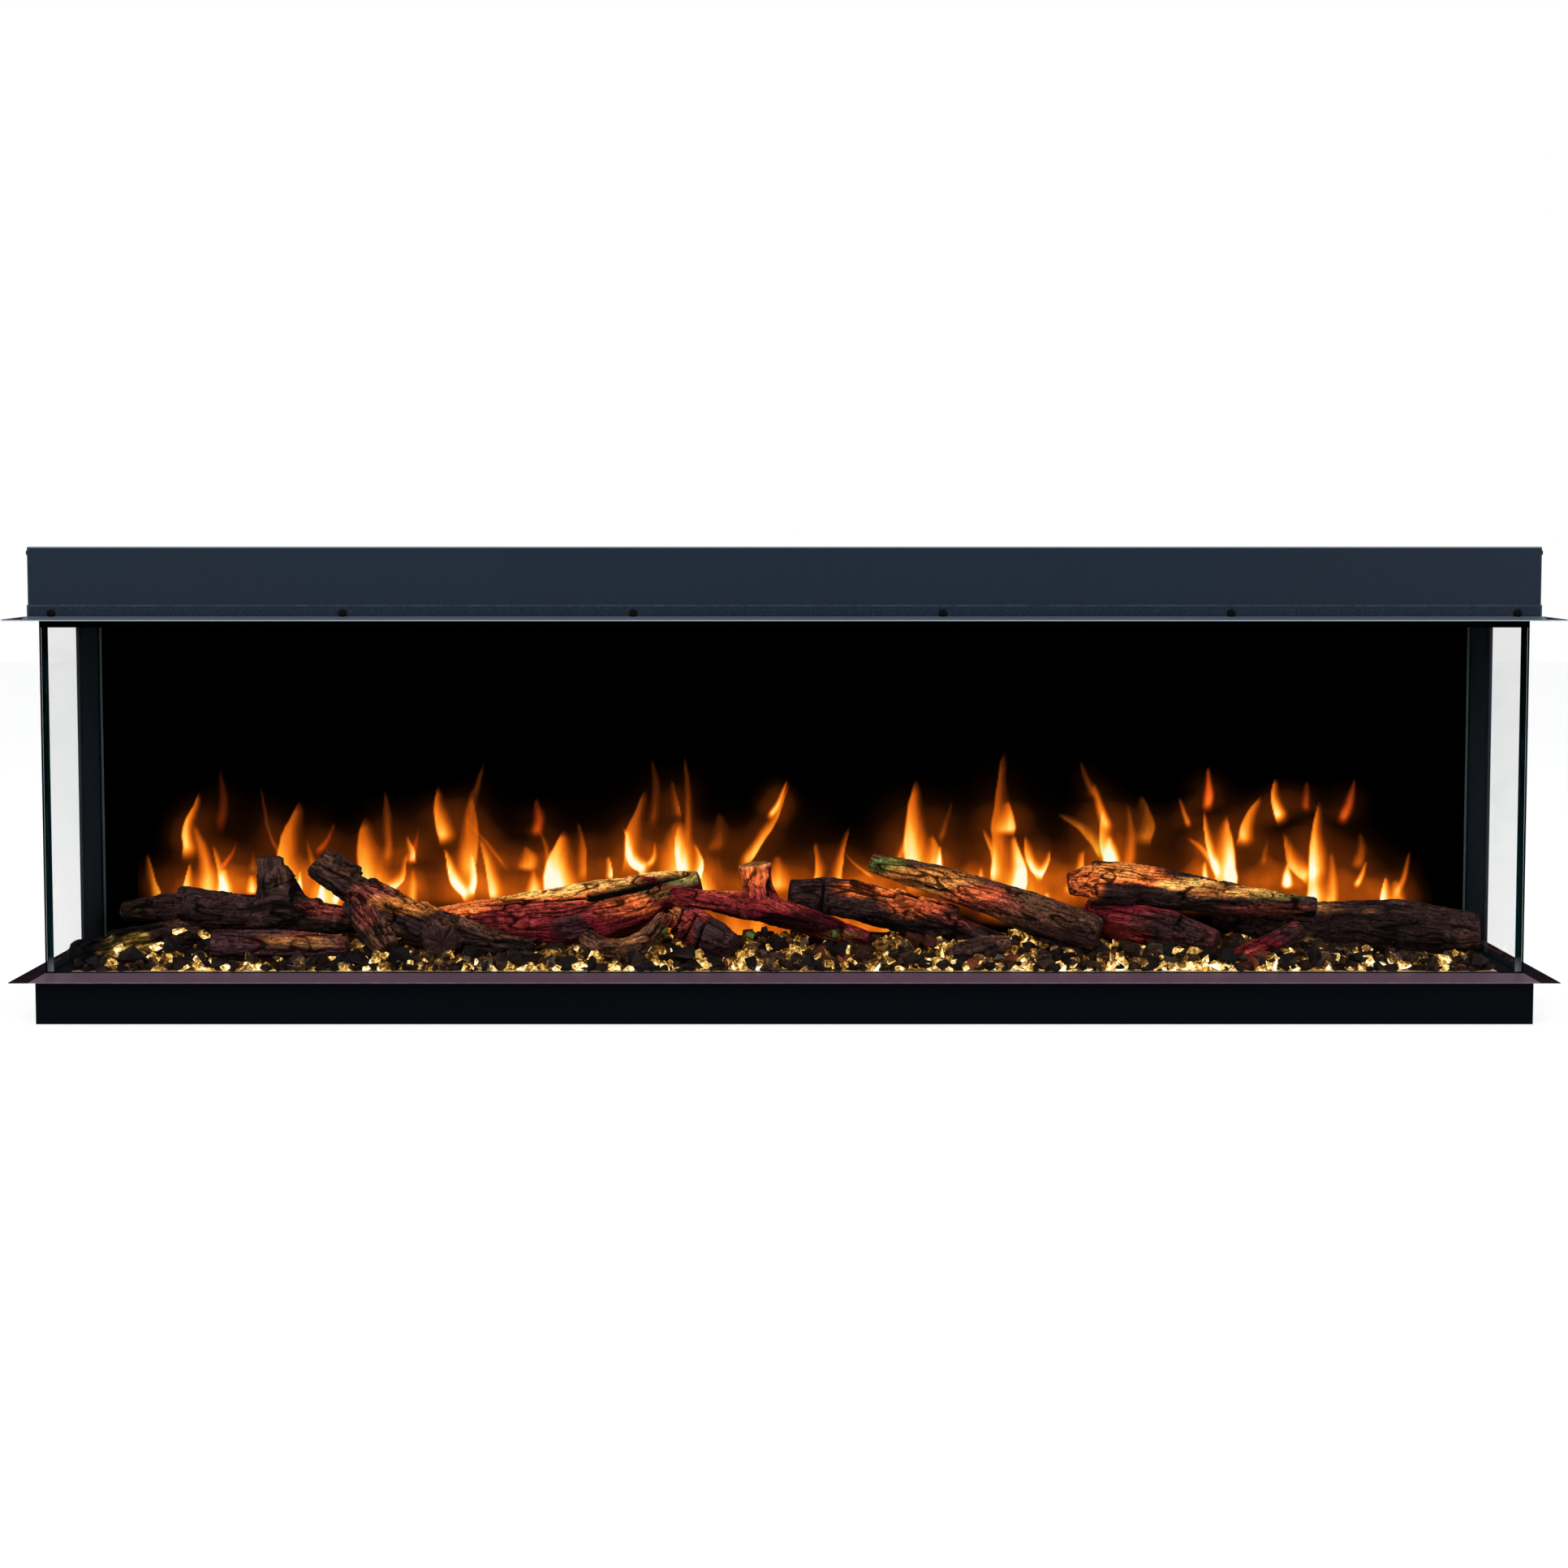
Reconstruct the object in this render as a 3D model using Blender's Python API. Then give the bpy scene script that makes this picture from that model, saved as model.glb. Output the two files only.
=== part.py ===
"""Three-sided electric fireplace: a long built-in firebox with glass at the front and on both ends.

A shallow base pan carries the trim flanges, the three panes, the ember tray and the logs. A flat head
box above holds the blower, heater and electronics. Behind the flame screen a turning spindle throws
light through a flame-cut reflector.

Metres, +Z up, +X to the viewer's right, +Y to the rear. The origin is at the bottom centre of the
whole part. A depth is measured back from the body's front face, and deep() turns it into a Y.
"""

import math
import random

import bmesh
import bpy
import numpy as np
from mathutils import Matrix, Vector

for stale in list(bpy.data.objects):
    bpy.data.objects.remove(stale, do_unlink=True)

# Body
BODY_WIDTH = 1.830
BODY_DEPTH = 0.365
BODY_HEIGHT = 0.583
SHEET = 0.0012
GAP = 0.0003
OVERRUN = 0.004
MITRE_SHARE = 0.3
SLIVER_SHARE = 0.1
ROUND_ANGLE = math.radians(40)
BLADE_ANGLE = math.radians(30)
BARK_ANGLE = math.radians(60)
STEEP_ANGLE = math.radians(37)

# Heights of the opening
RIM_HEIGHT = 0.0562
HEAD_BOX_HEIGHT = 0.0893
LIP_DROP = 0.0097

# Trim flanges
FLANGE_REACH = 0.0245
FLANGE_LEG = 0.0187
LEDGE_WIDTH = 0.0205
REAR_LAND = 0.003

# Panes and flame screen
GLASS_THICKNESS = 0.008
GLASS_SETBACK = 0.037
GLASS_INSET = 0.0005
SCREEN_SETBACK = 0.265
SCREEN_THICKNESS = 0.004
SCREEN_INSET = 0.0035

# Side walls behind the end panes
WALL_SETBACK = 0.181
WALL_FOLD = 0.0036
LINER_END = 0.253

# Base pan returns and ember tray
TRAY_SEAT = 0.003
TRAY_WALL = 0.0015
TRAY_DEPTH = 0.020
REAR_RETURN = 0.024
RAIL_SHELF = 0.0212
RAIL_FOOT = 0.016
RAIL_SIDE_CLEARANCE = 0.001

# Head box
COVER_BEND = 0.0025
BEND_STEPS = 3
LIP_SETBACK = 0.0354
UPTURN = 0.0183

# Front screws
SCREW_HEAD_RADIUS = 0.0052
SCREW_HEAD_HEIGHT = 0.0026
SCREW_SHANK_RADIUS = 0.0019
SCREW_LENGTH = 0.010
SCREW_HOLE_RADIUS = 0.0024
SCREW_SOCKET_RADIUS = 0.0021
SCREW_SOCKET_DEPTH = 0.0015
SOCKET_FLOOR_SHARE = 0.8
SCREW_CROWN_SHARES = ((0.72, 0.85), (0.3, 1), (0, 1))
SCREW_DROP = 0.0098
SCREW_END_INSET = 0.0282
SCREW_SHARES = (-1.0, -0.6023, -0.2062, 0.2162, 0.6092, 1.0)

# Flame works in the rear bay
SPINDLE_SETBACK = 0.325
SPINDLE_HEIGHT = 0.092
SPINDLE_ROD = 0.003
SPINDLE_PETAL = 0.018
SPINDLE_ROOT = 0.0022
SPINDLE_END_CLEARANCE = 0.005
PETAL_LENGTH = 0.062
PETAL_TAPER = 0.003
PETAL_COUNT = 20
BEARING_THICKNESS = 0.012
BEARING_SIDE = 0.030
BEARING_CLEARANCE = 0.0004
MOTOR_RADIUS = 0.025
MOTOR_LENGTH = 0.022
BOSS_SHARE = 0.4
NOSE_SHARE = 0.15
REFLECTOR_SETBACK = 0.283
REFLECTOR_HEIGHT = 0.300
REFLECTOR_FOOT = 0.018
FLAME_COUNT = 22
FLAME_WIDTH = 0.024
FLAME_HEIGHT = 0.120
FLAME_SILL = 0.085
FLAME_TALL_SHARES = (0.6, 1.2)
FLAME_WIDE_SHARES = (0.7, 1.1)
FLAME_LEAN_SHARES = (-0.4, 0.4)
LEAF_SHARES = (
    (0.0, 0.0),
    (0.42, 0.14),
    (0.5, 0.34),
    (0.30, 0.64),
    (0.05, 1.0),
    (-0.18, 0.66),
    (-0.46, 0.38),
    (-0.4, 0.14),
)

# Light boards
BOARD_THICKNESS = 0.0016
BOARD_WIDTH = 0.013
LED_HEIGHT = 0.0022
LED_WIDTH = 0.007
LED_COUNT = 18
EMBER_BOARD_SETBACK = 0.150
EMBER_BOARD_INSET = 0.055
FLAME_BOARD_INSET = 0.075
DOWNLIGHT_SETBACK = 0.056
DOWNLIGHT_INSET = 0.115

# Blower and heater in the head box
BLOWER_SETBACK = 0.072
BLOWER_LIFT = 0.045
BLOWER_RADIUS = 0.022
BLOWER_INNER = 0.016
BLOWER_LENGTH = 0.270
BLOWER_BLADES = 16
BLOWER_RING = 0.003
BLOWER_SHAFT = 0.003
BLOWER_SHAFT_REACH = 0.011
DUCT_PLATE = 0.002
DUCT_FRONT = 0.0065
DUCT_REAR = 0.0325
DUCT_SCROLL = 0.028
DUCT_BACK = 0.108
DUCT_HEIGHT = 0.082
DUCT_SIDE_CLEARANCE = 0.005
THROAT_SHARE = 0.35
TONGUE_SHARE = 0.4
SCROLL_STEPS = 8
SCROLL_START = math.radians(220)
SCROLL_TURN = math.radians(176)
SCROLL_GROWTH_SHARE = 0.08
BLOWER_MOTOR_RADIUS = 0.028
BLOWER_MOTOR_LENGTH = 0.045
BLOWER_MOTOR_FOOT = 0.030
MOTOR_FOOT_SHARES = (0.3, 0.8)
HEATER_LIFT = 0.006
HEATER_BAR = 0.004
HEATER_FIN_HEIGHT = 0.010
HEATER_FINS = 24
HEATER_CLEARANCE = 0.0012
GRILLE_WIDTH = 0.290
GRILLE_SLOT = 0.003
GRILLE_SLOT_LENGTH = 0.040
GRILLE_ROWS = 3
GRILLE_COLUMNS = 6

# Control board
CONTROL_WIDTH = 0.200
CONTROL_DEPTH = 0.100
CONTROL_SETBACK = 0.140
CONTROL_INSET = 0.395
CONTROL_STANDOFF = 0.006
CONTROL_STANDOFF_SIDE = 0.008
CONTROL_PART_HEIGHT = 0.022
CONTROL_PARTS_SHARES = (
    (0.10, 0.15, 0.22, 0.40, 1.0),
    (0.40, 0.20, 0.18, 0.30, 0.7),
    (0.68, 0.15, 0.20, 0.55, 0.9),
    (0.42, 0.65, 0.14, 0.20, 0.4),
)

# Rear fittings: louvres, rocker switch and cord gland
LOUVRE_COUNT = 14
LOUVRE_WIDTH = 0.003
LOUVRE_HEIGHT = 0.034
LOUVRE_PITCH = 0.016
FITTING_LIFT = 0.0463
SWITCH_INSET = 0.135
SWITCH_HALF_WIDTH = 0.0135
SWITCH_HALF_HEIGHT = 0.0075
SWITCH_BEZEL = 0.0025
SWITCH_BEZEL_THICKNESS = 0.002
SWITCH_BODY_DEPTH = 0.018
ROCKER_HALF_WIDTH = 0.011
ROCKER_HALF_HEIGHT = 0.0049
ROCKER_WELL = 0.009
ROCKER_CROWN = 0.0030
ROCKER_DIP = 0.0012
ROCKER_KEEL = 0.0045
ROCKER_SHOULDER = 0.0010
ROCKER_PIVOT_DEPTH = 0.0015
ROCKER_SIDE_CLEARANCE = 0.001
ROCKER_PIN = 0.001
ROCKER_PIN_REACH = 0.0019
ROCKER_TILT = math.radians(8.0)
GLAND_INSET = 0.055
GLAND_BORE = 0.0042
GLAND_BODY = 0.006
GLAND_NUT = 0.009
GLAND_NUT_THICKNESS = 0.005
GLAND_SHOULDER_SHARE = 0.85
GLAND_DOME = 0.0065
GLAND_PROUD = 0.012
GLAND_INSIDE = 0.014
GLAND_HOLE_CLEARANCE = 0.0003

# Ember bed and logs
BED_RISE = 0.010
BED_LUMP = 0.0030
BED_CROWN_SHARE = 0.35
BED_END_SHARE = 0.5
BED_EDGE_SHARE = 0.25
BED_SLOPE_SHARES = (4.0, 2.2)
BED_WAVE_SHARES = ((37, 3, 0), (61, -5, 1), (97, 6, 2))
BED_COLUMNS = 64
BED_ROWS = 8
LOG_RISE = 0.100
LOG_GIRTH = 0.040
LOG_SIDES = 9
LOG_OVAL_SHARE = 0.10
LOG_LOBE_SHARE = 0.07
LOG_KNOT_SHARE = 0.07
LOG_TWIST_SHARE = 0.5
STEPS_PER_SPAN = 2

# Worked-out places
HALF = BODY_WIDTH / 2
HEAD_HEIGHT = BODY_HEIGHT - HEAD_BOX_HEIGHT
FACE_Y = -(BODY_DEPTH + GLAND_PROUD - FLANGE_REACH) / 2
PLATE_FOOT = RIM_HEIGHT - SHEET
PAN_TOP = PLATE_FOOT - GAP
PANE_FOOT = RIM_HEIGHT + GAP
PANE_HEAD = HEAD_HEIGHT - GAP
DECK = HEAD_HEIGHT + SHEET
DECK_SEAT = DECK + GAP
FLANGE_TOP = HEAD_HEIGHT + FLANGE_LEG
SCREW_HEIGHT = FLANGE_TOP - SCREW_DROP
PANE_OUT = HALF - GLASS_INSET
PANE_IN = PANE_OUT - GLASS_THICKNESS
PANE_BACK = GLASS_SETBACK + GLASS_THICKNESS
LEDGE_EDGE = PANE_IN - LEDGE_WIDTH
LEDGE_FRONT = PANE_BACK + TRAY_SEAT - GAP
RETURN_EDGE = LEDGE_EDGE - TRAY_SEAT
RETURN_FRONT = LEDGE_FRONT + TRAY_SEAT
RAIL_BACK = SCREEN_SETBACK + SCREEN_THICKNESS + 2 * SHEET
RAIL_FRONT = RAIL_BACK - RAIL_SHELF
RAIL_HALF = RETURN_EDGE - RAIL_SIDE_CLEARANCE
TRAY_HALF = RETURN_EDGE - GAP
TRAY_FRONT = RETURN_FRONT + GAP
TRAY_BACK = RAIL_FRONT - GAP
TRAY_FLOOR = PLATE_FOOT - TRAY_DEPTH
BED_HALF = TRAY_HALF - TRAY_WALL - GAP
BED_FRONT = TRAY_FRONT + TRAY_WALL + GAP
BED_BACK = TRAY_BACK - TRAY_WALL - GAP
FLOOR_SEAT = SHEET + GAP
BACK_FACE = BODY_DEPTH - SHEET
FITTING_HEIGHT = HEAD_HEIGHT + FITTING_LIFT
SWITCH_OFFSET = HALF - SWITCH_INSET
GLAND_OFFSET = HALF - GLAND_INSET
BLOWER_HEIGHT = DECK + BLOWER_LIFT
DUCT_HALF = BLOWER_LENGTH / 2 + DUCT_SIDE_CLEARANCE

# Colours: base colour, metallic, roughness, alpha
FINISHES = {
    "powder_coat_blue_grey": ((0.015, 0.024, 0.036), 0.35, 0.42, 1.0),
    "powder_coat_black": ((0.004, 0.005, 0.007), 0.2, 0.55, 1.0),
    "trim_satin": ((0.045, 0.030, 0.044), 0.4, 0.35, 1.0),
    "clear_glass": ((0.70, 0.80, 0.78), 0.0, 0.03, 0.25),
    "smoked_screen": ((0.004, 0.004, 0.005), 0.0, 0.10, 1.0),
    "frosted_tray": ((0.55, 0.45, 0.30), 0.0, 0.60, 1.0),
    "ember_glass": ((0.60, 0.32, 0.08), 0.0, 0.25, 1.0),
    "charred_log": ((0.030, 0.018, 0.020), 0.0, 0.85, 1.0),
    "glowing_log": ((0.26, 0.050, 0.040), 0.0, 0.80, 1.0),
    "mossy_log": ((0.12, 0.095, 0.040), 0.0, 0.85, 1.0),
    "galvanised": ((0.45, 0.46, 0.47), 0.9, 0.40, 1.0),
    "mirror_foil": ((0.80, 0.80, 0.82), 1.0, 0.12, 1.0),
    "motor_shell": ((0.30, 0.30, 0.32), 0.8, 0.35, 1.0),
    "circuit_green": ((0.02, 0.12, 0.05), 0.0, 0.50, 1.0),
    "white_board": ((0.75, 0.75, 0.72), 0.0, 0.45, 1.0),
    "black_plastic": ((0.012, 0.012, 0.013), 0.0, 0.45, 1.0),
    "screw_black": ((0.010, 0.010, 0.012), 0.7, 0.35, 1.0),
}


def deep(depth):
    """Y of a depth behind the body's front face."""
    return FACE_Y + depth


def finish(name):
    """The material of a finish, made once."""
    found = bpy.data.materials.get(name)
    if found:
        return found
    colour, metallic, roughness, alpha = FINISHES[name]
    made = bpy.data.materials.new(name)
    made.use_nodes = True
    shader = made.node_tree.nodes["Principled BSDF"]
    shader.inputs["Base Color"].default_value = (*colour, 1.0)
    shader.inputs["Metallic"].default_value = metallic
    shader.inputs["Roughness"].default_value = roughness
    shader.inputs["Alpha"].default_value = alpha
    made.diffuse_color = (*colour, alpha)
    return made


def solid(name, points, faces, look=None, place=(0, 0, 0), smooth=None):
    """An object from points and faces, its faces turned outwards."""
    form = bmesh.new()
    corners = [form.verts.new(point) for point in points]
    for face in faces:
        form.faces.new([corners[index] for index in face])
    bmesh.ops.recalc_face_normals(form, faces=form.faces[:])
    mesh = bpy.data.meshes.new(name)
    form.to_mesh(mesh)
    form.free()
    made = bpy.data.objects.new(name, mesh)
    made.location = place
    bpy.context.scene.collection.objects.link(made)
    if look:
        mesh.materials.append(finish(look))
    if smooth:
        mesh.shade_smooth()
        mesh.set_sharp_from_angle(angle=smooth)
    return made


def prism(name, outline, axis, span, look=None, place=(0, 0, 0)):
    """An outline pulled along an axis: (y, z) pairs along X, (x, z) along Y, (x, y) along Z."""
    order = {
        "X": lambda u, v, w: (w, u, v),
        "Y": lambda u, v, w: (u, w, v),
        "Z": lambda u, v, w: (u, v, w),
    }
    count = len(outline)
    points = [order[axis](u, v, w) for w in span for u, v in outline]
    ends = [list(range(count)), list(range(count, 2 * count))]
    sides = [[k, (k + 1) % count, (k + 1) % count + count, k + count] for k in range(count)]
    return solid(name, points, ends + sides, look, place)


def block(name, x, y, z, look=None, place=(0, 0, 0)):
    """A box between low and high corners."""
    outline = [(x[0], y[0]), (x[1], y[0]), (x[1], y[1]), (x[0], y[1])]
    return prism(name, outline, "Z", z, look, place)


def turned(name, profile, sides, axis, place, look=None):
    """A round solid from (along, radius) points: an open profile ends on the axis, a closed one rings it."""
    closed = min(radius for _, radius in profile) > 0
    turn = {
        "X": lambda a, b, c: (a, b, c),
        "Y": lambda a, b, c: (b, a, c),
        "Z": lambda a, b, c: (b, c, a),
    }[axis]
    points = []
    rows = []
    for along, radius in profile:
        if radius == 0:
            rows.append([len(points)] * sides)
            points.append(turn(along, 0, 0))
            continue
        rows.append(list(range(len(points), len(points) + sides)))
        for k in range(sides):
            angle = math.tau * (k + 0.5) / sides
            points.append(turn(along, radius * math.cos(angle), radius * math.sin(angle)))
    faces = []
    pairs = list(zip(rows, rows[1:]))
    if closed:
        pairs.append((rows[-1], rows[0]))
    for low, high in pairs:
        for k in range(sides):
            near = (k + 1) % sides
            ring = [low[k], low[near], high[near], high[k]]
            faces.append(list(dict.fromkeys(ring)))
    return solid(name, points, faces, look, place, smooth=ROUND_ANGLE)


def guide(shape):
    """Marks a cutter or a joined shape, which isn't a piece of its own."""
    shape.hide_render = True
    shape.display_type = "WIRE"
    return shape


def combine(target, shape, operation):
    """Adds an exact Boolean of the target with one other shape."""
    step = target.modifiers.new(shape.name, "BOOLEAN")
    step.operation = operation
    step.solver = "EXACT"
    step.object = guide(shape)
    return target


def cut(target, shape):
    return combine(target, shape, "DIFFERENCE")


def fuse(target, shape):
    return combine(target, shape, "UNION")


def settled_mesh(shape):
    """Gives a shape the mesh its modifiers make, and drops them."""
    bpy.context.view_layer.update()
    seen = shape.evaluated_get(bpy.context.evaluated_depsgraph_get())
    mesh = bpy.data.meshes.new_from_object(seen)
    shape.modifiers.clear()
    shape.data = mesh
    return shape


def many(name, shapes):
    """Joins separate cutter shapes into one mesh."""
    form = bmesh.new()
    for shape in shapes:
        held = shape.data.copy()
        held.transform(shape.matrix_basis)
        form.from_mesh(held)
        bpy.data.meshes.remove(held)
        bpy.data.objects.remove(shape, do_unlink=True)
    mesh = bpy.data.meshes.new(name)
    form.to_mesh(mesh)
    form.free()
    made = bpy.data.objects.new(name, mesh)
    bpy.context.scene.collection.objects.link(made)
    return made


def ribbon(path, thickness):
    """The outline of a bent sheet that follows a path, with the path in its middle."""
    track = [Vector(point) for point in path]
    left, right = [], []
    for index, here in enumerate(track):
        before = track[max(index - 1, 0)]
        after = track[min(index + 1, len(track) - 1)]
        into = (here - before).normalized() if here != before else (after - here).normalized()
        out = (after - here).normalized() if here != after else into
        middle = (into + out).normalized()
        normal = Vector((-middle.y, middle.x)) * (thickness / 2) / max(middle.dot(out), MITRE_SHARE)
        left.append(tuple(here + normal))
        right.append(tuple(here - normal))
    return left + right[::-1]


def bent_sheet(name, profile, half, look):
    """A folded sheet that runs the width of the body, from a (depth, z) profile."""
    return prism(name, [(deep(depth), z) for depth, z in profile], "X", (-half, half), look)


def screw_places():
    return [share * (HALF - SCREW_END_INSET) for share in SCREW_SHARES]


def screw_holes(name, depth):
    """Clearance holes for the front screws through a sheet at a depth."""
    span = (-OVERRUN, SHEET + OVERRUN)
    profile = [(span[0], 0), (span[0], SCREW_HOLE_RADIUS), (span[1], SCREW_HOLE_RADIUS), (span[1], 0)]
    holes = [
        turned(f"{name}_{k}", profile, 8, "Y", (x, deep(depth), SCREW_HEIGHT))
        for k, x in enumerate(screw_places())
    ]
    return many(name, holes)


def base_pan():
    """Shallow pan under everything: floor, four walls and a top return that carries the plates."""
    pan = block("base_pan", (-HALF, HALF), (deep(0), deep(BODY_DEPTH)), (0, PAN_TOP), "powder_coat_black")
    inside = HALF - SHEET
    hollow = block(
        "pan_hollow", (-inside, inside), (deep(SHEET), deep(BODY_DEPTH - SHEET)), (SHEET, PAN_TOP - SHEET)
    )
    mouth = block(
        "pan_mouth",
        (-RETURN_EDGE, RETURN_EDGE),
        (deep(RETURN_FRONT), deep(BODY_DEPTH - REAR_RETURN)),
        (PAN_TOP / 2, PAN_TOP + OVERRUN),
    )
    return cut(cut(pan, hollow), mouth)


def lower_flanges():
    """Flat plates on the pan's returns: the front one between the sides, the end ones under the panes."""
    tip = HALF + FLANGE_REACH
    z = (PLATE_FOOT, RIM_HEIGHT)
    seam, edge = HALF - GAP, LEDGE_EDGE - GAP
    step = GLASS_SETBACK - GAP
    front = [(-seam, -FLANGE_REACH), (seam, -FLANGE_REACH), (seam, step), (edge, step)]
    front += [(edge, LEDGE_FRONT), (-edge, LEDGE_FRONT), (-edge, step), (-seam, step)]
    prism("lower_front_flange", [(x, deep(d)) for x, d in front], "Z", z, "trim_satin")
    land = SCREEN_SETBACK - REAR_LAND
    slim = HALF - SHEET - GAP
    end = [(HALF, -FLANGE_REACH), (tip, -FLANGE_REACH), (tip, BODY_DEPTH), (slim, BODY_DEPTH)]
    end += [(slim, land), (LEDGE_EDGE, land), (LEDGE_EDGE, GLASS_SETBACK), (HALF, GLASS_SETBACK)]
    for side, hand in (("left", -1), ("right", 1)):
        prism(f"lower_{side}_flange", [(hand * x, deep(d)) for x, d in end], "Z", z, "trim_satin")


def upper_flanges():
    """L-profiles round the foot of the head box, screwed on in front."""
    tip = HALF + FLANGE_REACH
    face = -GAP
    front = [(-FLANGE_REACH, HEAD_HEIGHT), (face, HEAD_HEIGHT), (face, FLANGE_TOP)]
    front += [(face - SHEET, FLANGE_TOP), (face - SHEET, DECK), (-FLANGE_REACH, DECK)]
    strip = bent_sheet("upper_front_flange", front, HALF, "powder_coat_blue_grey")
    cut(strip, screw_holes("flange_screw_holes", face - SHEET))
    root = HALF + GAP
    for side, hand in (("left", -1), ("right", 1)):
        end = [(root, HEAD_HEIGHT), (tip, HEAD_HEIGHT), (tip, DECK)]
        end += [(root + SHEET, DECK), (root + SHEET, FLANGE_TOP), (root, FLANGE_TOP)]
        name = f"upper_{side}_flange"
        ends = (deep(-FLANGE_REACH), deep(BODY_DEPTH))
        piece = prism(name, [(hand * x, z) for x, z in end], "Y", ends, "powder_coat_blue_grey")
        reach = sorted((hand * (root - OVERRUN), hand * (root + SHEET + OVERRUN)))
        y = (deep(-FLANGE_REACH - OVERRUN), deep(0))
        cut(piece, block(f"{side}_leg_notch", reach, y, (DECK, FLANGE_TOP + OVERRUN)))


def head_box():
    """Folded cover, end caps and the ceiling pan with its front lip."""
    inner = HALF - SHEET - GAP
    turns = [math.pi / 2 * k / BEND_STEPS for k in range(BEND_STEPS + 1)]
    bend = [
        (COVER_BEND * (1 - math.cos(turn)), BODY_HEIGHT - COVER_BEND * (1 - math.sin(turn)))
        for turn in turns
    ]
    reach = BACK_FACE - GAP
    small = COVER_BEND - SHEET
    inside = [
        (COVER_BEND - small * math.cos(turn), BODY_HEIGHT - COVER_BEND + small * math.sin(turn))
        for turn in turns[::-1]
    ]
    profile = [(0, HEAD_HEIGHT)] + bend + [(reach, BODY_HEIGHT), (reach, BODY_HEIGHT - SHEET)]
    profile += inside + [(SHEET, HEAD_HEIGHT)]
    cover = bent_sheet("top_cover", profile, inner, "powder_coat_blue_grey")
    cut(cover, screw_holes("cover_screw_holes", 0))
    cap = [(0, HEAD_HEIGHT)] + bend + [(reach, BODY_HEIGHT), (reach, HEAD_HEIGHT)]
    cap = [(deep(depth), z) for depth, z in cap]
    prism("left_end_cap", cap, "X", (-HALF, -HALF + SHEET), "powder_coat_blue_grey")
    prism("right_end_cap", cap, "X", (HALF - SHEET, HALF), "powder_coat_blue_grey")
    ceiling_pan(inner, reach)


def ceiling_pan(inner, reach):
    """Ceiling of the firebox: turned up front and back, with a lip that hides the pane's top edge."""
    front = SHEET + GAP
    lip_back = LIP_SETBACK + SHEET
    lip_foot = HEAD_HEIGHT - LIP_DROP
    upturn = DECK + UPTURN - SHEET
    profile = [(front, HEAD_HEIGHT), (LIP_SETBACK, HEAD_HEIGHT), (LIP_SETBACK, lip_foot)]
    profile += [(lip_back, lip_foot), (lip_back, HEAD_HEIGHT), (reach, HEAD_HEIGHT), (reach, upturn)]
    profile += [(reach - SHEET, upturn), (reach - SHEET, DECK), (front + SHEET, DECK)]
    profile += [(front + SHEET, upturn), (front, upturn)]
    pan = bent_sheet("ceiling_pan", profile, inner, "powder_coat_black")
    cut(pan, screw_holes("ceiling_screw_holes", front))
    slot = (DUCT_FRONT + GAP, DUCT_REAR - GAP)
    half = GRILLE_WIDTH / 2
    y = (deep(slot[0]), deep(slot[1]))
    cut(pan, block("outlet_opening", (-half, half), y, (HEAD_HEIGHT - OVERRUN, DECK + OVERRUN)))
    outlet_grille(slot)


def outlet_grille(slot):
    """Slotted strip that fills the warm-air outlet in front of the pane."""
    half = GRILLE_WIDTH / 2 - GAP
    front, back = slot[0] + GAP, slot[1] - GAP
    y = (deep(front), deep(back))
    grille = block("outlet_grille", (-half, half), y, (HEAD_HEIGHT, DECK), "black_plastic")
    bars = []
    for row in range(GRILLE_ROWS):
        middle = front + (back - front) * (row + 1) / (GRILLE_ROWS + 1)
        for column in range(GRILLE_COLUMNS):
            x = half * (2 * (column + 0.5) / GRILLE_COLUMNS - 1)
            bars.append(
                block(
                    f"slot_{row}_{column}",
                    (x - GRILLE_SLOT_LENGTH / 2, x + GRILLE_SLOT_LENGTH / 2),
                    (deep(middle) - GRILLE_SLOT / 2, deep(middle) + GRILLE_SLOT / 2),
                    (HEAD_HEIGHT - OVERRUN, DECK + OVERRUN),
                )
            )
    cut(grille, many("grille_slots", bars))


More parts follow.
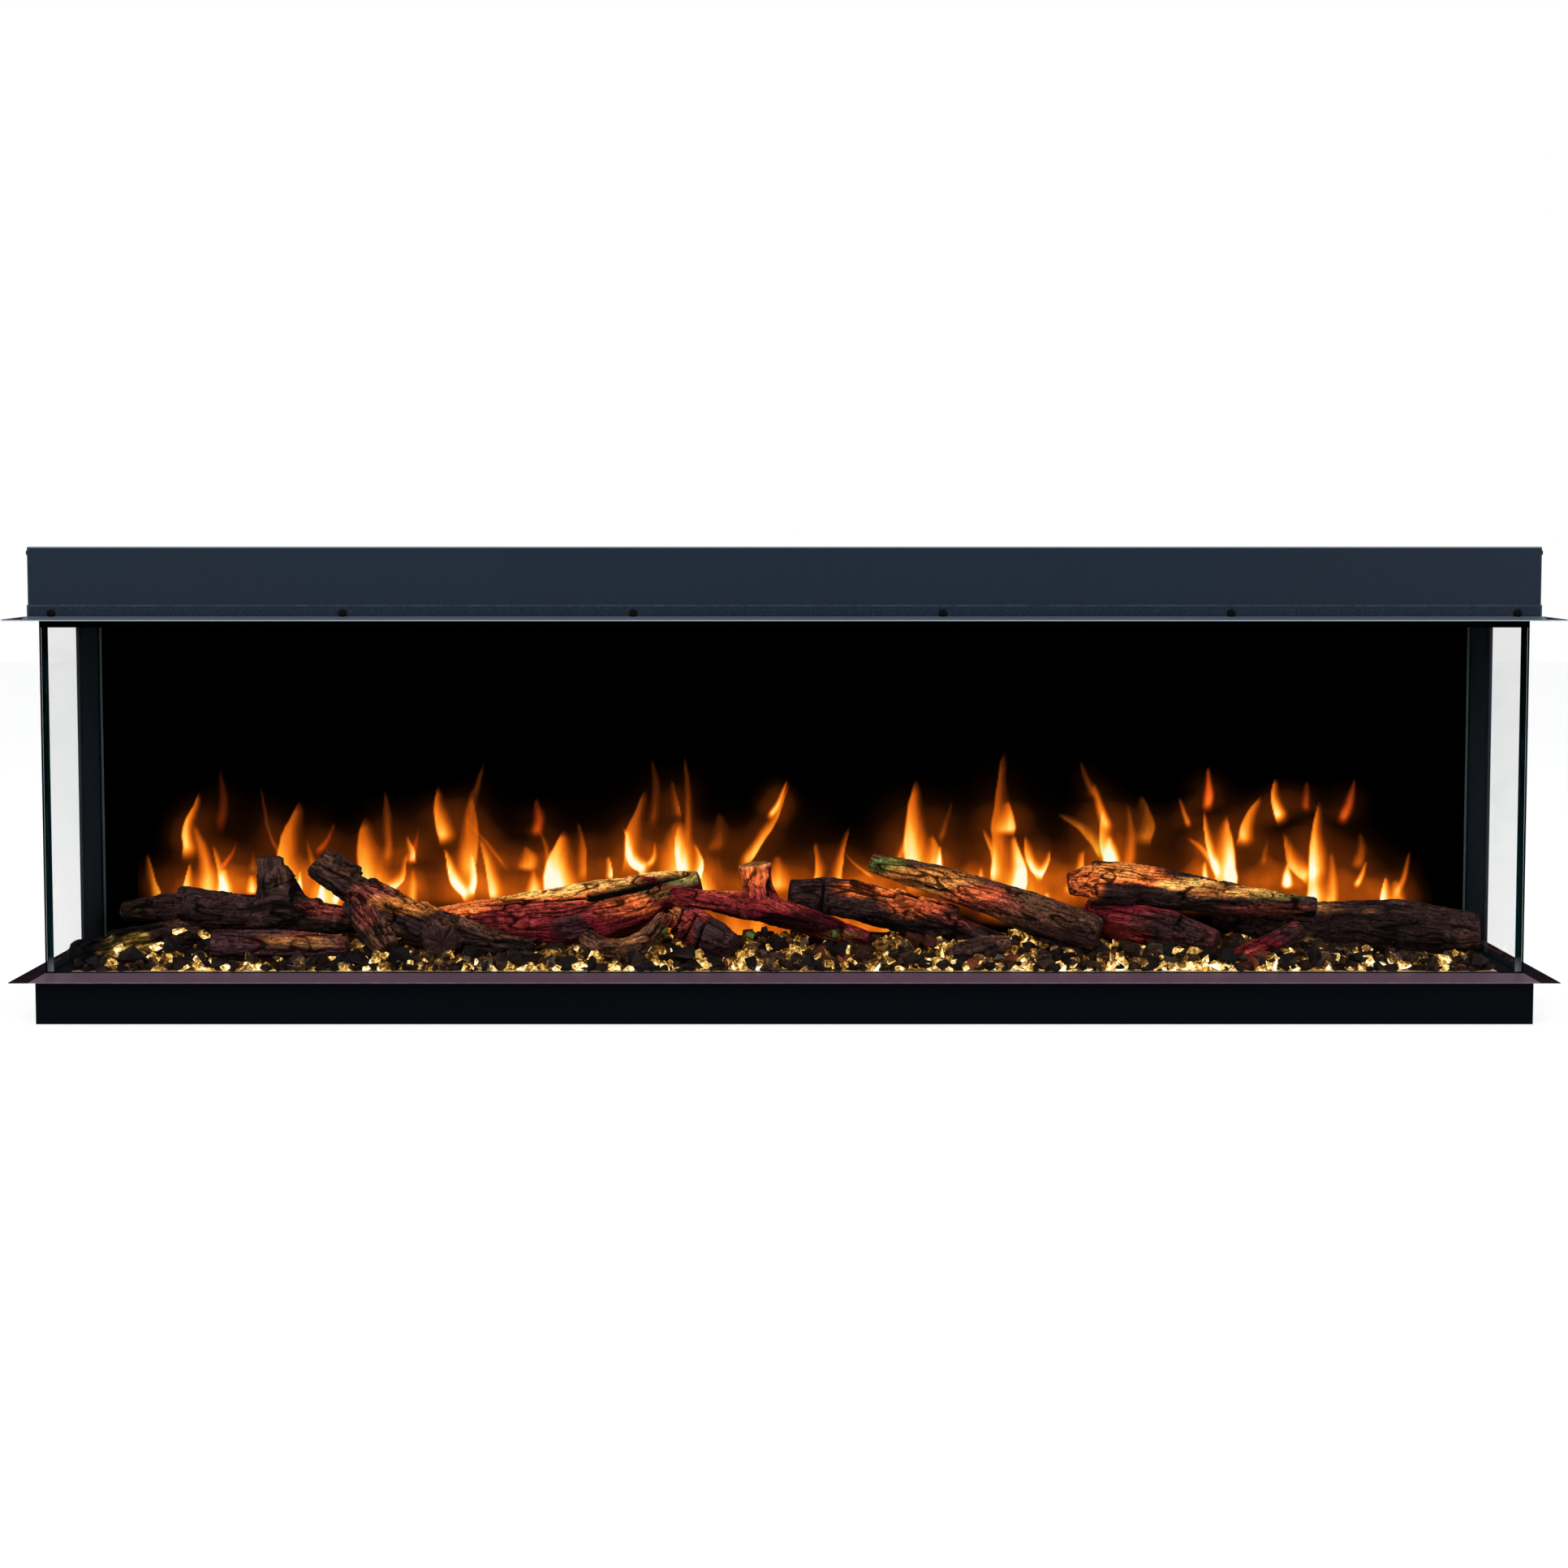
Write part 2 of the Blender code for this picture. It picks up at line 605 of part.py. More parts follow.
def walls():
    """Folded side walls behind the end panes, and the back panel with its louvres and cut-outs."""
    outer, web = HALF, HALF - SHEET
    fold, liner = HALF - WALL_FOLD, HALF - WALL_FOLD + SHEET
    end = BACK_FACE - GAP
    lap = WALL_SETBACK + SHEET
    outline = [(outer, WALL_SETBACK), (outer, end), (web, end), (web, lap), (liner, lap)]
    outline += [(liner, LINER_END), (fold, LINER_END), (fold, WALL_SETBACK)]
    for side, hand in (("left", -1), ("right", 1)):
        plan = [(hand * x, deep(d)) for x, d in outline]
        prism(f"{side}_side_panel", plan, "Z", (PANE_FOOT, PANE_HEAD), "powder_coat_blue_grey")
    y = (deep(BACK_FACE), deep(BODY_DEPTH))
    panel = block("back_panel", (-HALF, HALF), y, (PLATE_FOOT, BODY_HEIGHT), "powder_coat_black")
    outside = (deep(BACK_FACE - OVERRUN), deep(BODY_DEPTH + OVERRUN))
    slots = []
    for k in range(LOUVRE_COUNT):
        x = (k - (LOUVRE_COUNT - 1) / 2) * LOUVRE_PITCH
        z = (FITTING_HEIGHT - LOUVRE_HEIGHT / 2, FITTING_HEIGHT + LOUVRE_HEIGHT / 2)
        slots.append(block(f"louvre_{k}", (x - LOUVRE_WIDTH / 2, x + LOUVRE_WIDTH / 2), outside, z))
    wide, tall = SWITCH_HALF_WIDTH + GAP, SWITCH_HALF_HEIGHT + GAP
    x = (SWITCH_OFFSET - wide, SWITCH_OFFSET + wide)
    slots.append(block("switch_cut", x, outside, (FITTING_HEIGHT - tall, FITTING_HEIGHT + tall)))
    radius = GLAND_BODY + GLAND_HOLE_CLEARANCE
    round_cut = [(-OVERRUN, 0), (-OVERRUN, radius), (SHEET + OVERRUN, radius), (SHEET + OVERRUN, 0)]
    slots.append(turned("gland_cut", round_cut, 12, "Y", (GLAND_OFFSET, deep(BACK_FACE), FITTING_HEIGHT)))
    cut(panel, many("back_openings", slots))
    strip = (HALF - SHEET - 2 * GAP, HALF + OVERRUN)
    for side, hand in (("left", -1), ("right", 1)):
        x = sorted(hand * value for value in strip)
        notch = block(f"{side}_back_notch", x, outside, (PLATE_FOOT - OVERRUN, PANE_FOOT))
        cut(panel, notch)


def panes():
    """Front pane across the whole width, end panes behind it, and the flame screen."""
    z = (PANE_FOOT, PANE_HEAD)
    block("front_glass", (-PANE_OUT, PANE_OUT), (deep(GLASS_SETBACK), deep(PANE_BACK)), z, "clear_glass")
    y = (deep(PANE_BACK + GAP), deep(WALL_SETBACK - GAP))
    block("left_glass", (-PANE_OUT, -PANE_IN), y, z, "clear_glass")
    block("right_glass", (PANE_IN, PANE_OUT), y, z, "clear_glass")
    half = HALF - SCREEN_INSET
    y = (deep(SCREEN_SETBACK), deep(SCREEN_SETBACK + SCREEN_THICKNESS))
    block("flame_screen", (-half, half), y, (PLATE_FOOT, PANE_HEAD), "smoked_screen")


def screen_rail():
    """C-section across the pan: its shelf carries the screen and the rear rim of the tray."""
    low, top = FLOOR_SEAT, PAN_TOP
    foot = RAIL_BACK - RAIL_FOOT
    profile = [(foot, low), (RAIL_BACK, low), (RAIL_BACK, top), (RAIL_FRONT, top), (RAIL_FRONT, top - SHEET)]
    profile += [(RAIL_BACK - SHEET, top - SHEET), (RAIL_BACK - SHEET, low + SHEET), (foot, low + SHEET)]
    bent_sheet("screen_rail", profile, RAIL_HALF, "galvanised")


def ember_tray():
    """Frosted tray that hangs by its rim in the pan's mouth."""
    rim_half, rim_front, rim_back = LEDGE_EDGE - GAP, LEDGE_FRONT + GAP, SCREEN_SETBACK - GAP
    y = (deep(rim_front), deep(rim_back))
    tray = block("ember_tray", (-rim_half, rim_half), y, (PLATE_FOOT, RIM_HEIGHT), "frosted_tray")
    y = (deep(TRAY_FRONT), deep(TRAY_BACK))
    fuse(tray, block("tray_well", (-TRAY_HALF, TRAY_HALF), y, (TRAY_FLOOR, RIM_HEIGHT - SHEET / 2)))
    inner = TRAY_HALF - TRAY_WALL
    y = (deep(TRAY_FRONT + TRAY_WALL), deep(TRAY_BACK - TRAY_WALL))
    cut(tray, block("tray_hollow", (-inner, inner), y, (TRAY_FLOOR + TRAY_WALL, RIM_HEIGHT + OVERRUN)))


def bed_height(across, along):
    """Height of the ember bed over the rim at shares of its half width and depth."""
    crown = 1 - BED_CROWN_SHARE * along**2 - BED_END_SHARE * across**6
    slopes = [BED_EDGE_SHARE + steep * (1 - abs(at)) for steep, at in zip(BED_SLOPE_SHARES, (across, along))]
    lumps = [math.sin(wide * across + long * along + shift) for wide, long, shift in BED_WAVE_SHARES]
    return (BED_RISE * crown + BED_LUMP * sum(lumps) / len(lumps)) * min(1, *slopes)


def ember_bed():
    """Bed of glass embers: one lumpy mound that fills the tray."""
    columns, rows = BED_COLUMNS + 1, BED_ROWS + 1
    floor = TRAY_FLOOR + TRAY_WALL + GAP
    middle, half = (BED_FRONT + BED_BACK) / 2, (BED_BACK - BED_FRONT) / 2
    top = []
    for row in range(rows):
        along = 2 * row / BED_ROWS - 1
        for column in range(columns):
            across = 2 * column / BED_COLUMNS - 1
            x, y = across * BED_HALF, deep(middle + along * half)
            top.append((x, y, RIM_HEIGHT + bed_height(across, along)))
    border = [(0, c) for c in range(columns)] + [(r, columns - 1) for r in range(1, rows)]
    border += [(rows - 1, c) for c in range(columns - 2, -1, -1)] + [(r, 0) for r in range(rows - 2, 0, -1)]
    edge = [row * columns + column for row, column in border]
    bottom = [(top[index][0], top[index][1], floor) for index in edge]
    faces = []
    for row in range(BED_ROWS):
        for column in range(BED_COLUMNS):
            k = row * columns + column
            faces.append([k, k + 1, k + columns + 1])
            faces.append([k, k + columns + 1, k + columns])
    base = len(top)
    for k, index in enumerate(edge):
        near = (k + 1) % len(edge)
        faces.append([index, edge[near], base + near, base + k])
    faces.append([base + k for k in range(len(edge))])
    return solid("ember_bed", top + bottom, faces, "ember_glass")


# Logs: finish, seed, how flat the section is, then each stem as points of shares. A point holds the
# share of the bed's half width, of the bed's depth, of LOG_RISE over the rim, and of LOG_GIRTH.
LOG_SHARES = {
    "log_corner_left": (
        "charred_log",
        3,
        0.9,
        [
            (-1.000, 0.08, 0.15, 0.44),
            (-0.955, 0.30, 0.20, 0.46),
            (-0.900, 0.52, 0.27, 0.42),
            (-0.840, 0.66, 0.28, 0.32),
            (-0.790, 0.74, 0.24, 0.20),
        ],
    ),
    "log_rear_left": (
        "charred_log",
        4,
        0.9,
        [
            (-0.985, 0.80, 0.50, 0.36),
            (-0.930, 0.80, 0.54, 0.46),
            (-0.870, 0.78, 0.54, 0.48),
            (-0.815, 0.72, 0.56, 0.50),
        ],
    ),
    "log_split_small": (
        "charred_log",
        5,
        0.9,
        [
            (-0.815, 0.16, 0.26, 0.48),
            (-0.725, 0.16, 0.25, 0.48),
            (-0.625, 0.17, 0.22, 0.34),
        ],
    ),
    "log_stub_left": (
        "charred_log",
        6,
        0.95,
        [
            (-0.880, 0.54, 0.68, 0.44),
            (-0.805, 0.52, 0.64, 0.50),
            (-0.735, 0.51, 0.64, 0.58),
            (-0.665, 0.52, 0.58, 0.48),
            (-0.615, 0.53, 0.54, 0.36),
        ],
        [
            (-0.742, 0.51, 0.70, 0.46),
            (-0.753, 0.51, 1.00, 0.36),
            (-0.752, 0.51, 1.30, 0.36),
        ],
    ),
    "log_fork": (
        "charred_log",
        7,
        0.95,
        [
            (-0.690, 0.60, 1.17, 0.38),
            (-0.638, 0.53, 0.96, 0.46),
            (-0.587, 0.45, 0.72, 0.54),
            (-0.523, 0.36, 0.50, 0.62),
            (-0.444, 0.29, 0.34, 0.48),
            (-0.362, 0.22, 0.24, 0.28),
        ],
        [
            (-0.622, 0.44, 0.76, 0.42),
            (-0.592, 0.30, 0.50, 0.42),
            (-0.568, 0.18, 0.26, 0.32),
        ],
        [
            (-0.505, 0.34, 0.45, 0.48),
            (-0.489, 0.15, 0.34, 0.54),
        ],
    ),
    "log_split_large": (
        "glowing_log",
        8,
        1.0,
        [
            (-0.550, 0.60, 0.46, 0.34),
            (-0.436, 0.58, 0.49, 0.69),
            (-0.329, 0.56, 0.53, 0.90),
            (-0.234, 0.58, 0.66, 0.88),
            (-0.165, 0.60, 0.88, 0.60),
            (-0.125, 0.60, 0.98, 0.32),
        ],
    ),
    "log_hook": (
        "charred_log",
        9,
        1.0,
        [
            (-0.285, 0.24, 0.36, 0.24),
            (-0.268, 0.17, 0.27, 0.29),
            (-0.236, 0.16, 0.24, 0.30),
            (-0.202, 0.20, 0.36, 0.27),
            (-0.172, 0.30, 0.60, 0.26),
        ],
    ),
    "log_root": (
        "glowing_log",
        10,
        0.95,
        [
            (-0.160, 0.42, 0.52, 0.34),
            (-0.134, 0.30, 0.38, 0.58),
            (-0.100, 0.20, 0.28, 0.62),
            (-0.074, 0.13, 0.20, 0.38),
        ],
    ),
    "log_red_stub": (
        "glowing_log",
        11,
        0.85,
        [
            (-0.165, 0.42, 0.86, 0.26),
            (-0.098, 0.42, 0.78, 0.36),
            (-0.031, 0.42, 0.70, 0.46),
            (0.039, 0.40, 0.52, 0.44),
            (0.120, 0.36, 0.32, 0.28),
        ],
        [
            (-0.036, 0.42, 0.76, 0.40),
            (-0.041, 0.42, 1.00, 0.38),
            (-0.045, 0.42, 1.24, 0.42),
        ],
    ),
    "log_centre_dark": (
        "charred_log",
        12,
        0.9,
        [
            (0.008, 0.62, 0.78, 0.52),
            (0.099, 0.64, 0.69, 0.68),
            (0.181, 0.62, 0.56, 0.60),
            (0.264, 0.58, 0.38, 0.38),
            (0.320, 0.54, 0.26, 0.22),
        ],
    ),
    "log_chunk_front": (
        "charred_log",
        14,
        0.8,
        [
            (0.232, 0.14, 0.13, 0.22),
            (0.275, 0.15, 0.20, 0.42),
            (0.322, 0.16, 0.28, 0.22),
        ],
    ),
    "log_moss_long": (
        "mossy_log",
        13,
        0.95,
        [
            (0.130, 0.74, 1.06, 0.34),
            (0.218, 0.62, 0.87, 0.46),
            (0.299, 0.50, 0.66, 0.54),
            (0.378, 0.38, 0.43, 0.64),
            (0.450, 0.28, 0.24, 0.62),
        ],
    ),
    "log_burl": (
        "glowing_log",
        15,
        0.95,
        [
            (0.446, 0.64, 0.46, 0.40),
            (0.498, 0.54, 0.36, 0.68),
            (0.562, 0.42, 0.28, 0.66),
            (0.620, 0.28, 0.16, 0.38),
        ],
    ),
    "log_red_branch": (
        "glowing_log",
        18,
        1.0,
        [
            (0.640, 0.12, 0.12, 0.20),
            (0.690, 0.22, 0.24, 0.24),
            (0.745, 0.36, 0.38, 0.26),
        ],
    ),
    "log_right_large": (
        "charred_log",
        17,
        0.95,
        [
            (0.640, 0.80, 0.52, 0.36),
            (0.740, 0.72, 0.47, 0.62),
            (0.840, 0.58, 0.41, 0.84),
            (0.940, 0.42, 0.35, 0.88),
            (1.003, 0.35, 0.36, 0.60),
        ],
    ),
    "log_mossy_right": (
        "mossy_log",
        16,
        0.9,
        [
            (0.418, 0.60, 0.86, 0.40),
            (0.476, 0.58, 0.90, 0.64),
            (0.560, 0.53, 0.81, 0.64),
            (0.669, 0.45, 0.70, 0.48),
            (0.770, 0.39, 0.62, 0.28),
        ],
    ),
}


def curve_through(points, steps):
    """Points on a smooth curve through the given ones, steps to a span."""
    track = [np.array(point) for point in points]
    track = [2 * track[0] - track[1]] + track + [2 * track[-1] - track[-2]]
    smooth = []
    for a, b, c, d in zip(track, track[1:], track[2:], track[3:]):
        for step in range(steps):
            t = step / steps
            bend = (2 * a - 5 * b + 4 * c - d) * t**2 + (3 * b - a - 3 * c + d) * t**3
            smooth.append((2 * b + (c - a) * t + bend) / 2)
    return smooth + [track[-2]]


def stem(name, shares, seed, flatness, look):
    """One limb of a log: an uneven round section swept along its curve, cut flat at both ends."""
    draw = random.Random(seed)
    phases = [draw.uniform(0, math.tau) for _ in range(2)]
    depth = BED_BACK - BED_FRONT
    spots = [
        (x * BED_HALF, deep(BED_FRONT + d * depth), RIM_HEIGHT + rise * LOG_RISE, girth * LOG_GIRTH)
        for x, d, rise, girth in shares
    ]
    rings = curve_through(spots, STEPS_PER_SPAN)
    centres = [Vector(ring[:3]) for ring in rings]
    points = []
    for index, (centre, ring) in enumerate(zip(centres, rings)):
        ahead = centres[min(index + 1, len(centres) - 1)] - centres[max(index - 1, 0)]
        ahead.normalize()
        steep = abs(ahead.z) > math.cos(STEEP_ANGLE)
        across = ahead.cross(Vector((0, 1, 0) if steep else (0, 0, 1))).normalized()
        up = across.cross(ahead).normalized()
        for k in range(LOG_SIDES):
            angle = math.tau * k / LOG_SIDES
            swell = 1 + LOG_OVAL_SHARE * math.sin(2 * angle + phases[0] + index * LOG_TWIST_SHARE)
            swell += LOG_LOBE_SHARE * math.sin(3 * angle + phases[1] - index * LOG_TWIST_SHARE)
            swell += draw.uniform(-LOG_KNOT_SHARE, LOG_KNOT_SHARE)
            reach = ring[3] * swell
            points.append(centre + across * reach * math.cos(angle) + up * reach * flatness * math.sin(angle))
    last = len(rings) - 1
    faces = [list(range(LOG_SIDES)), [last * LOG_SIDES + k for k in range(LOG_SIDES)]]
    for index in range(last):
        for k in range(LOG_SIDES):
            near = (k + 1) % LOG_SIDES
            a, b = index * LOG_SIDES + k, index * LOG_SIDES + near
            faces.append([a, b, b + LOG_SIDES])
            faces.append([a, b + LOG_SIDES, a + LOG_SIDES])
    return solid(name, points, faces, look, smooth=BARK_ANGLE)


def triangles(shape):
    """World triangles of a shape as its modifiers leave it."""
    bpy.context.view_layer.update()
    seen = shape.evaluated_get(bpy.context.evaluated_depsgraph_get())
    mesh = seen.to_mesh()
    mesh.calc_loop_triangles()
    spots = np.array([tuple(shape.matrix_basis @ vertex.co) for vertex in mesh.vertices])
    found = spots[np.array([tuple(triangle.vertices) for triangle in mesh.loop_triangles])]
    seen.to_mesh_clear()
    return found


def heights_over(spots, faces):
    """For each spot and face whose plan covers it, the spot's height over the face."""
    a, b, c = faces[:, 0], faces[:, 1], faces[:, 2]
    ab, ac = b - a, c - a
    area = ab[:, 0] * ac[:, 1] - ab[:, 1] * ac[:, 0]
    seen = np.abs(area) > (GAP * SLIVER_SHARE) ** 2
    a, ab, ac, area = a[seen], ab[seen], ac[seen], area[seen]
    dx = spots[:, None, 0] - a[None, :, 0]
    dy = spots[:, None, 1] - a[None, :, 1]
    u = (dx * ac[:, 1] - dy * ac[:, 0]) / area
    v = (dy * ab[:, 0] - dx * ab[:, 1]) / area
    inside = (u >= 0) & (v >= 0) & (u + v <= 1)
    level = a[:, 2] + u * ab[:, 2] + v * ac[:, 2]
    return (spots[:, None, 2] - level)[inside]


def edge_heights(upper, lower):
    """Height of each upper edge over each lower edge that it crosses in plan."""
    p, r = upper.reshape(-1, 3), (np.roll(upper, -1, axis=1) - upper).reshape(-1, 3)
    q, s = lower.reshape(-1, 3), (np.roll(lower, -1, axis=1) - lower).reshape(-1, 3)
    cross = r[:, None, 0] * s[None, :, 1] - r[:, None, 1] * s[None, :, 0]
    dx = q[None, :, 0] - p[:, None, 0]
    dy = q[None, :, 1] - p[:, None, 1]
    safe = np.where(cross == 0, 1, cross)
    t = (dx * s[None, :, 1] - dy * s[None, :, 0]) / safe
    u = (dx * r[:, None, 1] - dy * r[:, None, 0]) / safe
    meet = (cross != 0) & (t >= 0) & (t <= 1) & (u >= 0) & (u <= 1)
    return ((p[:, None, 2] + t * r[:, None, 2]) - (q[None, :, 2] + u * s[None, :, 2]))[meet]


def rest_on(shape, carriers):
    """Lowers or lifts a shape until its least height over the carriers is the gap."""
    own = triangles(shape)
    low, high = own.min(axis=(0, 1)), own.max(axis=(0, 1))
    found = []
    for faces in carriers:
        after = (faces.max(axis=1)[:, :2] >= low[:2]).all(axis=1)
        before = (faces.min(axis=1)[:, :2] <= high[:2]).all(axis=1)
        faces = faces[after & before]
        if len(faces) == 0:
            continue
        found.append(heights_over(own.reshape(-1, 3), faces))
        found.append(-heights_over(faces.reshape(-1, 3), own))
        found.append(edge_heights(own, faces))
    least = min(values.min() for values in found if len(values))
    shape.location.z += GAP - least
    carriers.append(triangles(shape))


def logs(carriers):
    """Each log built from its stems, then set down on the embers, the rim and the logs before it."""
    for name, (look, seed, flatness, *stems) in LOG_SHARES.items():
        trunk = stem(name, stems[0], seed, flatness, look)
        branches = [
            stem(f"{name}_limb_{k}", limb, seed + 100 * k, 1.0, look)
            for k, limb in enumerate(stems[1:], 1)
        ]
        for branch in branches:
            fuse(trunk, branch)
        if branches:
            settled_mesh(trunk)
        for branch in branches:
            bpy.data.objects.remove(branch, do_unlink=True)
        rest_on(trunk, carriers)


def front_screws():
    """Pan-head screws through flange, cover and ceiling pan."""
    head = -GAP - SHEET - GAP
    socket = head - SCREW_HEAD_HEIGHT + SCREW_SOCKET_DEPTH
    profile = [(socket, 0), (socket, SCREW_SOCKET_RADIUS * SOCKET_FLOOR_SHARE)]
    profile.append((head - SCREW_HEAD_HEIGHT, SCREW_SOCKET_RADIUS))
    for rise, reach in SCREW_CROWN_SHARES:
        profile.append((head - SCREW_HEAD_HEIGHT * rise, SCREW_HEAD_RADIUS * reach))
    profile += [(head, SCREW_SHANK_RADIUS), (head + SCREW_LENGTH, SCREW_SHANK_RADIUS)]
    profile.append((head + SCREW_LENGTH, 0))
    for k, x in enumerate(screw_places(), 1):
        turned(f"front_screw_{k}", profile, 12, "Y", (x, FACE_Y, SCREW_HEIGHT), "screw_black")


def light_board(name, depth, half, foot, facing):
    """A light strip: a board with a row of raised lamps, facing up or down."""
    points = [(-half, 0), (-half, BOARD_THICKNESS)]
    pitch = 2 * half / LED_COUNT
    for k in range(LED_COUNT):
        x = -half + (k + 0.5) * pitch
        top = BOARD_THICKNESS + LED_HEIGHT
        points += [(x - LED_WIDTH / 2, BOARD_THICKNESS), (x - LED_WIDTH / 2, top)]
        points += [(x + LED_WIDTH / 2, top), (x + LED_WIDTH / 2, BOARD_THICKNESS)]
    points += [(half, BOARD_THICKNESS), (half, 0)]
    outline = [(x, foot + facing * z) for x, z in points]
    y = (deep(depth) - BOARD_WIDTH / 2, deep(depth) + BOARD_WIDTH / 2)
    return prism(name, outline, "Y", y, "white_board")


def leaf(x, width, foot, height, lean):
    """A flame-shaped outline, leaning a little, as (x, z) points."""
    return [(x + width * (u + lean * v * v), foot + height * v) for u, v in LEAF_SHARES]


def flame_reflector():
    """Standing sheet with flame cut-outs between the spindle and the screen."""
    low, web = FLOOR_SEAT, REFLECTOR_SETBACK + SHEET
    profile = [(REFLECTOR_SETBACK, low), (REFLECTOR_SETBACK + REFLECTOR_FOOT, low)]
    profile += [(REFLECTOR_SETBACK + REFLECTOR_FOOT, low + SHEET), (web, low + SHEET)]
    profile += [(web, REFLECTOR_HEIGHT), (REFLECTOR_SETBACK, REFLECTOR_HEIGHT)]
    sheet = bent_sheet("flame_reflector", profile, RAIL_HALF, "galvanised")
    span = (deep(REFLECTOR_SETBACK - OVERRUN), deep(web + OVERRUN))
    pitch = 2 * RAIL_HALF / FLAME_COUNT
    draw = random.Random(21)
    shapes = []
    for k in range(FLAME_COUNT):
        x = -RAIL_HALF + (k + 0.5) * pitch
        height = FLAME_HEIGHT * draw.uniform(*FLAME_TALL_SHARES)
        width = FLAME_WIDTH * draw.uniform(*FLAME_WIDE_SHARES)
        outline = leaf(x, width, FLAME_SILL, height, draw.uniform(*FLAME_LEAN_SHARES))
        shapes.append(prism(f"flame_{k}", outline, "Y", span))
    cut(sheet, many("flame_cuts", shapes))


def flame_spindle():
    """Six-sided rod with pairs of foil petals in a helix, round at both ends."""
    half = HALF - SHEET - 2 * GAP - SPINDLE_END_CLEARANCE
    right = HALF - SHEET - 2 * GAP - MOTOR_LENGTH
    middle = (right - half) / 2
    span = (right + half) / PETAL_COUNT
    sections = [(-half, None)]
    for k in range(PETAL_COUNT):
        start = -half + (k + 0.5) * span - PETAL_LENGTH / 2
        stop = start + PETAL_LENGTH
        sections += [(start - PETAL_TAPER, None), (start, k % 3), (stop, k % 3), (stop + PETAL_TAPER, None)]
    sections.append((right, None))
    points = []
    for x, wings in sections:
        for k in range(6):
            radius = SPINDLE_ROD if wings is None else (SPINDLE_PETAL if k % 3 == wings else SPINDLE_ROOT)
            angle = math.tau * k / 6
            points.append((x - middle, radius * math.cos(angle), radius * math.sin(angle)))
    last = len(sections) - 1
    faces = [list(range(6)), [last * 6 + k for k in range(6)]]
    for index in range(last):
        for k in range(6):
            a, b = index * 6 + k, index * 6 + (k + 1) % 6
            faces.append([a, b, b + 6])
            faces.append([a, b + 6, a + 6])
    solid("flame_spindle", points, faces, "mirror_foil", (middle, deep(SPINDLE_SETBACK), SPINDLE_HEIGHT))


def motor_profile(radius, length):
    """Profile of a motor can with a raised boss round its shaft end."""
    boss, nose = radius * BOSS_SHARE, length * NOSE_SHARE
    return [(0, 0), (0, boss), (nose, boss), (nose, radius), (length, radius), (length, 0)]


def spindle_supports():
    """Bush on the left wall and gear motor on the right wall."""
    wall = HALF - SHEET - GAP
    y = (deep(SPINDLE_SETBACK) - BEARING_SIDE / 2, deep(SPINDLE_SETBACK) + BEARING_SIDE / 2)
    z = (SPINDLE_HEIGHT - BEARING_SIDE / 2, SPINDLE_HEIGHT + BEARING_SIDE / 2)
    bearing = block("spindle_bearing", (-wall, -wall + BEARING_THICKNESS), y, z, "black_plastic")
    radius = SPINDLE_ROD + BEARING_CLEARANCE
    depth = BEARING_THICKNESS - SPINDLE_END_CLEARANCE + 2 * GAP
    bore = [(-depth, 0), (-depth, radius), (OVERRUN, radius), (OVERRUN, 0)]
    place = (-wall + BEARING_THICKNESS, deep(SPINDLE_SETBACK), SPINDLE_HEIGHT)
    cut(bearing, turned("bearing_bore", bore, 12, "X", place))
    body = motor_profile(MOTOR_RADIUS, MOTOR_LENGTH)
    place = (wall - MOTOR_LENGTH, deep(SPINDLE_SETBACK), SPINDLE_HEIGHT)
    turned("spindle_motor", body, 20, "X", place, "motor_shell")


def blower_wheel():
    """Cross-flow wheel: blades between two discs, on a shaft."""
    sides = 2 * BLOWER_BLADES
    half = BLOWER_LENGTH / 2
    inner = half - BLOWER_RING
    reach = half + BLOWER_SHAFT_REACH
    rows = [(-reach, BLOWER_SHAFT), (-half, BLOWER_SHAFT), (-half, BLOWER_RADIUS), (-inner, BLOWER_RADIUS)]
    rows += [(-inner, BLOWER_INNER), (inner, BLOWER_INNER), (inner, BLOWER_RADIUS), (half, BLOWER_RADIUS)]
    rows += [(half, BLOWER_SHAFT), (reach, BLOWER_SHAFT)]
    points = []
    for x, radius in rows:
        for k in range(sides):
            angle = math.tau * k / sides
            points.append((x, radius * math.cos(angle), radius * math.sin(angle)))

    def band(low, high, k):
        near = (k + 1) % sides
        return [low * sides + k, low * sides + near, high * sides + near, high * sides + k]

    faces = [[row * sides + k for k in range(sides)] for row in (0, 4, 5, 9)]
    for k in range(sides):
        faces += [band(0, 1, k), band(1, 2, k), band(2, 3, k), band(6, 7, k), band(7, 8, k), band(8, 9, k)]
        if k % 2:
            faces += [band(3, 4, k), band(5, 6, k)]
            continue
        near = (k + 1) % sides
        faces += [band(3, 6, k), band(4, 5, k)]
        faces += [[row * sides + j for row in (3, 4, 5, 6)] for j in (k, near)]
    place = (0, deep(BLOWER_SETBACK), BLOWER_HEIGHT)
    solid("blower_wheel", points, faces, "galvanised", place, BLADE_ANGLE)


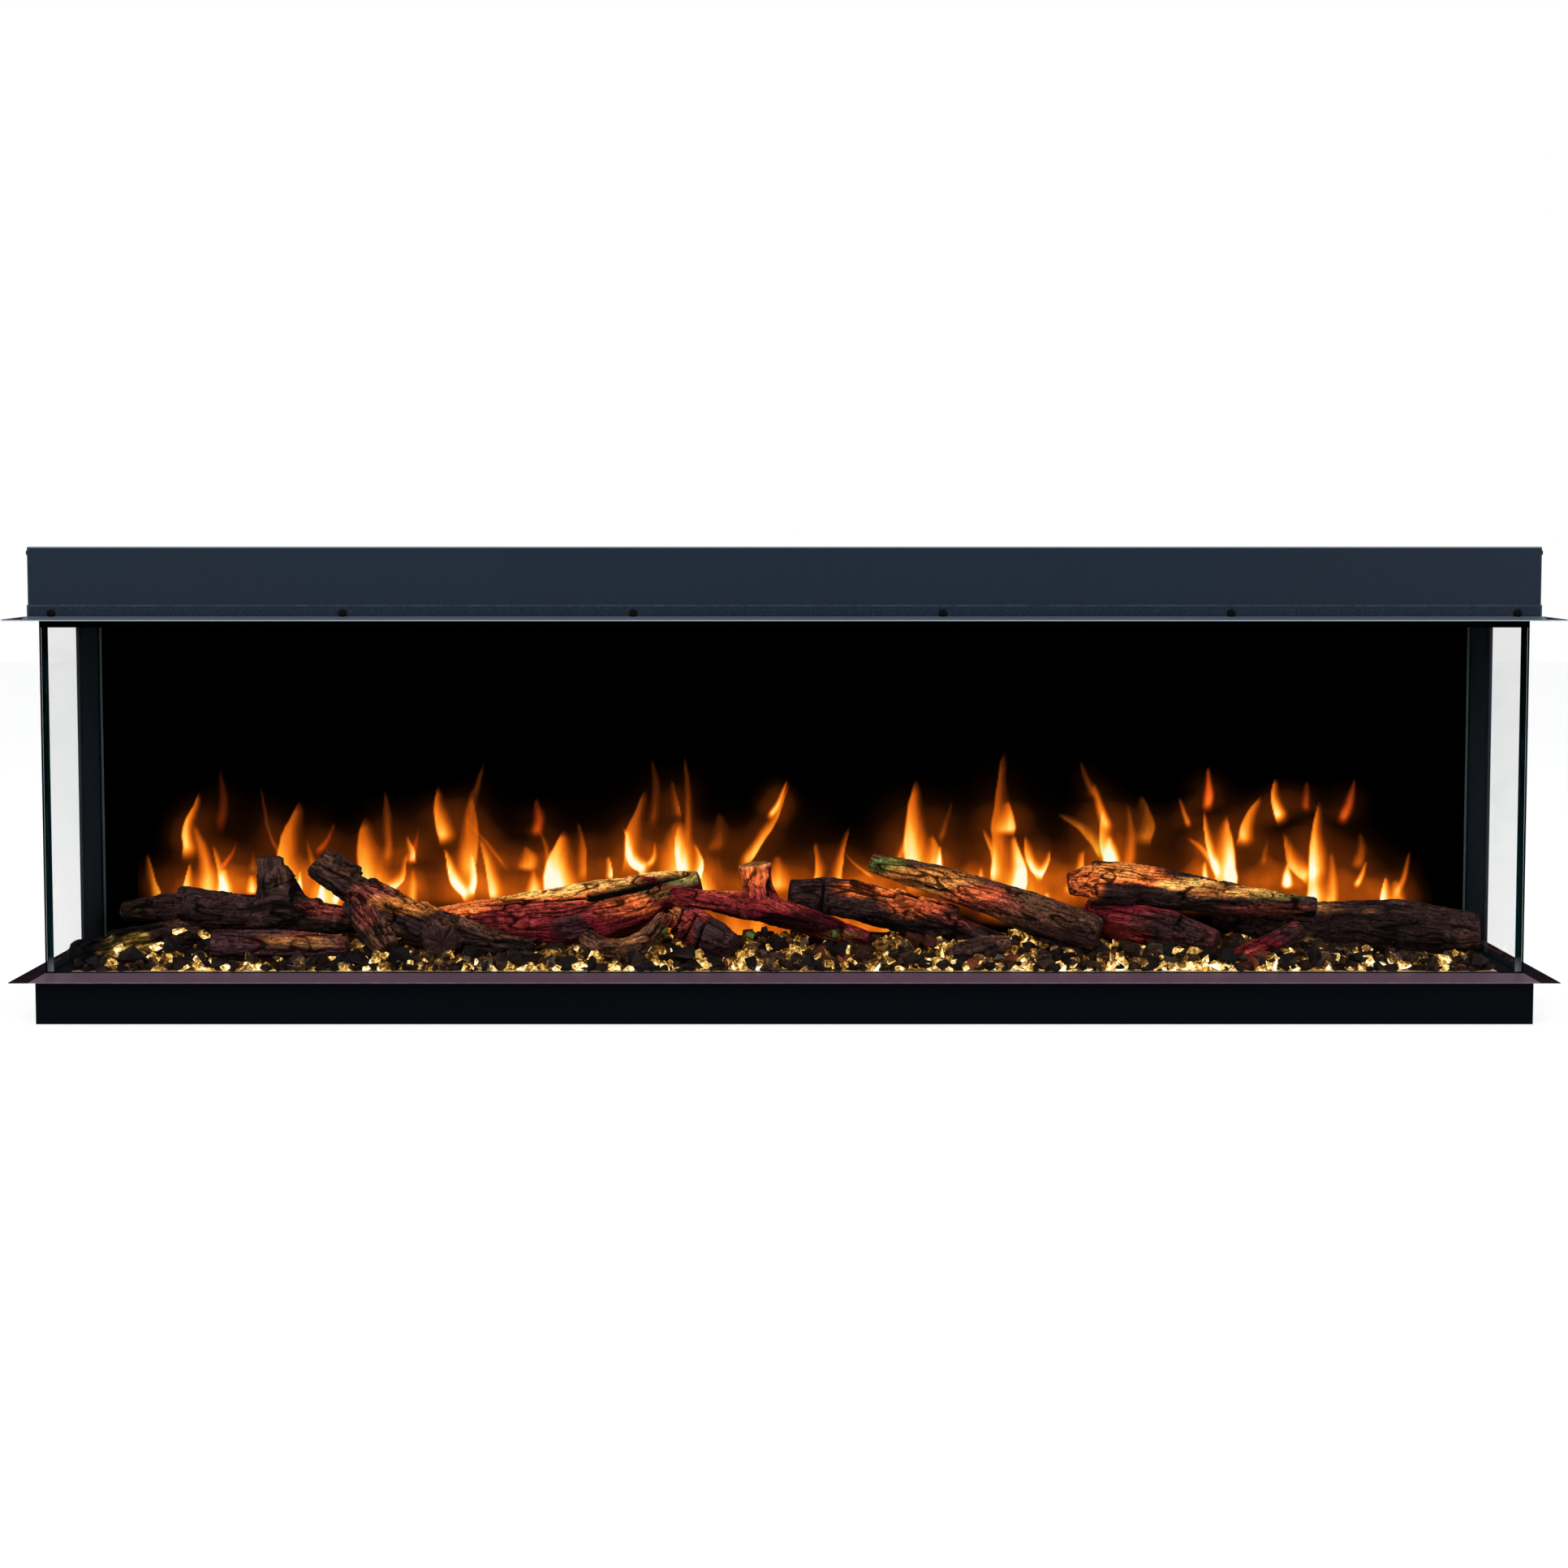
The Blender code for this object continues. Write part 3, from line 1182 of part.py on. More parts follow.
def blower_housing():
    """Scroll and front guide between two end plates, standing on the ceiling pan."""
    foot, top = DECK_SEAT, DECK_SEAT + DUCT_HEIGHT
    plate = [(DUCT_FRONT - SHEET, foot), (DUCT_BACK, foot), (DUCT_BACK, top), (DUCT_FRONT - SHEET, top)]
    plate = [(deep(depth), z) for depth, z in plate]
    left = prism("blower_housing", plate, "X", (-DUCT_HALF - DUCT_PLATE, -DUCT_HALF), "galvanised")
    right = prism("duct_right_plate", plate, "X", (DUCT_HALF, DUCT_HALF + DUCT_PLATE))
    scroll = [(DUCT_REAR, foot + SHEET), (DUCT_REAR, foot + BLOWER_LIFT * THROAT_SHARE)]
    for step in range(SCROLL_STEPS + 1):
        turn = SCROLL_START + SCROLL_TURN * step / SCROLL_STEPS
        reach = DUCT_SCROLL * (1 + SCROLL_GROWTH_SHARE * step / SCROLL_STEPS)
        scroll.append((BLOWER_SETBACK + reach * math.cos(turn), BLOWER_HEIGHT + reach * math.sin(turn)))
    tongue_foot = BLOWER_HEIGHT + BLOWER_RADIUS * TONGUE_SHARE
    tongue = [(DUCT_FRONT, foot + SHEET), (DUCT_FRONT, tongue_foot - SHEET)]
    tongue += [(BLOWER_SETBACK - DUCT_SCROLL, tongue_foot + BLOWER_RADIUS * TONGUE_SHARE)]
    run = (-DUCT_HALF - DUCT_PLATE / 2, DUCT_HALF + DUCT_PLATE / 2)
    fuse(left, right)
    for name, path in (("duct_scroll", scroll), ("duct_tongue", tongue)):
        outline = [(deep(depth), z) for depth, z in ribbon(path, SHEET)]
        fuse(left, prism(name, outline, "X", run))
    radius = BLOWER_SHAFT + 2 * GAP
    reach = DUCT_HALF + DUCT_PLATE + OVERRUN
    bore = [(-reach, 0), (-reach, radius), (reach, radius), (reach, 0)]
    cut(left, turned("duct_bore", bore, 12, "X", (0, deep(BLOWER_SETBACK), BLOWER_HEIGHT)))


def blower_motor():
    """Motor on its foot, at the right-hand end of the wheel."""
    start = BLOWER_LENGTH / 2 + BLOWER_SHAFT_REACH + GAP
    radius, length = BLOWER_MOTOR_RADIUS, BLOWER_MOTOR_LENGTH
    body = motor_profile(radius, length)
    place = (start, deep(BLOWER_SETBACK), BLOWER_HEIGHT)
    motor = turned("blower_motor", body, 20, "X", place, "motor_shell")
    y = (-BLOWER_MOTOR_FOOT / 2, BLOWER_MOTOR_FOOT / 2)
    x = tuple(share * length for share in MOTOR_FOOT_SHARES)
    fuse(motor, block("motor_foot", x, y, (DECK_SEAT - BLOWER_HEIGHT, -radius / 2), place=place))


def heater_element():
    """Finned bar in the outlet duct under the wheel."""
    half = DUCT_HALF - GAP
    foot = DECK_SEAT + HEATER_LIFT
    top = foot + HEATER_BAR
    pitch = 2 * half / HEATER_FINS
    points = [(-half, foot), (-half, top)]
    for k in range(HEATER_FINS):
        x = -half + (k + 0.5) * pitch
        points += [(x - pitch / 8, top), (x - pitch / 8, top + HEATER_FIN_HEIGHT)]
        points += [(x + pitch / 8, top + HEATER_FIN_HEIGHT), (x + pitch / 8, top)]
    points += [(half, top), (half, foot)]
    y = (deep(DUCT_FRONT + HEATER_CLEARANCE), deep(DUCT_REAR - HEATER_CLEARANCE))
    prism("heater_element", points, "Y", y, "galvanised")


def control_board():
    """Circuit board on four standoffs, with its larger parts."""
    x0, y0 = CONTROL_INSET - HALF - CONTROL_WIDTH / 2, deep(CONTROL_SETBACK)
    foot = DECK_SEAT + CONTROL_STANDOFF
    top = foot + BOARD_THICKNESS
    x, y = (x0, x0 + CONTROL_WIDTH), (y0, y0 + CONTROL_DEPTH)
    board = block("control_board", x, y, (foot, top), "circuit_green")
    middle = (foot + top) / 2
    side = CONTROL_STANDOFF_SIDE
    for k, (i, j) in enumerate(((0, 0), (1, 0), (0, 1), (1, 1))):
        x = x0 + side / 2 + i * (CONTROL_WIDTH - 2 * side)
        y = y0 + side / 2 + j * (CONTROL_DEPTH - 2 * side)
        fuse(board, block(f"standoff_{k}", (x, x + side), (y, y + side), (DECK_SEAT, middle)))
    for k, (u, v, wide, deep_share, tall) in enumerate(CONTROL_PARTS_SHARES):
        x, y = x0 + u * CONTROL_WIDTH, y0 + v * CONTROL_DEPTH
        size = (wide * CONTROL_WIDTH, deep_share * CONTROL_DEPTH, tall * CONTROL_PART_HEIGHT)
        fuse(board, block(f"board_part_{k}", (x, x + size[0]), (y, y + size[1]), (middle, top + size[2])))


def rear_switch():
    """Rocker switch in the back panel, resting in its off place."""
    place = (SWITCH_OFFSET, deep(BODY_DEPTH), FITTING_HEIGHT)
    wide, tall = SWITCH_HALF_WIDTH, SWITCH_HALF_HEIGHT
    face = GAP + SWITCH_BEZEL_THICKNESS
    x, z = wide + SWITCH_BEZEL, tall + SWITCH_BEZEL
    body = block("switch_body", (-x, x), (GAP, face), (-z, z), "black_plastic", place)
    y = (-SWITCH_BODY_DEPTH, (GAP + face) / 2)
    fuse(body, block("switch_core", (-wide, wide), y, (-tall, tall), place=place))
    half = ROCKER_HALF_WIDTH + ROCKER_SIDE_CLEARANCE
    high = ROCKER_HALF_HEIGHT + GAP
    y = (face - ROCKER_WELL, face + OVERRUN)
    cut(body, block("rocker_well", (-half, half), y, (-high, high), place=place))
    pivot = (place[0], place[1] + face - ROCKER_PIVOT_DEPTH, place[2])
    hole = ROCKER_PIN + GAP
    reach = ROCKER_HALF_HEIGHT + ROCKER_PIN_REACH + GAP
    bore = [(-reach, 0), (-reach, hole), (reach, hole), (reach, 0)]
    cut(body, turned("rocker_pin_holes", bore, 12, "Z", pivot))
    wing = ROCKER_HALF_WIDTH
    outline = [(-wing, -ROCKER_SHOULDER), (0, -ROCKER_KEEL), (wing, -ROCKER_SHOULDER)]
    outline += [(wing, ROCKER_CROWN), (0, ROCKER_DIP), (-wing, ROCKER_CROWN)]
    tilt = Matrix.Rotation(ROCKER_TILT, 2)
    outline = [tuple(tilt @ Vector(point)) for point in outline]
    tall = (-ROCKER_HALF_HEIGHT, ROCKER_HALF_HEIGHT)
    rocker = prism("switch_rocker", outline, "Z", tall, "black_plastic", pivot)
    pin = [(-reach + GAP, 0), (-reach + GAP, ROCKER_PIN), (reach - GAP, ROCKER_PIN), (reach - GAP, 0)]
    fuse(rocker, turned("rocker_pin", pin, 12, "Z", pivot))


def cord_gland():
    """Gland for the mains cord: dome nut outside, lock nut inside, clear bore right through."""
    seat = BODY_DEPTH + GAP
    inner = BACK_FACE - GAP
    profile = [
        (BODY_DEPTH + GLAND_PROUD, GLAND_BORE),
        (BODY_DEPTH + GLAND_PROUD, GLAND_DOME),
        (seat + GLAND_NUT_THICKNESS, GLAND_NUT * GLAND_SHOULDER_SHARE),
        (seat + GLAND_NUT_THICKNESS, GLAND_NUT),
        (seat, GLAND_NUT),
        (seat, GLAND_BODY),
        (inner, GLAND_BODY),
        (inner, GLAND_NUT),
        (inner - GLAND_NUT_THICKNESS, GLAND_NUT),
        (inner - GLAND_NUT_THICKNESS, GLAND_BODY),
        (BODY_DEPTH - GLAND_INSIDE, GLAND_BODY),
        (BODY_DEPTH - GLAND_INSIDE, GLAND_BORE),
    ]
    turned("cord_gland", profile, 12, "Y", (GLAND_OFFSET, FACE_Y, FITTING_HEIGHT), "black_plastic")


def main():
    """Builds every piece, the logs last."""
    base_pan()
    lower_flanges()
    upper_flanges()
    head_box()
    walls()
    panes()
    screen_rail()
    ember_tray()
    bed = ember_bed()
    front_screws()
    light_board("ember_light_board", EMBER_BOARD_SETBACK, HALF - EMBER_BOARD_INSET, FLOOR_SEAT, 1)
    light_board("flame_light_board", SPINDLE_SETBACK, HALF - FLAME_BOARD_INSET, FLOOR_SEAT, 1)
    light_board("downlight_board", DOWNLIGHT_SETBACK, HALF - DOWNLIGHT_INSET, PANE_HEAD, -1)
    flame_reflector()
    flame_spindle()
    spindle_supports()
    blower_wheel()
    blower_housing()
    blower_motor()
    heater_element()
    control_board()
    rear_switch()
    cord_gland()
    plates = [bpy.data.objects[name] for name in ("lower_left_flange", "lower_right_flange", "ember_tray")]
    logs([triangles(shape) for shape in [bed] + plates])


main()
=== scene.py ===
"""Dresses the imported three-sided electric fireplace: its coats, panes, flames, embers and logs.

Lengths are in metres in the row frame unless a name says otherwise. Places taken off the photograph are in its
own pixels, u to the right and v down, and Viewpoint turns them into places in the room.
"""

import logging
import math
import random
from dataclasses import dataclass, field
from enum import Enum

import bmesh
import bpy
import numpy as np
from mathutils import Matrix, Vector
from mathutils.bvhtree import BVHTree


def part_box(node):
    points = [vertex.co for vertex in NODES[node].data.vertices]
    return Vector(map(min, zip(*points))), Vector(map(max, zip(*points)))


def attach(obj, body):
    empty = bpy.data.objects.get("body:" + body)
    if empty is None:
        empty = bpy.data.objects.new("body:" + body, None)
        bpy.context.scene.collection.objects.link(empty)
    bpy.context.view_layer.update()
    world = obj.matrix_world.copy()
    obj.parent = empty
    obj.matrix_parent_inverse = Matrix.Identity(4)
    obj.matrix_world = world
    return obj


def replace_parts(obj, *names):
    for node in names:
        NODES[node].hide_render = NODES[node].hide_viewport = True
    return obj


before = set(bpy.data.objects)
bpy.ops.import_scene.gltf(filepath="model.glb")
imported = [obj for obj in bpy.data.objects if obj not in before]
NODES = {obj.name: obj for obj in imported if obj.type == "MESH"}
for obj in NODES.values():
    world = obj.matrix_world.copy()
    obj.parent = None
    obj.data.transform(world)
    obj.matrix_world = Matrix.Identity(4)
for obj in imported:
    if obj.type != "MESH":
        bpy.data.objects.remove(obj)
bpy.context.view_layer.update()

LOG = logging.getLogger("fireplace")
MM = 0.001
BODY = "cabinet"
FACE_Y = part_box("top_cover")[0].y
RIM_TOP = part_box("lower_front_flange")[1].z
UP = Vector((0, 0, 1))
SIDES = ((-1, "left"), (1, "right"))

Triple = tuple[float, float, float]
Colour = Triple
Array = np.ndarray
Piece = bpy.types.Object
Mesh = bpy.types.Mesh

# Where a Noise Texture's values lie: most of them, and nearly all of them.
MIDDLE = (0.3, 0.7)
BROAD = (0.2, 0.8)
UNLIT = (0.0, 0.0, 0.0)


class Slot(Enum):
    """The record's material slots."""

    BLUE_GREY = "blue_grey_coat"
    BLACK = "black_coat"
    TRIM = "trim_coat"
    CLEAR = "clear_glass"
    BLACK_GLASS = "black_glass"
    FROSTED = "frosted_plastic"
    EMBERS = "ember_crystals"
    CHARRED = "charred_bark"
    GLOWING = "glowing_bark"
    MOSSY = "mossy_bark"
    GALVANISED = "galvanised_steel"
    MIRROR = "mirror_foil"
    MOTOR = "motor_shell"
    CIRCUIT = "circuit_board"
    LIGHTS = "light_board"
    PLASTIC = "black_plastic"
    SCREW = "black_screw"


class Tint(Enum):
    """Paints of the logs as linear colours; the bright ones are partly painted light from the fire and
    downlights.
    """

    CHAR = (0.039, 0.019, 0.017)
    SOOT = (0.0016, 0.0012, 0.0012)
    BROWN = (0.150, 0.064, 0.035)
    PURPLE = (0.058, 0.022, 0.026)
    ROSE = (0.300, 0.062, 0.040)
    RED = (0.360, 0.045, 0.032)
    CRIMSON = (0.200, 0.014, 0.022)
    CORAL = (0.780, 0.150, 0.030)
    PEACH = (1.000, 0.430, 0.100)
    ORANGE = (0.560, 0.180, 0.036)
    TAWNY = (0.300, 0.120, 0.036)
    OLIVE = (0.190, 0.120, 0.030)
    MOSS = (0.190, 0.170, 0.036)
    GREEN = (0.150, 0.270, 0.075)
    GOLD = (0.720, 0.420, 0.080)


CHAR, SOOT, BROWN, PURPLE, ROSE, RED, CRIMSON, CORAL, PEACH, ORANGE, TAWNY, OLIVE, MOSS, GREEN, GOLD = Tint


# Numbers that vary smoothly


class Grain:
    """Smooth random fields on a lattice, the same on every run."""

    mixers = (374761393, 668265263, 2147483647)
    seed_mixer = 974711
    last_mixer = 1274126177
    word = 0xFFFFFFFF
    half_word = 0xFFFF

    @classmethod
    def _corner(cls, cells: Array, seed: int) -> Array:
        """Mixes a number for each lattice corner.

        Args:
            cells: the corners.
            seed: which field.

        Returns:
            Numbers from 0 to 1.
        """
        mixed = (cells @ np.array(cls.mixers) + seed * cls.seed_mixer) & cls.word
        mixed = ((mixed ^ (mixed >> 13)) * cls.last_mixer) & cls.word
        return ((mixed ^ (mixed >> 16)) & cls.half_word) / cls.half_word

    @classmethod
    def field(cls, points: Array, seed: int) -> Array:
        """Values from -1 to 1 at the points, one cell to a unit.

        Args:
            points: an array of (n, 3) places, already divided by the cell's size.
            seed: which field.

        Returns:
            One value for each point.
        """
        floor = np.floor(points)
        cells = floor.astype(np.int64)
        part = points - floor
        part = part * part * (3 - 2 * part)
        total = np.zeros(len(points))
        for corner in range(8):
            step = np.array([corner & 1, (corner >> 1) & 1, corner >> 2])
            weight = np.prod(np.where(step, part, 1 - part), axis=1)
            total += weight * cls._corner(cells + step, seed)
        return total * 2 - 1

    @classmethod
    def layers(cls, points: Array, seed: int, count: int) -> Array:
        """Several fields of halving size and strength, summed."""
        return sum(cls.field(points * 2**k, seed + k) / 2**k for k in range(count)) / 1.6


def ease(low: float, high: float, values: Array) -> Array:
    """A smooth step from 0 at low to 1 at high, and the other way round where high is below low."""
    share = np.clip((values - low) / (high - low), 0, 1)
    return share * share * (3 - 2 * share)


def stand(name: str, data: bpy.types.ID) -> Piece:
    """Puts a new object into the scene.

    Args:
        name: its name.
        data: its mesh, lamp or camera.

    Returns:
        The object.
    """
    made = bpy.data.objects.new(name, data)
    bpy.context.scene.collection.objects.link(made)
    return made


# The photograph's camera


@dataclass(frozen=True)
class Viewpoint:
    """Where the photograph was taken from, found from the object's own edges."""

    distance: float = 2.695
    height: float = 0.5736
    pitch: float = 0.0568
    focal: float = 2745.0
    centre_u: float = 966.5
    centre_v: float = 839.1
    image: float = 1932.0
    sensor: float = 36.0
    clip: tuple[float, float] = (0.05, 60.0)

    def at(self, u: float, v: float, depth: float) -> Vector:
        """The place that a pixel shows.

        Args:
            u: the pixel's column.
            v: the pixel's row.
            depth: how far the place lies behind the body's front face.

        Returns:
            The place.
        """
        across, up = (u - self.centre_u) / self.focal, (self.centre_v - v) / self.focal
        cosine, sine = math.cos(self.pitch), math.sin(self.pitch)
        reach = (self.distance + depth) / (cosine + up * sine)
        return Vector((across * reach, FACE_Y + depth, self.height + reach * (up * cosine - sine)))

    def seen(self, points: Array) -> Array:
        """The pixels at which points in the room are seen.

        Args:
            points: an array of (n, 3) places.

        Returns:
            An array of (n, 2) pixels.
        """
        cosine, sine = math.cos(self.pitch), math.sin(self.pitch)
        back = points[:, 1] - FACE_Y + self.distance
        up = points[:, 2] - self.height
        reach = back * cosine - up * sine
        u = self.centre_u + self.focal * points[:, 0] / reach
        v = self.centre_v - self.focal * (up * cosine + back * sine) / reach
        return np.stack([u, v], axis=1)

    def place_camera(self) -> None:
        """Makes the scene's camera."""
        data = bpy.data.cameras.new("photo_camera")
        data.sensor_width = self.sensor
        data.lens = self.focal / self.image * self.sensor
        data.shift_x = (self.image / 2 - self.centre_u) / self.image
        data.shift_y = (self.centre_v - self.image / 2) / self.image
        data.clip_start, data.clip_end = self.clip
        camera = stand("photo_camera", data)
        camera.location = (0, FACE_Y - self.distance, self.height)
        camera.rotation_euler = (math.pi / 2 - self.pitch, 0, 0)
        bpy.context.scene.camera = camera


VIEW = Viewpoint()


# Node wiring


class Wiring:
    """Places and links the nodes of one tree, and gives the sockets that they put out."""

    def __init__(self, tree: bpy.types.NodeTree) -> None:
        """Keeps the tree to place nodes in."""
        self.tree = tree

    @classmethod
    def fresh(cls, owner: bpy.types.ID) -> "Wiring":
        """Empties the tree of a material or a world.

        Args:
            owner: the material or the world.

        Returns:
            Its wiring.
        """
        owner.use_nodes = True
        owner.node_tree.nodes.clear()
        return cls(owner.node_tree)

    def put(self, kind: str, inputs: dict | None = None, **settings: object) -> bpy.types.Node:
        """Places a node.

        Args:
            kind: the node's type, without the ShaderNode before it.
            inputs: values or sockets by the input's name or number.
            settings: the node's own properties.

        Returns:
            The node.
        """
        node = self.tree.nodes.new("ShaderNode" + kind)
        for name, value in settings.items():
            setattr(node, name, value)
        for name, value in (inputs or {}).items():
            self.feed(node.inputs[name], value)
        return node

    def feed(self, socket: bpy.types.NodeSocket, value: object) -> None:
        """Links a socket to an input, or sets the input to a value.

        Args:
            socket: the input.
            value: a socket, a number or a colour.
        """
        if isinstance(value, bpy.types.NodeSocket):
            self.tree.links.new(value, socket)
        elif isinstance(value, tuple) and socket.type == "RGBA":
            socket.default_value = (*value[:3], 1.0)
        else:
            socket.default_value = value

    def calc(self, operation: str, first: object, second: object = 0.0, clamp: bool = False) -> object:
        """A Math node."""
        return self.put("Math", {0: first, 1: second}, operation=operation, use_clamp=clamp).outputs[0]

    def times(self, first: object, second: object) -> object:
        """A product."""
        return self.calc("MULTIPLY", first, second)

    def blend(self, share: object, first: object, second: object, how: str = "MIX") -> object:
        """A colour Mix node."""
        return self.put("Mix", {0: share, 6: first, 7: second}, data_type="RGBA", blend_type=how).outputs[2]

    def noise(self, place: object, scale: object, detail: float = 3.0, warp: float = 0.0) -> object:
        """A Noise Texture's value."""
        inputs = {"Vector": place, "Scale": scale, "Detail": detail, "Distortion": warp}
        return self.put("TexNoise", inputs).outputs[0]

    def cells(self, scale: object, channel: int) -> object:
        """A random value for each cell of a Voronoi Texture."""
        colour = self.put(
            "TexVoronoi", {"Vector": self.place(), "Scale": scale}, feature="F1").outputs["Color"]
        return self.channel(colour, channel)

    def span(self, value: object, low: float, high: float, start: float = 0.0, end: float = 1.0) -> object:
        """A clamped Map Range node."""
        return self.put("MapRange", {0: value, 1: low, 2: high, 3: start, 4: end}).outputs[0]

    def ramp(self, value: object, stops: tuple) -> object:
        """A Color Ramp.

        Args:
            value: where on the ramp.
            stops: its places and colours.

        Returns:
            The colour's socket.
        """
        node = self.put("ValToRGB", {0: value})
        band = node.color_ramp.elements
        while len(band) < len(stops):
            band.new(1.0)
        for element, (place, colour) in zip(band, stops):
            element.position = place
            element.color = (*colour, 1.0)
        return node.outputs[0]

    def stretch(self, place: object, by: Triple) -> object:
        """A place, stretched."""
        return self.put("Mapping", {0: place, 3: by}).outputs[0]

    def place(self, by: Triple = (1, 1, 1)) -> object:
        """The object's own coordinates, stretched."""
        return self.stretch(self.put("TexCoord").outputs["Object"], by)

    def axis(self, vector: object, number: int) -> object:
        """One coordinate of a vector."""
        return self.put("SeparateXYZ", {0: vector}).outputs[number]

    def channel(self, colour: object, number: int) -> object:
        """One channel of a colour."""
        return self.put("SeparateColor", {0: colour}).outputs[number]

    def facing(self) -> object:
        """The surface's normal."""
        return self.put("NewGeometry").outputs["Normal"]

    def attribute(self, name: str, output: str) -> object:
        """A mesh attribute."""
        return self.put("Attribute", attribute_name=name).outputs[output]

    def bump(self, height: object, depth: float, strength: float = 1.0) -> object:
        """A Bump node's normal."""
        return self.put("Bump", {"Strength": strength, "Distance": depth, "Height": height}).outputs[0]

    def effect(self, effect: "Effect", **inputs: object) -> bpy.types.bpy_prop_collection:
        """Places one of the shared groups.

        Args:
            effect: which group.
            inputs: its own values by name.

        Returns:
            The group's results by name.
        """
        node = self.put("Group")
        node.node_tree = EFFECTS[effect]
        for name, value in inputs.items():
            self.feed(node.inputs[name], value)
        return node.outputs

    def mask(self, effect: "Effect", **inputs: object) -> object:
        """A shared group's mask."""
        return self.effect(effect, **inputs)["Mask"]


class Effect(Enum):
    """The shared node groups: the name of each, the values that it takes, and its results."""

    COAT_GRAIN = ("coat_grain", ("Scale",), ("Height", "Speckle", "Cloud"))
    EDGE_WEAR = ("edge_wear", ("Radius", "Amount"), ("Mask",))
    DUST = ("dust", ("Amount",), ("Mask",))
    STREAKS = ("streaks", ("Scale",), ("Height", "Streak", "Spangle"))
    BARK = ("bark", ("Fineness",), ("Height", "Crack", "Blotch"))
    MOTTLE = ("mottle", ("Scale",), ("Value", "Height"))
    SMEAR = ("smear", ("Amount",), ("Mask",))


class EffectGroup(Wiring):
    """The wiring of one shared group: the method of its name gives its results in order."""

    def __init__(self, effect: Effect) -> None:
        """Makes the group.

        Args:
            effect: which one.
        """
        name, values, results = effect.value
        super().__init__(bpy.data.node_groups.new(name, "ShaderNodeTree"))
        for way, labels in (("INPUT", values), ("OUTPUT", results)):
            for label in labels:
                self.tree.interface.new_socket(label, in_out=way, socket_type="NodeSocketFloat")
        self.given = self.tree.nodes.new("NodeGroupInput").outputs
        leave = self.tree.nodes.new("NodeGroupOutput").inputs
        for label, value in zip(results, getattr(self, name)()):
            self.feed(leave[label], value)

    def coat_grain(self) -> tuple:
        """The fine orange peel of a powder coat or of moulded plastic.

        Returns:
            Height, Speckle and Cloud.
        """
        place = self.place()
        peel = self.noise(place, self.given["Scale"], 2.0)
        fleck = self.noise(place, self.times(self.given["Scale"], 2.7), 1.0)
        height = self.calc("ADD", self.times(peel, 0.7), self.times(fleck, 0.3))
        return height, self.span(fleck, 0.56, 0.74), self.noise(place, 4.0, 2.0)

    def edge_wear(self) -> tuple:
        """Edges, broken up by noise: rubbed edges, and edges painted lighter as a highlight.

        Returns:
            Mask.
        """
        rounded = self.put("Bevel", {"Radius": self.given["Radius"]}, samples=3).outputs[0]
        turned = self.put("VectorMath", {0: rounded, 1: self.facing()}, operation="DOT_PRODUCT")
        edge = self.span(turned.outputs["Value"], 0.995, 0.86)
        rubbed_and_lit = self.span(self.noise(self.place(), 70.0, 3.0), 0.35, 0.62, 0.35, 1.0)
        return (self.times(self.times(edge, rubbed_and_lit), self.given["Amount"]),)

    def dust(self) -> tuple:
        """Thin dust on what faces up.

        Returns:
            Mask.
        """
        patch = self.span(self.noise(self.place(), 35.0, 4.0), 0.35, 0.7)
        lying = self.span(self.axis(self.facing(), 2), 0.35, 0.95)
        return (self.times(self.times(patch, lying), self.given["Amount"]),)

    def streaks(self) -> tuple:
        """The rolling direction and the spangle of bare sheet metal.

        Returns:
            Height, Streak and Spangle.
        """
        scale = self.given["Scale"]
        fine = self.noise(self.place((0.06, 1.0, 1.0)), self.times(scale, 12.0), 2.0)
        return fine, self.span(fine, *MIDDLE), self.cells(self.times(scale, 2.0), 0)

    def bark(self) -> tuple:
        """Fibres and cracks that run along a log, from the place stored in its mesh.

        Returns:
            Height, Crack and Blotch.
        """
        scaled = {0: self.attribute("bark_place", "Vector"), "Scale": self.given["Fineness"]}
        place = self.put("VectorMath", scaled, operation="SCALE").outputs[0]
        fibre = self.noise(self.stretch(place, (1.0, 1.0, 0.13)), 1.9, 4.0, 0.5)
        grit = self.noise(place, 5.5, 3.0)
        crackle = self.noise(self.stretch(place, (1.0, 1.0, 0.16)), 1.0, 5.0, 0.9)
        crack = self.span(self.calc("ABSOLUTE", self.calc("SUBTRACT", crackle, 0.5)), 0.035, 0.0)
        rough = self.calc("ADD", self.times(fibre, 0.7), self.times(grit, 0.3))
        height = self.calc("SUBTRACT", rough, self.times(crack, 0.8))
        return height, crack, self.span(self.noise(place, 0.9, 4.0), *MIDDLE)

    def mottle(self) -> tuple:
        """The broken light inside crushed glass.

        Returns:
            Value and Height.
        """
        shard = self.cells(self.given["Scale"], 1)
        cloud = self.noise(self.place(), self.times(self.given["Scale"], 0.8), 3.0, 1.5)
        value = self.calc("ADD", self.times(shard, 0.5), self.times(cloud, 0.8))
        return self.calc("SUBTRACT", value, 0.65), cloud

    def smear(self) -> tuple:
        """Faint wiping marks on glass.

        Returns:
            Mask.
        """
        arc = self.noise(self.place((2.0, 2.0, 7.0)), 3.0, 4.0, 1.0)
        return (self.times(self.span(arc, 0.5, 0.85), self.given["Amount"]),)


EFFECTS = {effect: EffectGroup(effect).tree for effect in Effect}


# Finishes


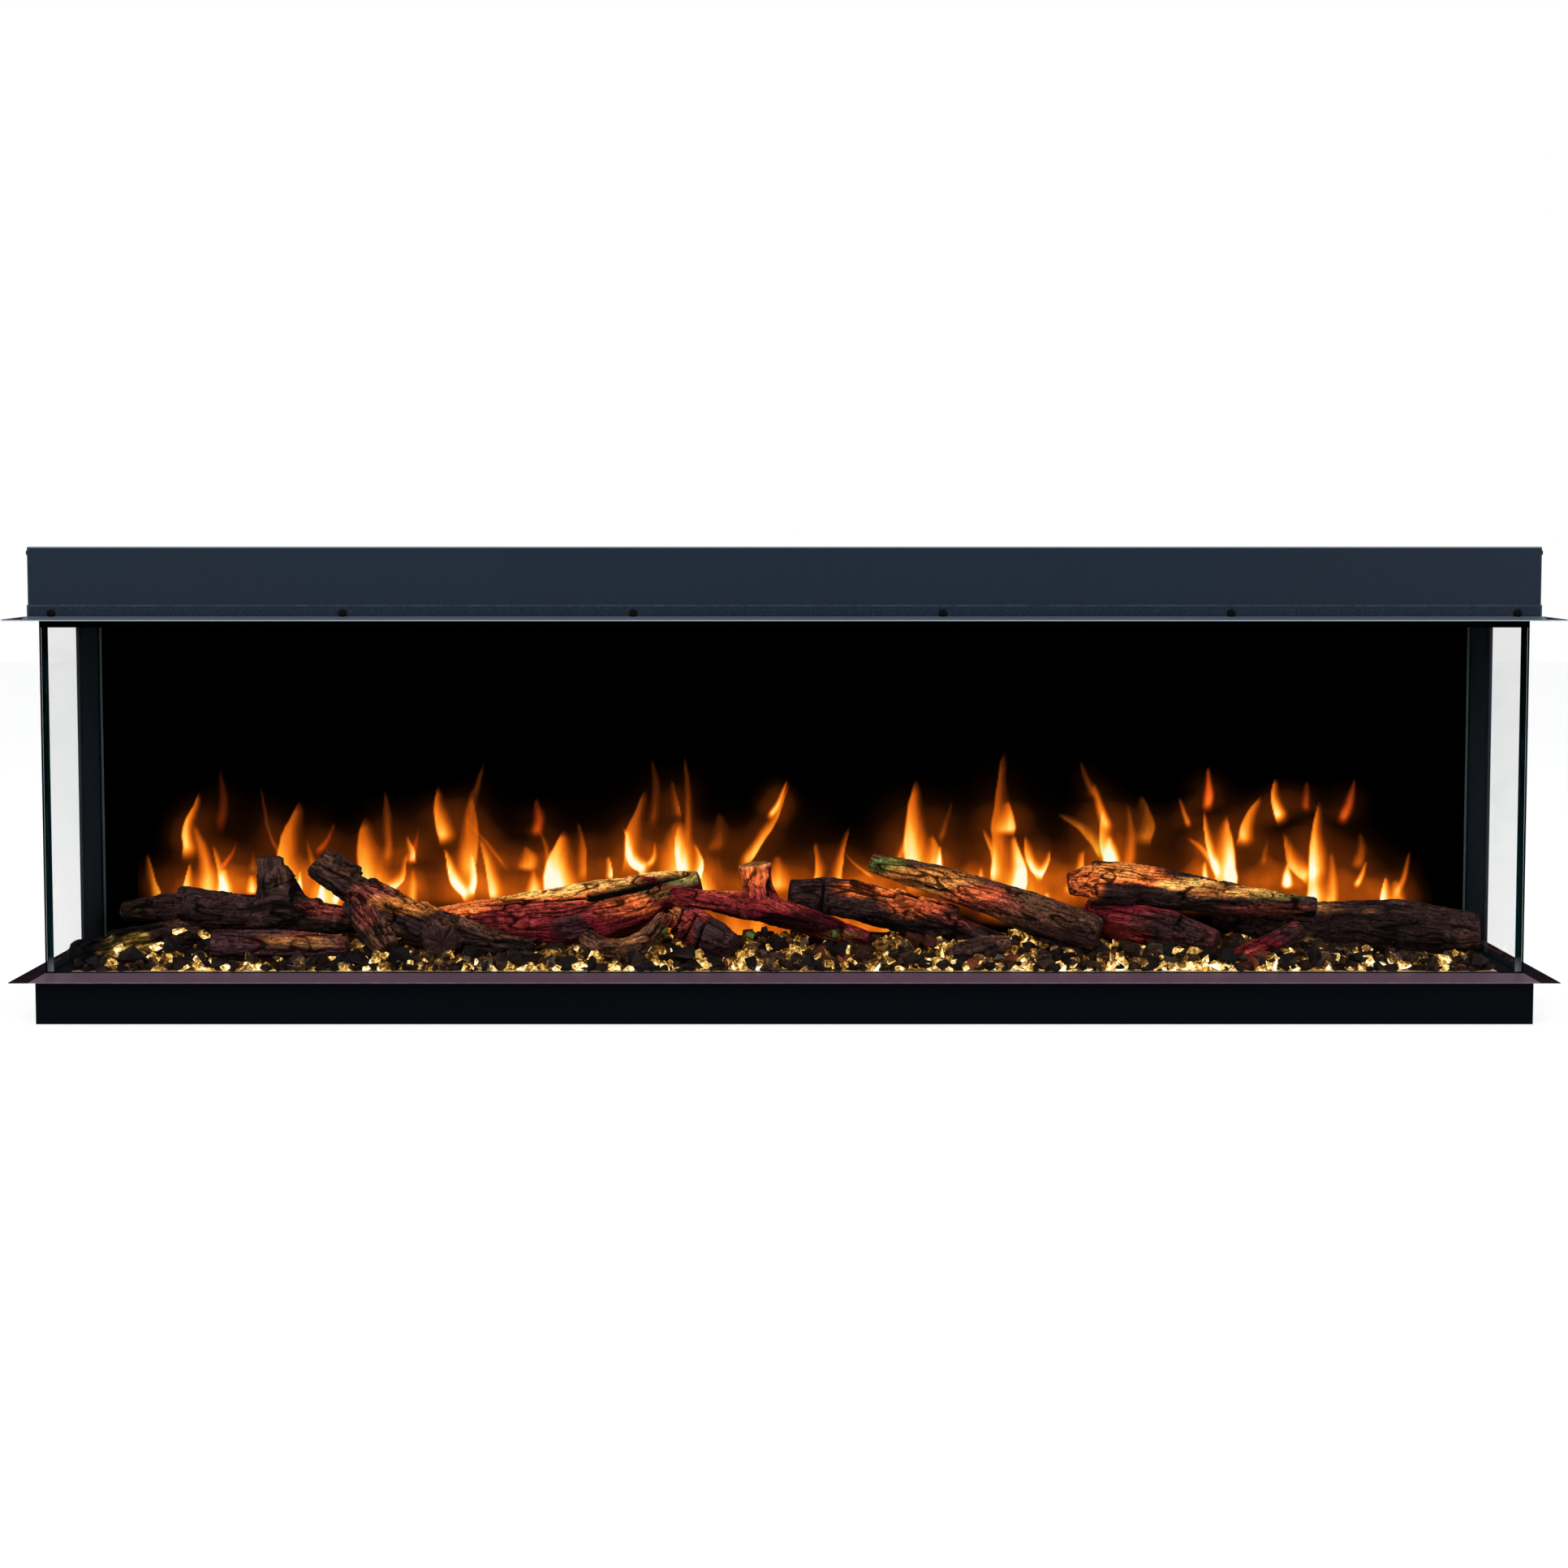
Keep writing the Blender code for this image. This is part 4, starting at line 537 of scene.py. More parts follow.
@dataclass(frozen=True)
class Finish:
    """A surface finish: its material is made on first use."""

    name: str
    slot: Slot

    def material(self) -> bpy.types.Material:
        """The finish's material.

        Returns:
            The material, wired on first use.
        """
        made = bpy.data.materials.get(self.name)
        if made is None:
            made = bpy.data.materials.new(self.name)
            wire = Wiring.fresh(made)
            shader = wire.put("BsdfPrincipled", self.shade(wire))
            wire.put("OutputMaterial", {"Surface": shader.outputs[0]})
        return made

    def shade(self, wire: Wiring) -> dict[str, object]:
        """Wires the finish.

        Args:
            wire: its wiring.

        Returns:
            The shader's inputs.
        """
        raise NotImplementedError

    def dress(self, piece: Piece) -> None:
        """Puts the finish on a piece.

        Args:
            piece: the piece, or a CAD node's object.
        """
        piece.data.materials.clear()
        piece.data.materials.append(self.material())


@dataclass(frozen=True)
class PowderCoat(Finish):
    """Stoved powder on sheet steel, with a painted light line at the height where a bend catches the light."""

    colour: Colour
    rubbed_and_lit: Colour
    roughness: float
    specular: float
    reach: float = 0.0012
    peel: float = 0.00006
    line_from: float = 9.0
    line_to: float = 10.0
    line: Colour = (0.24, 0.27, 0.30)
    dust: Colour = (0.16, 0.15, 0.14)

    def shade(self, wire: Wiring) -> dict[str, object]:
        """Wires the coat: peel, dust, rubbed edges also painted as highlights, and a painted highlight line.

        Args:
            wire: its wiring.

        Returns:
            The shader's inputs.
        """
        grain = wire.effect(Effect.COAT_GRAIN, Scale=620.0)
        lighter = tuple(channel * 1.35 for channel in self.colour)
        colour = wire.blend(wire.span(grain["Cloud"], *MIDDLE, 0, 0.5), self.colour, lighter)
        colour = wire.blend(wire.times(grain["Speckle"], 0.35), colour, self.rubbed_and_lit)
        # Rubbed edges, also painted lighter as a highlight where an edge catches the light.
        colour = wire.blend(wire.mask(Effect.EDGE_WEAR, Radius=self.reach, Amount=0.8), colour, self.rubbed_and_lit)
        colour = wire.blend(wire.mask(Effect.DUST, Amount=0.05), colour, self.dust)
        # Painted highlight: the line colour at one height, where a bend catches the light.
        lit = wire.span(wire.axis(wire.place(), 2), self.line_from, self.line_to)
        return {
            "Base Color": wire.blend(lit, colour, self.line),
            "Roughness": wire.span(grain["Height"], *BROAD, self.roughness - 0.05, self.roughness + 0.07),
            "Specular IOR Level": self.specular,
            "Normal": wire.bump(grain["Height"], self.peel),
        }


@dataclass(frozen=True)
class BareMetal(Finish):
    """Plated or polished metal."""

    colour: Colour
    roughness: float
    spangle: float = 0.25
    bright: Colour = (0.8, 0.8, 0.8)

    def shade(self, wire: Wiring) -> dict[str, object]:
        """Wires the metal with its rolling marks, spangle and bright edges.

        Args:
            wire: its wiring.

        Returns:
            The shader's inputs.
        """
        sheet = wire.effect(Effect.STREAKS, Scale=60.0)
        dull = tuple(channel * 0.62 for channel in self.colour)
        colour = wire.blend(wire.times(sheet["Spangle"], self.spangle), self.colour, dull)
        return {
            "Base Color": wire.blend(
                wire.mask(Effect.EDGE_WEAR, Radius=0.0008, Amount=0.5), colour, self.bright),
            "Metallic": 1.0,
            "Roughness": wire.span(sheet["Streak"], 0, 1, self.roughness, self.roughness + 0.12),
            "Normal": wire.bump(sheet["Height"], 0.00003),
        }


@dataclass(frozen=True)
class Moulding(Finish):
    """Moulded plastic, a board's mask or a screw's oxide."""

    colour: Colour
    roughness: float
    fleck: Colour
    scale: float = 1400.0
    specular: float = 0.4
    dusty: float = 0.08
    dust: Colour = (0.2, 0.19, 0.17)

    def shade(self, wire: Wiring) -> dict[str, object]:
        """Wires the moulding with its fine texture and dust.

        Args:
            wire: its wiring.

        Returns:
            The shader's inputs.
        """
        grain = wire.effect(Effect.COAT_GRAIN, Scale=self.scale)
        colour = wire.blend(grain["Speckle"], self.colour, self.fleck)
        colour = wire.blend(wire.mask(Effect.EDGE_WEAR, Radius=0.0005, Amount=0.35), colour, self.fleck)
        return {
            "Base Color": wire.blend(wire.mask(Effect.DUST, Amount=self.dusty), colour, self.dust),
            "Roughness": wire.span(grain["Height"], *BROAD, self.roughness - 0.06, self.roughness + 0.08),
            "Specular IOR Level": self.specular,
            "Normal": wire.bump(grain["Height"], 0.00004),
        }


@dataclass(frozen=True)
class PaneFace(Finish):
    """The clear face of a toughened pane: it shows more the flatter it is looked along."""

    veil: float = 0.7
    colour: Colour = (0.62, 0.66, 0.65)

    def shade(self, wire: Wiring) -> dict[str, object]:
        """Wires a face that lets nearly all light through, less so where it is looked along or smeared.

        Args:
            wire: its wiring.

        Returns:
            The shader's inputs.
        """
        along = wire.put("LayerWeight", {"Blend": 0.5}).outputs["Facing"]
        smear = wire.mask(Effect.SMEAR, Amount=1.0)
        strength = wire.span(smear, 0, 1, self.veil, self.veil * 1.3)
        return {
            "Base Color": self.colour,
            "Metallic": 1.0,
            "Roughness": wire.span(smear, 0, 1, 0.02, 0.08),
            "Alpha": wire.times(wire.calc("POWER", along, 5.0), strength),
        }


@dataclass(frozen=True)
class PaneEdge(Finish):
    """A pane's polished edge: near black above, dark teal below, and painted light at the foot of its front.
    """

    foot: float = 0.057
    clear_to: float = 0.076
    teal_from: float = 0.40
    black: Colour = (0.0008, 0.0024, 0.0024)
    teal: Colour = (0.0014, 0.0120, 0.0150)
    streak: Colour = (0.010, 0.050, 0.055)
    clear: Colour = (0.52, 0.50, 0.54)

    def shade(self, wire: Wiring) -> dict[str, object]:
        """Wires the edge.

        Args:
            wire: its wiring.

        Returns:
            The shader's inputs.
        """
        height, ahead = wire.axis(wire.place(), 2), wire.axis(wire.facing(), 1)
        # Painted light: the front of the edge turns pale at its foot, for the bright light seen through the
        # glass there.
        clear = wire.times(wire.span(height, self.clear_to, self.foot), wire.span(ahead, -0.6, -0.9))
        band = wire.noise(wire.place((1.0, 1.0, 0.06)), 500.0, 2.0)
        deep = wire.blend(wire.span(height, self.teal_from, 0.1), self.black, self.teal)
        deep = wire.blend(wire.times(wire.span(band, 0.5, 0.7), 0.3), deep, self.streak)
        return {
            "Base Color": wire.blend(wire.times(clear, 0.5), deep, self.clear),
            "Roughness": wire.span(band, *MIDDLE, 0.3, 0.4),
            "Specular IOR Level": 0.0,
        }


@dataclass(frozen=True)
class ScreenGlass(Finish):
    """Black glass that takes the flames' picture."""

    ground_from: float = 0.9076
    ground: Colour = (0.12, 0.17, 0.165)
    wiped: Colour = (0.0002, 0.0002, 0.0002)

    def shade(self, wire: Wiring) -> dict[str, object]:
        """Wires a black face with faint wiping marks, and a greenish tone where its edge is ground.

        Args:
            wire: its wiring.

        Returns:
            The shader's inputs.
        """
        smear = wire.mask(Effect.SMEAR, Amount=1.0)
        across = wire.calc("ABSOLUTE", wire.axis(wire.place(), 0))
        edge = wire.span(across, self.ground_from, self.ground_from + 0.0005)
        return {
            "Base Color": wire.blend(edge, wire.blend(smear, UNLIT, self.wiped), self.ground),
            "Roughness": wire.span(smear, 0, 1, 0.1, 0.3),
            "Specular IOR Level": 0.0,
        }


@dataclass(frozen=True)
class BarkPaint(Finish):
    """Hand-painted resin bark: its colours are laid on the mesh, and the fine grain is here."""

    fineness: float = 1.0
    roughness: float = 0.72
    glow: float = 0.5
    dust: Colour = (0.20, 0.17, 0.15)

    def shade(self, wire: Wiring) -> dict[str, object]:
        """Wires the bark; its brightest paint glows as painted light, for the fire's glow on the wood.

        Args:
            wire: its wiring.

        Returns:
            The shader's inputs.
        """
        bark = wire.effect(Effect.BARK, Fineness=self.fineness)
        paint = wire.attribute("paint", "Color")
        shade = wire.span(bark["Blotch"], 0, 1, 0.5, 1.6)
        grey = wire.put("CombineColor", {0: shade, 1: shade, 2: shade}).outputs[0]
        colour = wire.blend(1.0, paint, grey, "MULTIPLY")
        # Painted shade: the fine cracks are darkened.
        colour = wire.blend(wire.times(bark["Crack"], 0.9), colour, Tint.SOOT.value)
        colour = wire.blend(wire.mask(Effect.DUST, Amount=0.004), colour, self.dust)
        # Painted light: paint with much red also glows, for the fire's light that lies on the wood.
        lit = wire.span(wire.channel(paint, 0), 0.34, 1.0)
        return {
            "Base Color": colour,
            "Roughness": wire.span(bark["Blotch"], 0, 1, self.roughness - 0.14, self.roughness + 0.1),
            "Specular IOR Level": 0.05,
            "Emission Color": wire.blend(lit, UNLIT, colour),
            "Emission Strength": self.glow,
            "Normal": wire.bump(bark["Height"], 0.0016, 1.0),
        }


@dataclass(frozen=True)
class Crystal(Finish):
    """Crushed amber glass, lit from below: each facet holds its own glow."""

    slot: Slot = Slot.EMBERS
    strength: float = 1.0
    body: Colour = (0.075, 0.038, 0.014)
    scale: float = 260.0
    dust: Colour = (0.3, 0.26, 0.2)
    stops: tuple = (
        (0.0, (0.002, 0.001, 0.0003)), (0.28, (0.030, 0.012, 0.002)), (0.48, (0.24, 0.105, 0.014)),
        (0.66, (0.80, 0.46, 0.085)), (0.82, (1.0, 0.82, 0.36)), (1.0, (1.0, 0.97, 0.80)),
    )

    def shade(self, wire: Wiring) -> dict[str, object]:
        """Wires the crystal's glow and its gloss.

        Args:
            wire: its wiring.

        Returns:
            The shader's inputs.
        """
        mottle = wire.effect(Effect.MOTTLE, Scale=self.scale)
        level = wire.calc("ADD", wire.attribute("glow", "Fac"), wire.times(mottle["Value"], 0.85), True)
        return {
            "Base Color": wire.blend(wire.mask(Effect.DUST, Amount=0.04), self.body, self.dust),
            "Roughness": wire.span(mottle["Height"], *MIDDLE, 0.12, 0.3),
            "Specular IOR Level": 0.2,
            "Emission Color": wire.ramp(level, self.stops),
            "Emission Strength": self.strength,
            "Normal": wire.bump(mottle["Height"], 0.0005, 0.5),
        }


@dataclass(frozen=True)
class Coal(Finish):
    """Dry cast lumps among the crystals, from their cool tone to their warm one."""

    slot: Slot = Slot.EMBERS
    cool: Colour = (0.008, 0.005, 0.005)
    warm: Colour = (0.105, 0.052, 0.028)
    pit: Colour = (0.004, 0.003, 0.003)
    dust: Colour = (0.14, 0.11, 0.10)

    def shade(self, wire: Wiring) -> dict[str, object]:
        """Wires the lumps with pits and a dry surface.

        Args:
            wire: its wiring.

        Returns:
            The shader's inputs.
        """
        pits = wire.noise(wire.place(), 260.0, 4.0, 0.5)
        # The glow value warms the lumps' colour: partly random tone, partly painted glow from the bed.
        colour = wire.blend(wire.span(wire.attribute("glow", "Fac"), 0.2, 1.0), self.cool, self.warm)
        colour = wire.blend(wire.span(pits, 0.52, 0.7), colour, self.pit)
        return {
            "Base Color": wire.blend(wire.mask(Effect.DUST, Amount=0.04), colour, self.dust),
            "Roughness": wire.span(pits, *MIDDLE, 0.5, 0.75),
            "Specular IOR Level": 0.1,
            "Normal": wire.bump(pits, 0.0008, 0.6),
        }


@dataclass(frozen=True)
class FlameLight(Finish):
    """The flames' picture on the screen: heat gives the colour, and cool parts let the screen show."""

    strength: float = 1.0
    stops: tuple = (
        (0.0, (0.0, 0.0, 0.0)), (0.12, (0.013, 0.0034, 0.0006)), (0.28, (0.098, 0.0185, 0.0020)),
        (0.42, (0.36, 0.060, 0.0032)), (0.56, (0.80, 0.150, 0.0062)), (0.68, (1.0, 0.32, 0.018)),
        (0.81, (1.0, 0.64, 0.10)), (0.92, (1.0, 0.88, 0.38)), (1.0, (1.0, 0.97, 0.76)),
    )

    def shade(self, wire: Wiring) -> dict[str, object]:
        """Wires the flames.

        Args:
            wire: its wiring.

        Returns:
            The shader's inputs.
        """
        heat = wire.attribute("fire", "Fac")
        lick = wire.noise(wire.place((1.0, 1.0, 0.3)), 70.0, 2.0, 0.6)
        level = wire.times(heat, wire.span(lick, *MIDDLE, 0.96, 1.04))
        tinge = wire.attribute("tinge", "Color")
        return {
            "Base Color": UNLIT,
            "Roughness": 0.6,
            "Specular IOR Level": 0.0,
            "Alpha": wire.span(heat, 0.0, 0.14),
            "Emission Color": wire.blend(1.0, wire.ramp(level, self.stops), tinge, "MULTIPLY"),
            "Emission Strength": self.strength,
        }


@dataclass(frozen=True)
class Frosted(Finish):
    """Frosted plastic that spreads the light below the embers."""

    colour: Colour = (0.50, 0.42, 0.30)
    dust: Colour = (0.25, 0.2, 0.16)
    dim: Colour = (0.22, 0.10, 0.02)
    bright: Colour = (0.45, 0.24, 0.06)

    def shade(self, wire: Wiring) -> dict[str, object]:
        """Wires the frosted plastic.

        Args:
            wire: its wiring.

        Returns:
            The shader's inputs.
        """
        grain = wire.effect(Effect.COAT_GRAIN, Scale=900.0)
        return {
            "Base Color": wire.blend(wire.mask(Effect.DUST, Amount=0.2), self.colour, self.dust),
            "Roughness": wire.span(grain["Height"], *BROAD, 0.45, 0.6),
            "Emission Color": wire.blend(wire.span(grain["Cloud"], *MIDDLE), self.dim, self.bright),
            "Emission Strength": 0.35,
            "Normal": wire.bump(grain["Height"], 0.00005),
        }


STEEL_BLUE = (0.0045, 0.0125, 0.0250)
BLUE_GREY = PowderCoat(
    "blue_grey_powder", Slot.BLUE_GREY, STEEL_BLUE, (0.10, 0.13, 0.17), 0.5, 0.12,
    line_from=0.5812, line_to=0.5816,
)
FLANGE = PowderCoat(
    "flange_powder", Slot.BLUE_GREY, STEEL_BLUE, (0.13, 0.17, 0.23), 0.45, 0.10, 0.0024,
    line_from=0.4951, line_to=0.4949, line=(0.44, 0.50, 0.57),
)
# One coat in two copies: the front slope's is lighter as a painted highlight, the end slopes' darker as
# painted shade.
SKIRT = PowderCoat("skirt_powder", Slot.BLUE_GREY, (0.090, 0.118, 0.160), (0.16, 0.20, 0.26), 0.45, 0.10)
SHADED_END_SKIRT = PowderCoat(
    "shaded_end_skirt_powder", Slot.BLUE_GREY, (0.0030, 0.0060, 0.0100), (0.03, 0.04, 0.05), 0.5, 0.05)
BACK_COAT = PowderCoat("back_powder", Slot.BLACK, (0.0075, 0.0090, 0.0120), (0.05, 0.055, 0.06), 0.5, 0.10)
# The inner walls take a lighter copy of the blue-grey coat, as painted light inside the firebox.
LIT_WALL_COAT = PowderCoat("lit_wall_powder", Slot.BLUE_GREY, (0.0220, 0.0300, 0.0390), (0.06, 0.07, 0.08), 0.5, 0.05)
BLACK = PowderCoat("black_powder", Slot.BLACK, (0.0012, 0.0020, 0.0036), (0.012, 0.014, 0.018), 0.55, 0.025)
LIP = PowderCoat("lip_powder", Slot.BLACK, (0.0010, 0.0010, 0.0016), (0.004, 0.005, 0.006), 0.6, 0.0)
# One satin coat in two copies: the end flanges' is much darker, as painted shade.
TRIM = PowderCoat("trim_satin", Slot.TRIM, (0.150, 0.086, 0.128), (0.38, 0.29, 0.34), 0.5, 0.01, 0.0018)
SHADED_END_TRIM = PowderCoat("shaded_end_trim_satin", Slot.TRIM, (0.014, 0.009, 0.013), (0.05, 0.04, 0.05), 0.5, 0.0)
GALVANISED = BareMetal("galvanised_sheet", Slot.GALVANISED, (0.46, 0.47, 0.48), 0.34)
MIRROR = BareMetal("mirror_film", Slot.MIRROR, (0.82, 0.82, 0.84), 0.06, 0.08)
MOTOR = BareMetal("motor_plating", Slot.MOTOR, (0.36, 0.36, 0.38), 0.3, 0.12)
PLASTIC = Moulding("moulded_black", Slot.PLASTIC, (0.013, 0.013, 0.014), 0.5, (0.03, 0.03, 0.032))
CIRCUIT = Moulding("solder_mask", Slot.CIRCUIT, (0.012, 0.085, 0.032), 0.35, (0.03, 0.15, 0.06), 500.0)
LIGHTS = Moulding("lamp_board", Slot.LIGHTS, (0.72, 0.71, 0.66), 0.4, (0.85, 0.80, 0.6), 500.0)
OXIDE = Moulding(
    "screw_oxide", Slot.SCREW, (0.0003, 0.0004, 0.0008), 0.45, (0.001, 0.0015, 0.003), 1600.0, 0.06, 0.0,
)
PANE_FACE = PaneFace("clear_pane_face", Slot.CLEAR)
PANE_EDGE = PaneEdge("pane_edge", Slot.CLEAR)
SCREEN = ScreenGlass("black_screen_glass", Slot.BLACK_GLASS)
FROSTED = Frosted("frosted_tray", Slot.FROSTED)
CHARRED = BarkPaint("painted_char", Slot.CHARRED)
GLOWING = BarkPaint("painted_glow", Slot.GLOWING)
MOSSY = BarkPaint("painted_moss", Slot.MOSSY, 1.2)
AMBER = Crystal("amber_crystal", strength=1.2)
SMOKY = Crystal("smoky_crystal", strength=0.8, body=(0.022, 0.012, 0.008), scale=200.0)
CHIP = Crystal("green_chip", strength=0.16, body=(0.07, 0.17, 0.035))
COAL = Coal("ember_coal")
RUST = Coal("ember_rust", cool=(0.040, 0.011, 0.008), warm=(0.36, 0.085, 0.036))
FLAME = FlameLight("flame_light", Slot.BLACK_GLASS)


# Building meshes


class Workshop:
    """Turns points and faces into pieces of the scene."""

    @classmethod
    def piece(cls, name: str, points: Array, faces: list, finish: Finish) -> Piece:
        """Makes a dressed piece.

        Args:
            name: its name.
            points: its corners.
            faces: lists of corner numbers.
            finish: its finish.

        Returns:
            The piece.
        """
        mesh = bpy.data.meshes.new(name)
        mesh.from_pydata(points.tolist(), [], faces)
        mesh.validate()
        return cls.adopt(name, mesh, finish)

    @staticmethod
    def adopt(name: str, mesh: Mesh, finish: Finish) -> Piece:
        """Makes a dressed piece from a ready mesh; it rides on the cabinet.

        Args:
            name: its name.
            mesh: its mesh.
            finish: its finish.

        Returns:
            The piece.
        """
        piece = stand(name, mesh)
        finish.dress(piece)
        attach(piece, BODY)
        LOG.info("%s: %d faces", name, len(mesh.polygons))
        return piece

    @staticmethod
    def mesh(name: str, shape: bmesh.types.BMesh) -> Mesh:
        """Makes a mesh from a shape, and frees the shape.

        Args:
            name: the mesh's name.
            shape: the shape.

        Returns:
            The mesh.
        """
        mesh = bpy.data.meshes.new(name)
        shape.to_mesh(mesh)
        shape.free()
        return mesh

    @staticmethod
    def bands(count: int, rings: int = 2) -> list[list[int]]:
        """Joins stacked rings of corners, each ring numbered on from the one before.

        Args:
            count: how many corners a ring has.
            rings: how many rings there are.

        Returns:
            The faces between the rings.
        """
        turns = [(k, (k + 1) % count) for k in range(count)]
        starts = [ring * count for ring in range(rings - 1)]
        return [
            [start + a, start + b, start + count + b, start + count + a] for start in starts for a, b in turns]

    @staticmethod
    def store(mesh: Mesh, name: str, values: Array, domain: str = "POINT") -> None:
        """Stores a number, a vector or a colour with each point or face of a mesh.

        Args:
            mesh: the mesh.
            name: the attribute's name.
            values: the values; a colour has four channels.
            domain: POINT or FACE.
        """
        wide = 1 if values.ndim == 1 else values.shape[1]
        kind, key = {1: ("FLOAT", "value"), 3: ("FLOAT_VECTOR", "vector"), 4: ("FLOAT_COLOR", "color")}[wide]
        layer = mesh.attributes.new(name, kind, domain)
        layer.data.foreach_set(key, values.astype(np.float32).ravel())


# Cabinet


@dataclass
class Cabinet:
    """The folded sheets, the flanges, and what sits behind and inside them."""

    sheet_round: float = 0.00045
    casting_round: float = 0.0003
    weld: float = 0.00001
    sharp: float = math.radians(32)

    def build(self) -> None:
        """Puts a finish on every CAD node that stays, and rounds the edges that show."""
        finishes = {
            BLUE_GREY: "top_cover left_end_cap right_end_cap",
            FLANGE: "upper_front_flange upper_left_flange upper_right_flange",
            LIT_WALL_COAT: "left_side_panel right_side_panel",
            BLACK: "base_pan",
            BACK_COAT: "back_panel",
            LIP: "ceiling_pan",
            TRIM: "lower_front_flange",
            SHADED_END_TRIM: "lower_left_flange lower_right_flange",
            GALVANISED: "screen_rail flame_reflector blower_wheel blower_housing heater_element",
            MIRROR: "flame_spindle",
            MOTOR: "spindle_motor blower_motor",
            PLASTIC: "spindle_bearing outlet_grille switch_body switch_rocker cord_gland",
            CIRCUIT: "control_board",
            LIGHTS: "ember_light_board flame_light_board downlight_board",
            FROSTED: "ember_tray",
            OXIDE: " ".join(Fixings.front_screws),
        }
        for finish, names in finishes.items():
            for name in names.split():
                finish.dress(NODES[name])
                LOG.info("%s: %s", name, finish.name)
        sheets = " ".join(finishes[finish] for finish in (BLUE_GREY, FLANGE, TRIM, SHADED_END_TRIM))
        self._soften(sheets + " base_pan back_panel", self.sheet_round)
        self._soften(finishes[OXIDE] + " switch_body switch_rocker cord_gland", self.casting_round)

    def _soften(self, names: str, width: float) -> None:
        """Rounds the edges of CAD nodes with modifiers, which leave their meshes as they are.

        Args:
            names: the nodes' names with spaces between them.
            width: the width of the rounding.
        """
        for name in names.split():
            weld = NODES[name].modifiers.new("weld", "WELD")
            weld.merge_threshold = self.weld
            bevel = NODES[name].modifiers.new("bevel", "BEVEL")
            bevel.width, bevel.segments = width, 2
            bevel.limit_method, bevel.angle_limit = "ANGLE", self.sharp
            bevel.harden_normals = True


@dataclass
class Skirt:
    """The sloped cover of the upper flanges, mitred at the corners; its front is painted lit and its ends
    shaded.
    """

    sheet: float = 0.0012
    rise: float = 0.0036
    lip: float = 0.0004
    joint: float = 0.00015
    deck: float = field(init=False)

    def build(self) -> None:
        """Makes the front slope and the two end slopes."""
        low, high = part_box("upper_front_flange")
        end_low, end_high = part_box("upper_left_flange")
        self.deck = low.z + self.sheet + self.joint
        inner_x, inner_y = self.sheet - end_high.x, high.y - self.sheet
        outer_x, outer_y, rear = -end_low.x, low.y, end_high.y
        wall, root = inner_x - self.joint, inner_x + self.joint
        front = [(-wall, inner_y), (-wall, outer_y), (wall, outer_y), (wall, inner_y)]
        end = [(root, rear), (outer_x, rear), (outer_x, outer_y + self.joint), (root, inner_y + self.joint)]
        self._slope("upper_front_skirt", front, SKIRT)
        for side, label in SIDES:
            self._slope(f"upper_{label}_skirt", [(side * x, y) for x, y in end], SHADED_END_SKIRT)

    def _slope(self, name: str, outline: list[tuple[float, float]], finish: Finish) -> None:
        """Makes one slope.

        Args:
            name: its name.
            outline: its corners seen from above; the first and the last one stand at the wall.
            finish: its finish.
        """
        rises = (self.rise, self.lip, self.lip, self.rise)
        points = [(x, y, self.deck) for x, y in outline]
        points += [(x, y, self.deck + rise) for (x, y), rise in zip(outline, rises)]
        shape = bmesh.new()
        corners = [shape.verts.new(point) for point in points]
        for face in [[3, 2, 1, 0], [4, 5, 6, 7], *Workshop.bands(4)]:
            shape.faces.new([corners[k] for k in face])
        bmesh.ops.recalc_face_normals(shape, faces=shape.faces)
        bmesh.ops.bevel(shape, geom=shape.edges[:], offset=self.joint, segments=1, affect="EDGES")
        Workshop.adopt(name, Workshop.mesh(name, shape), finish)


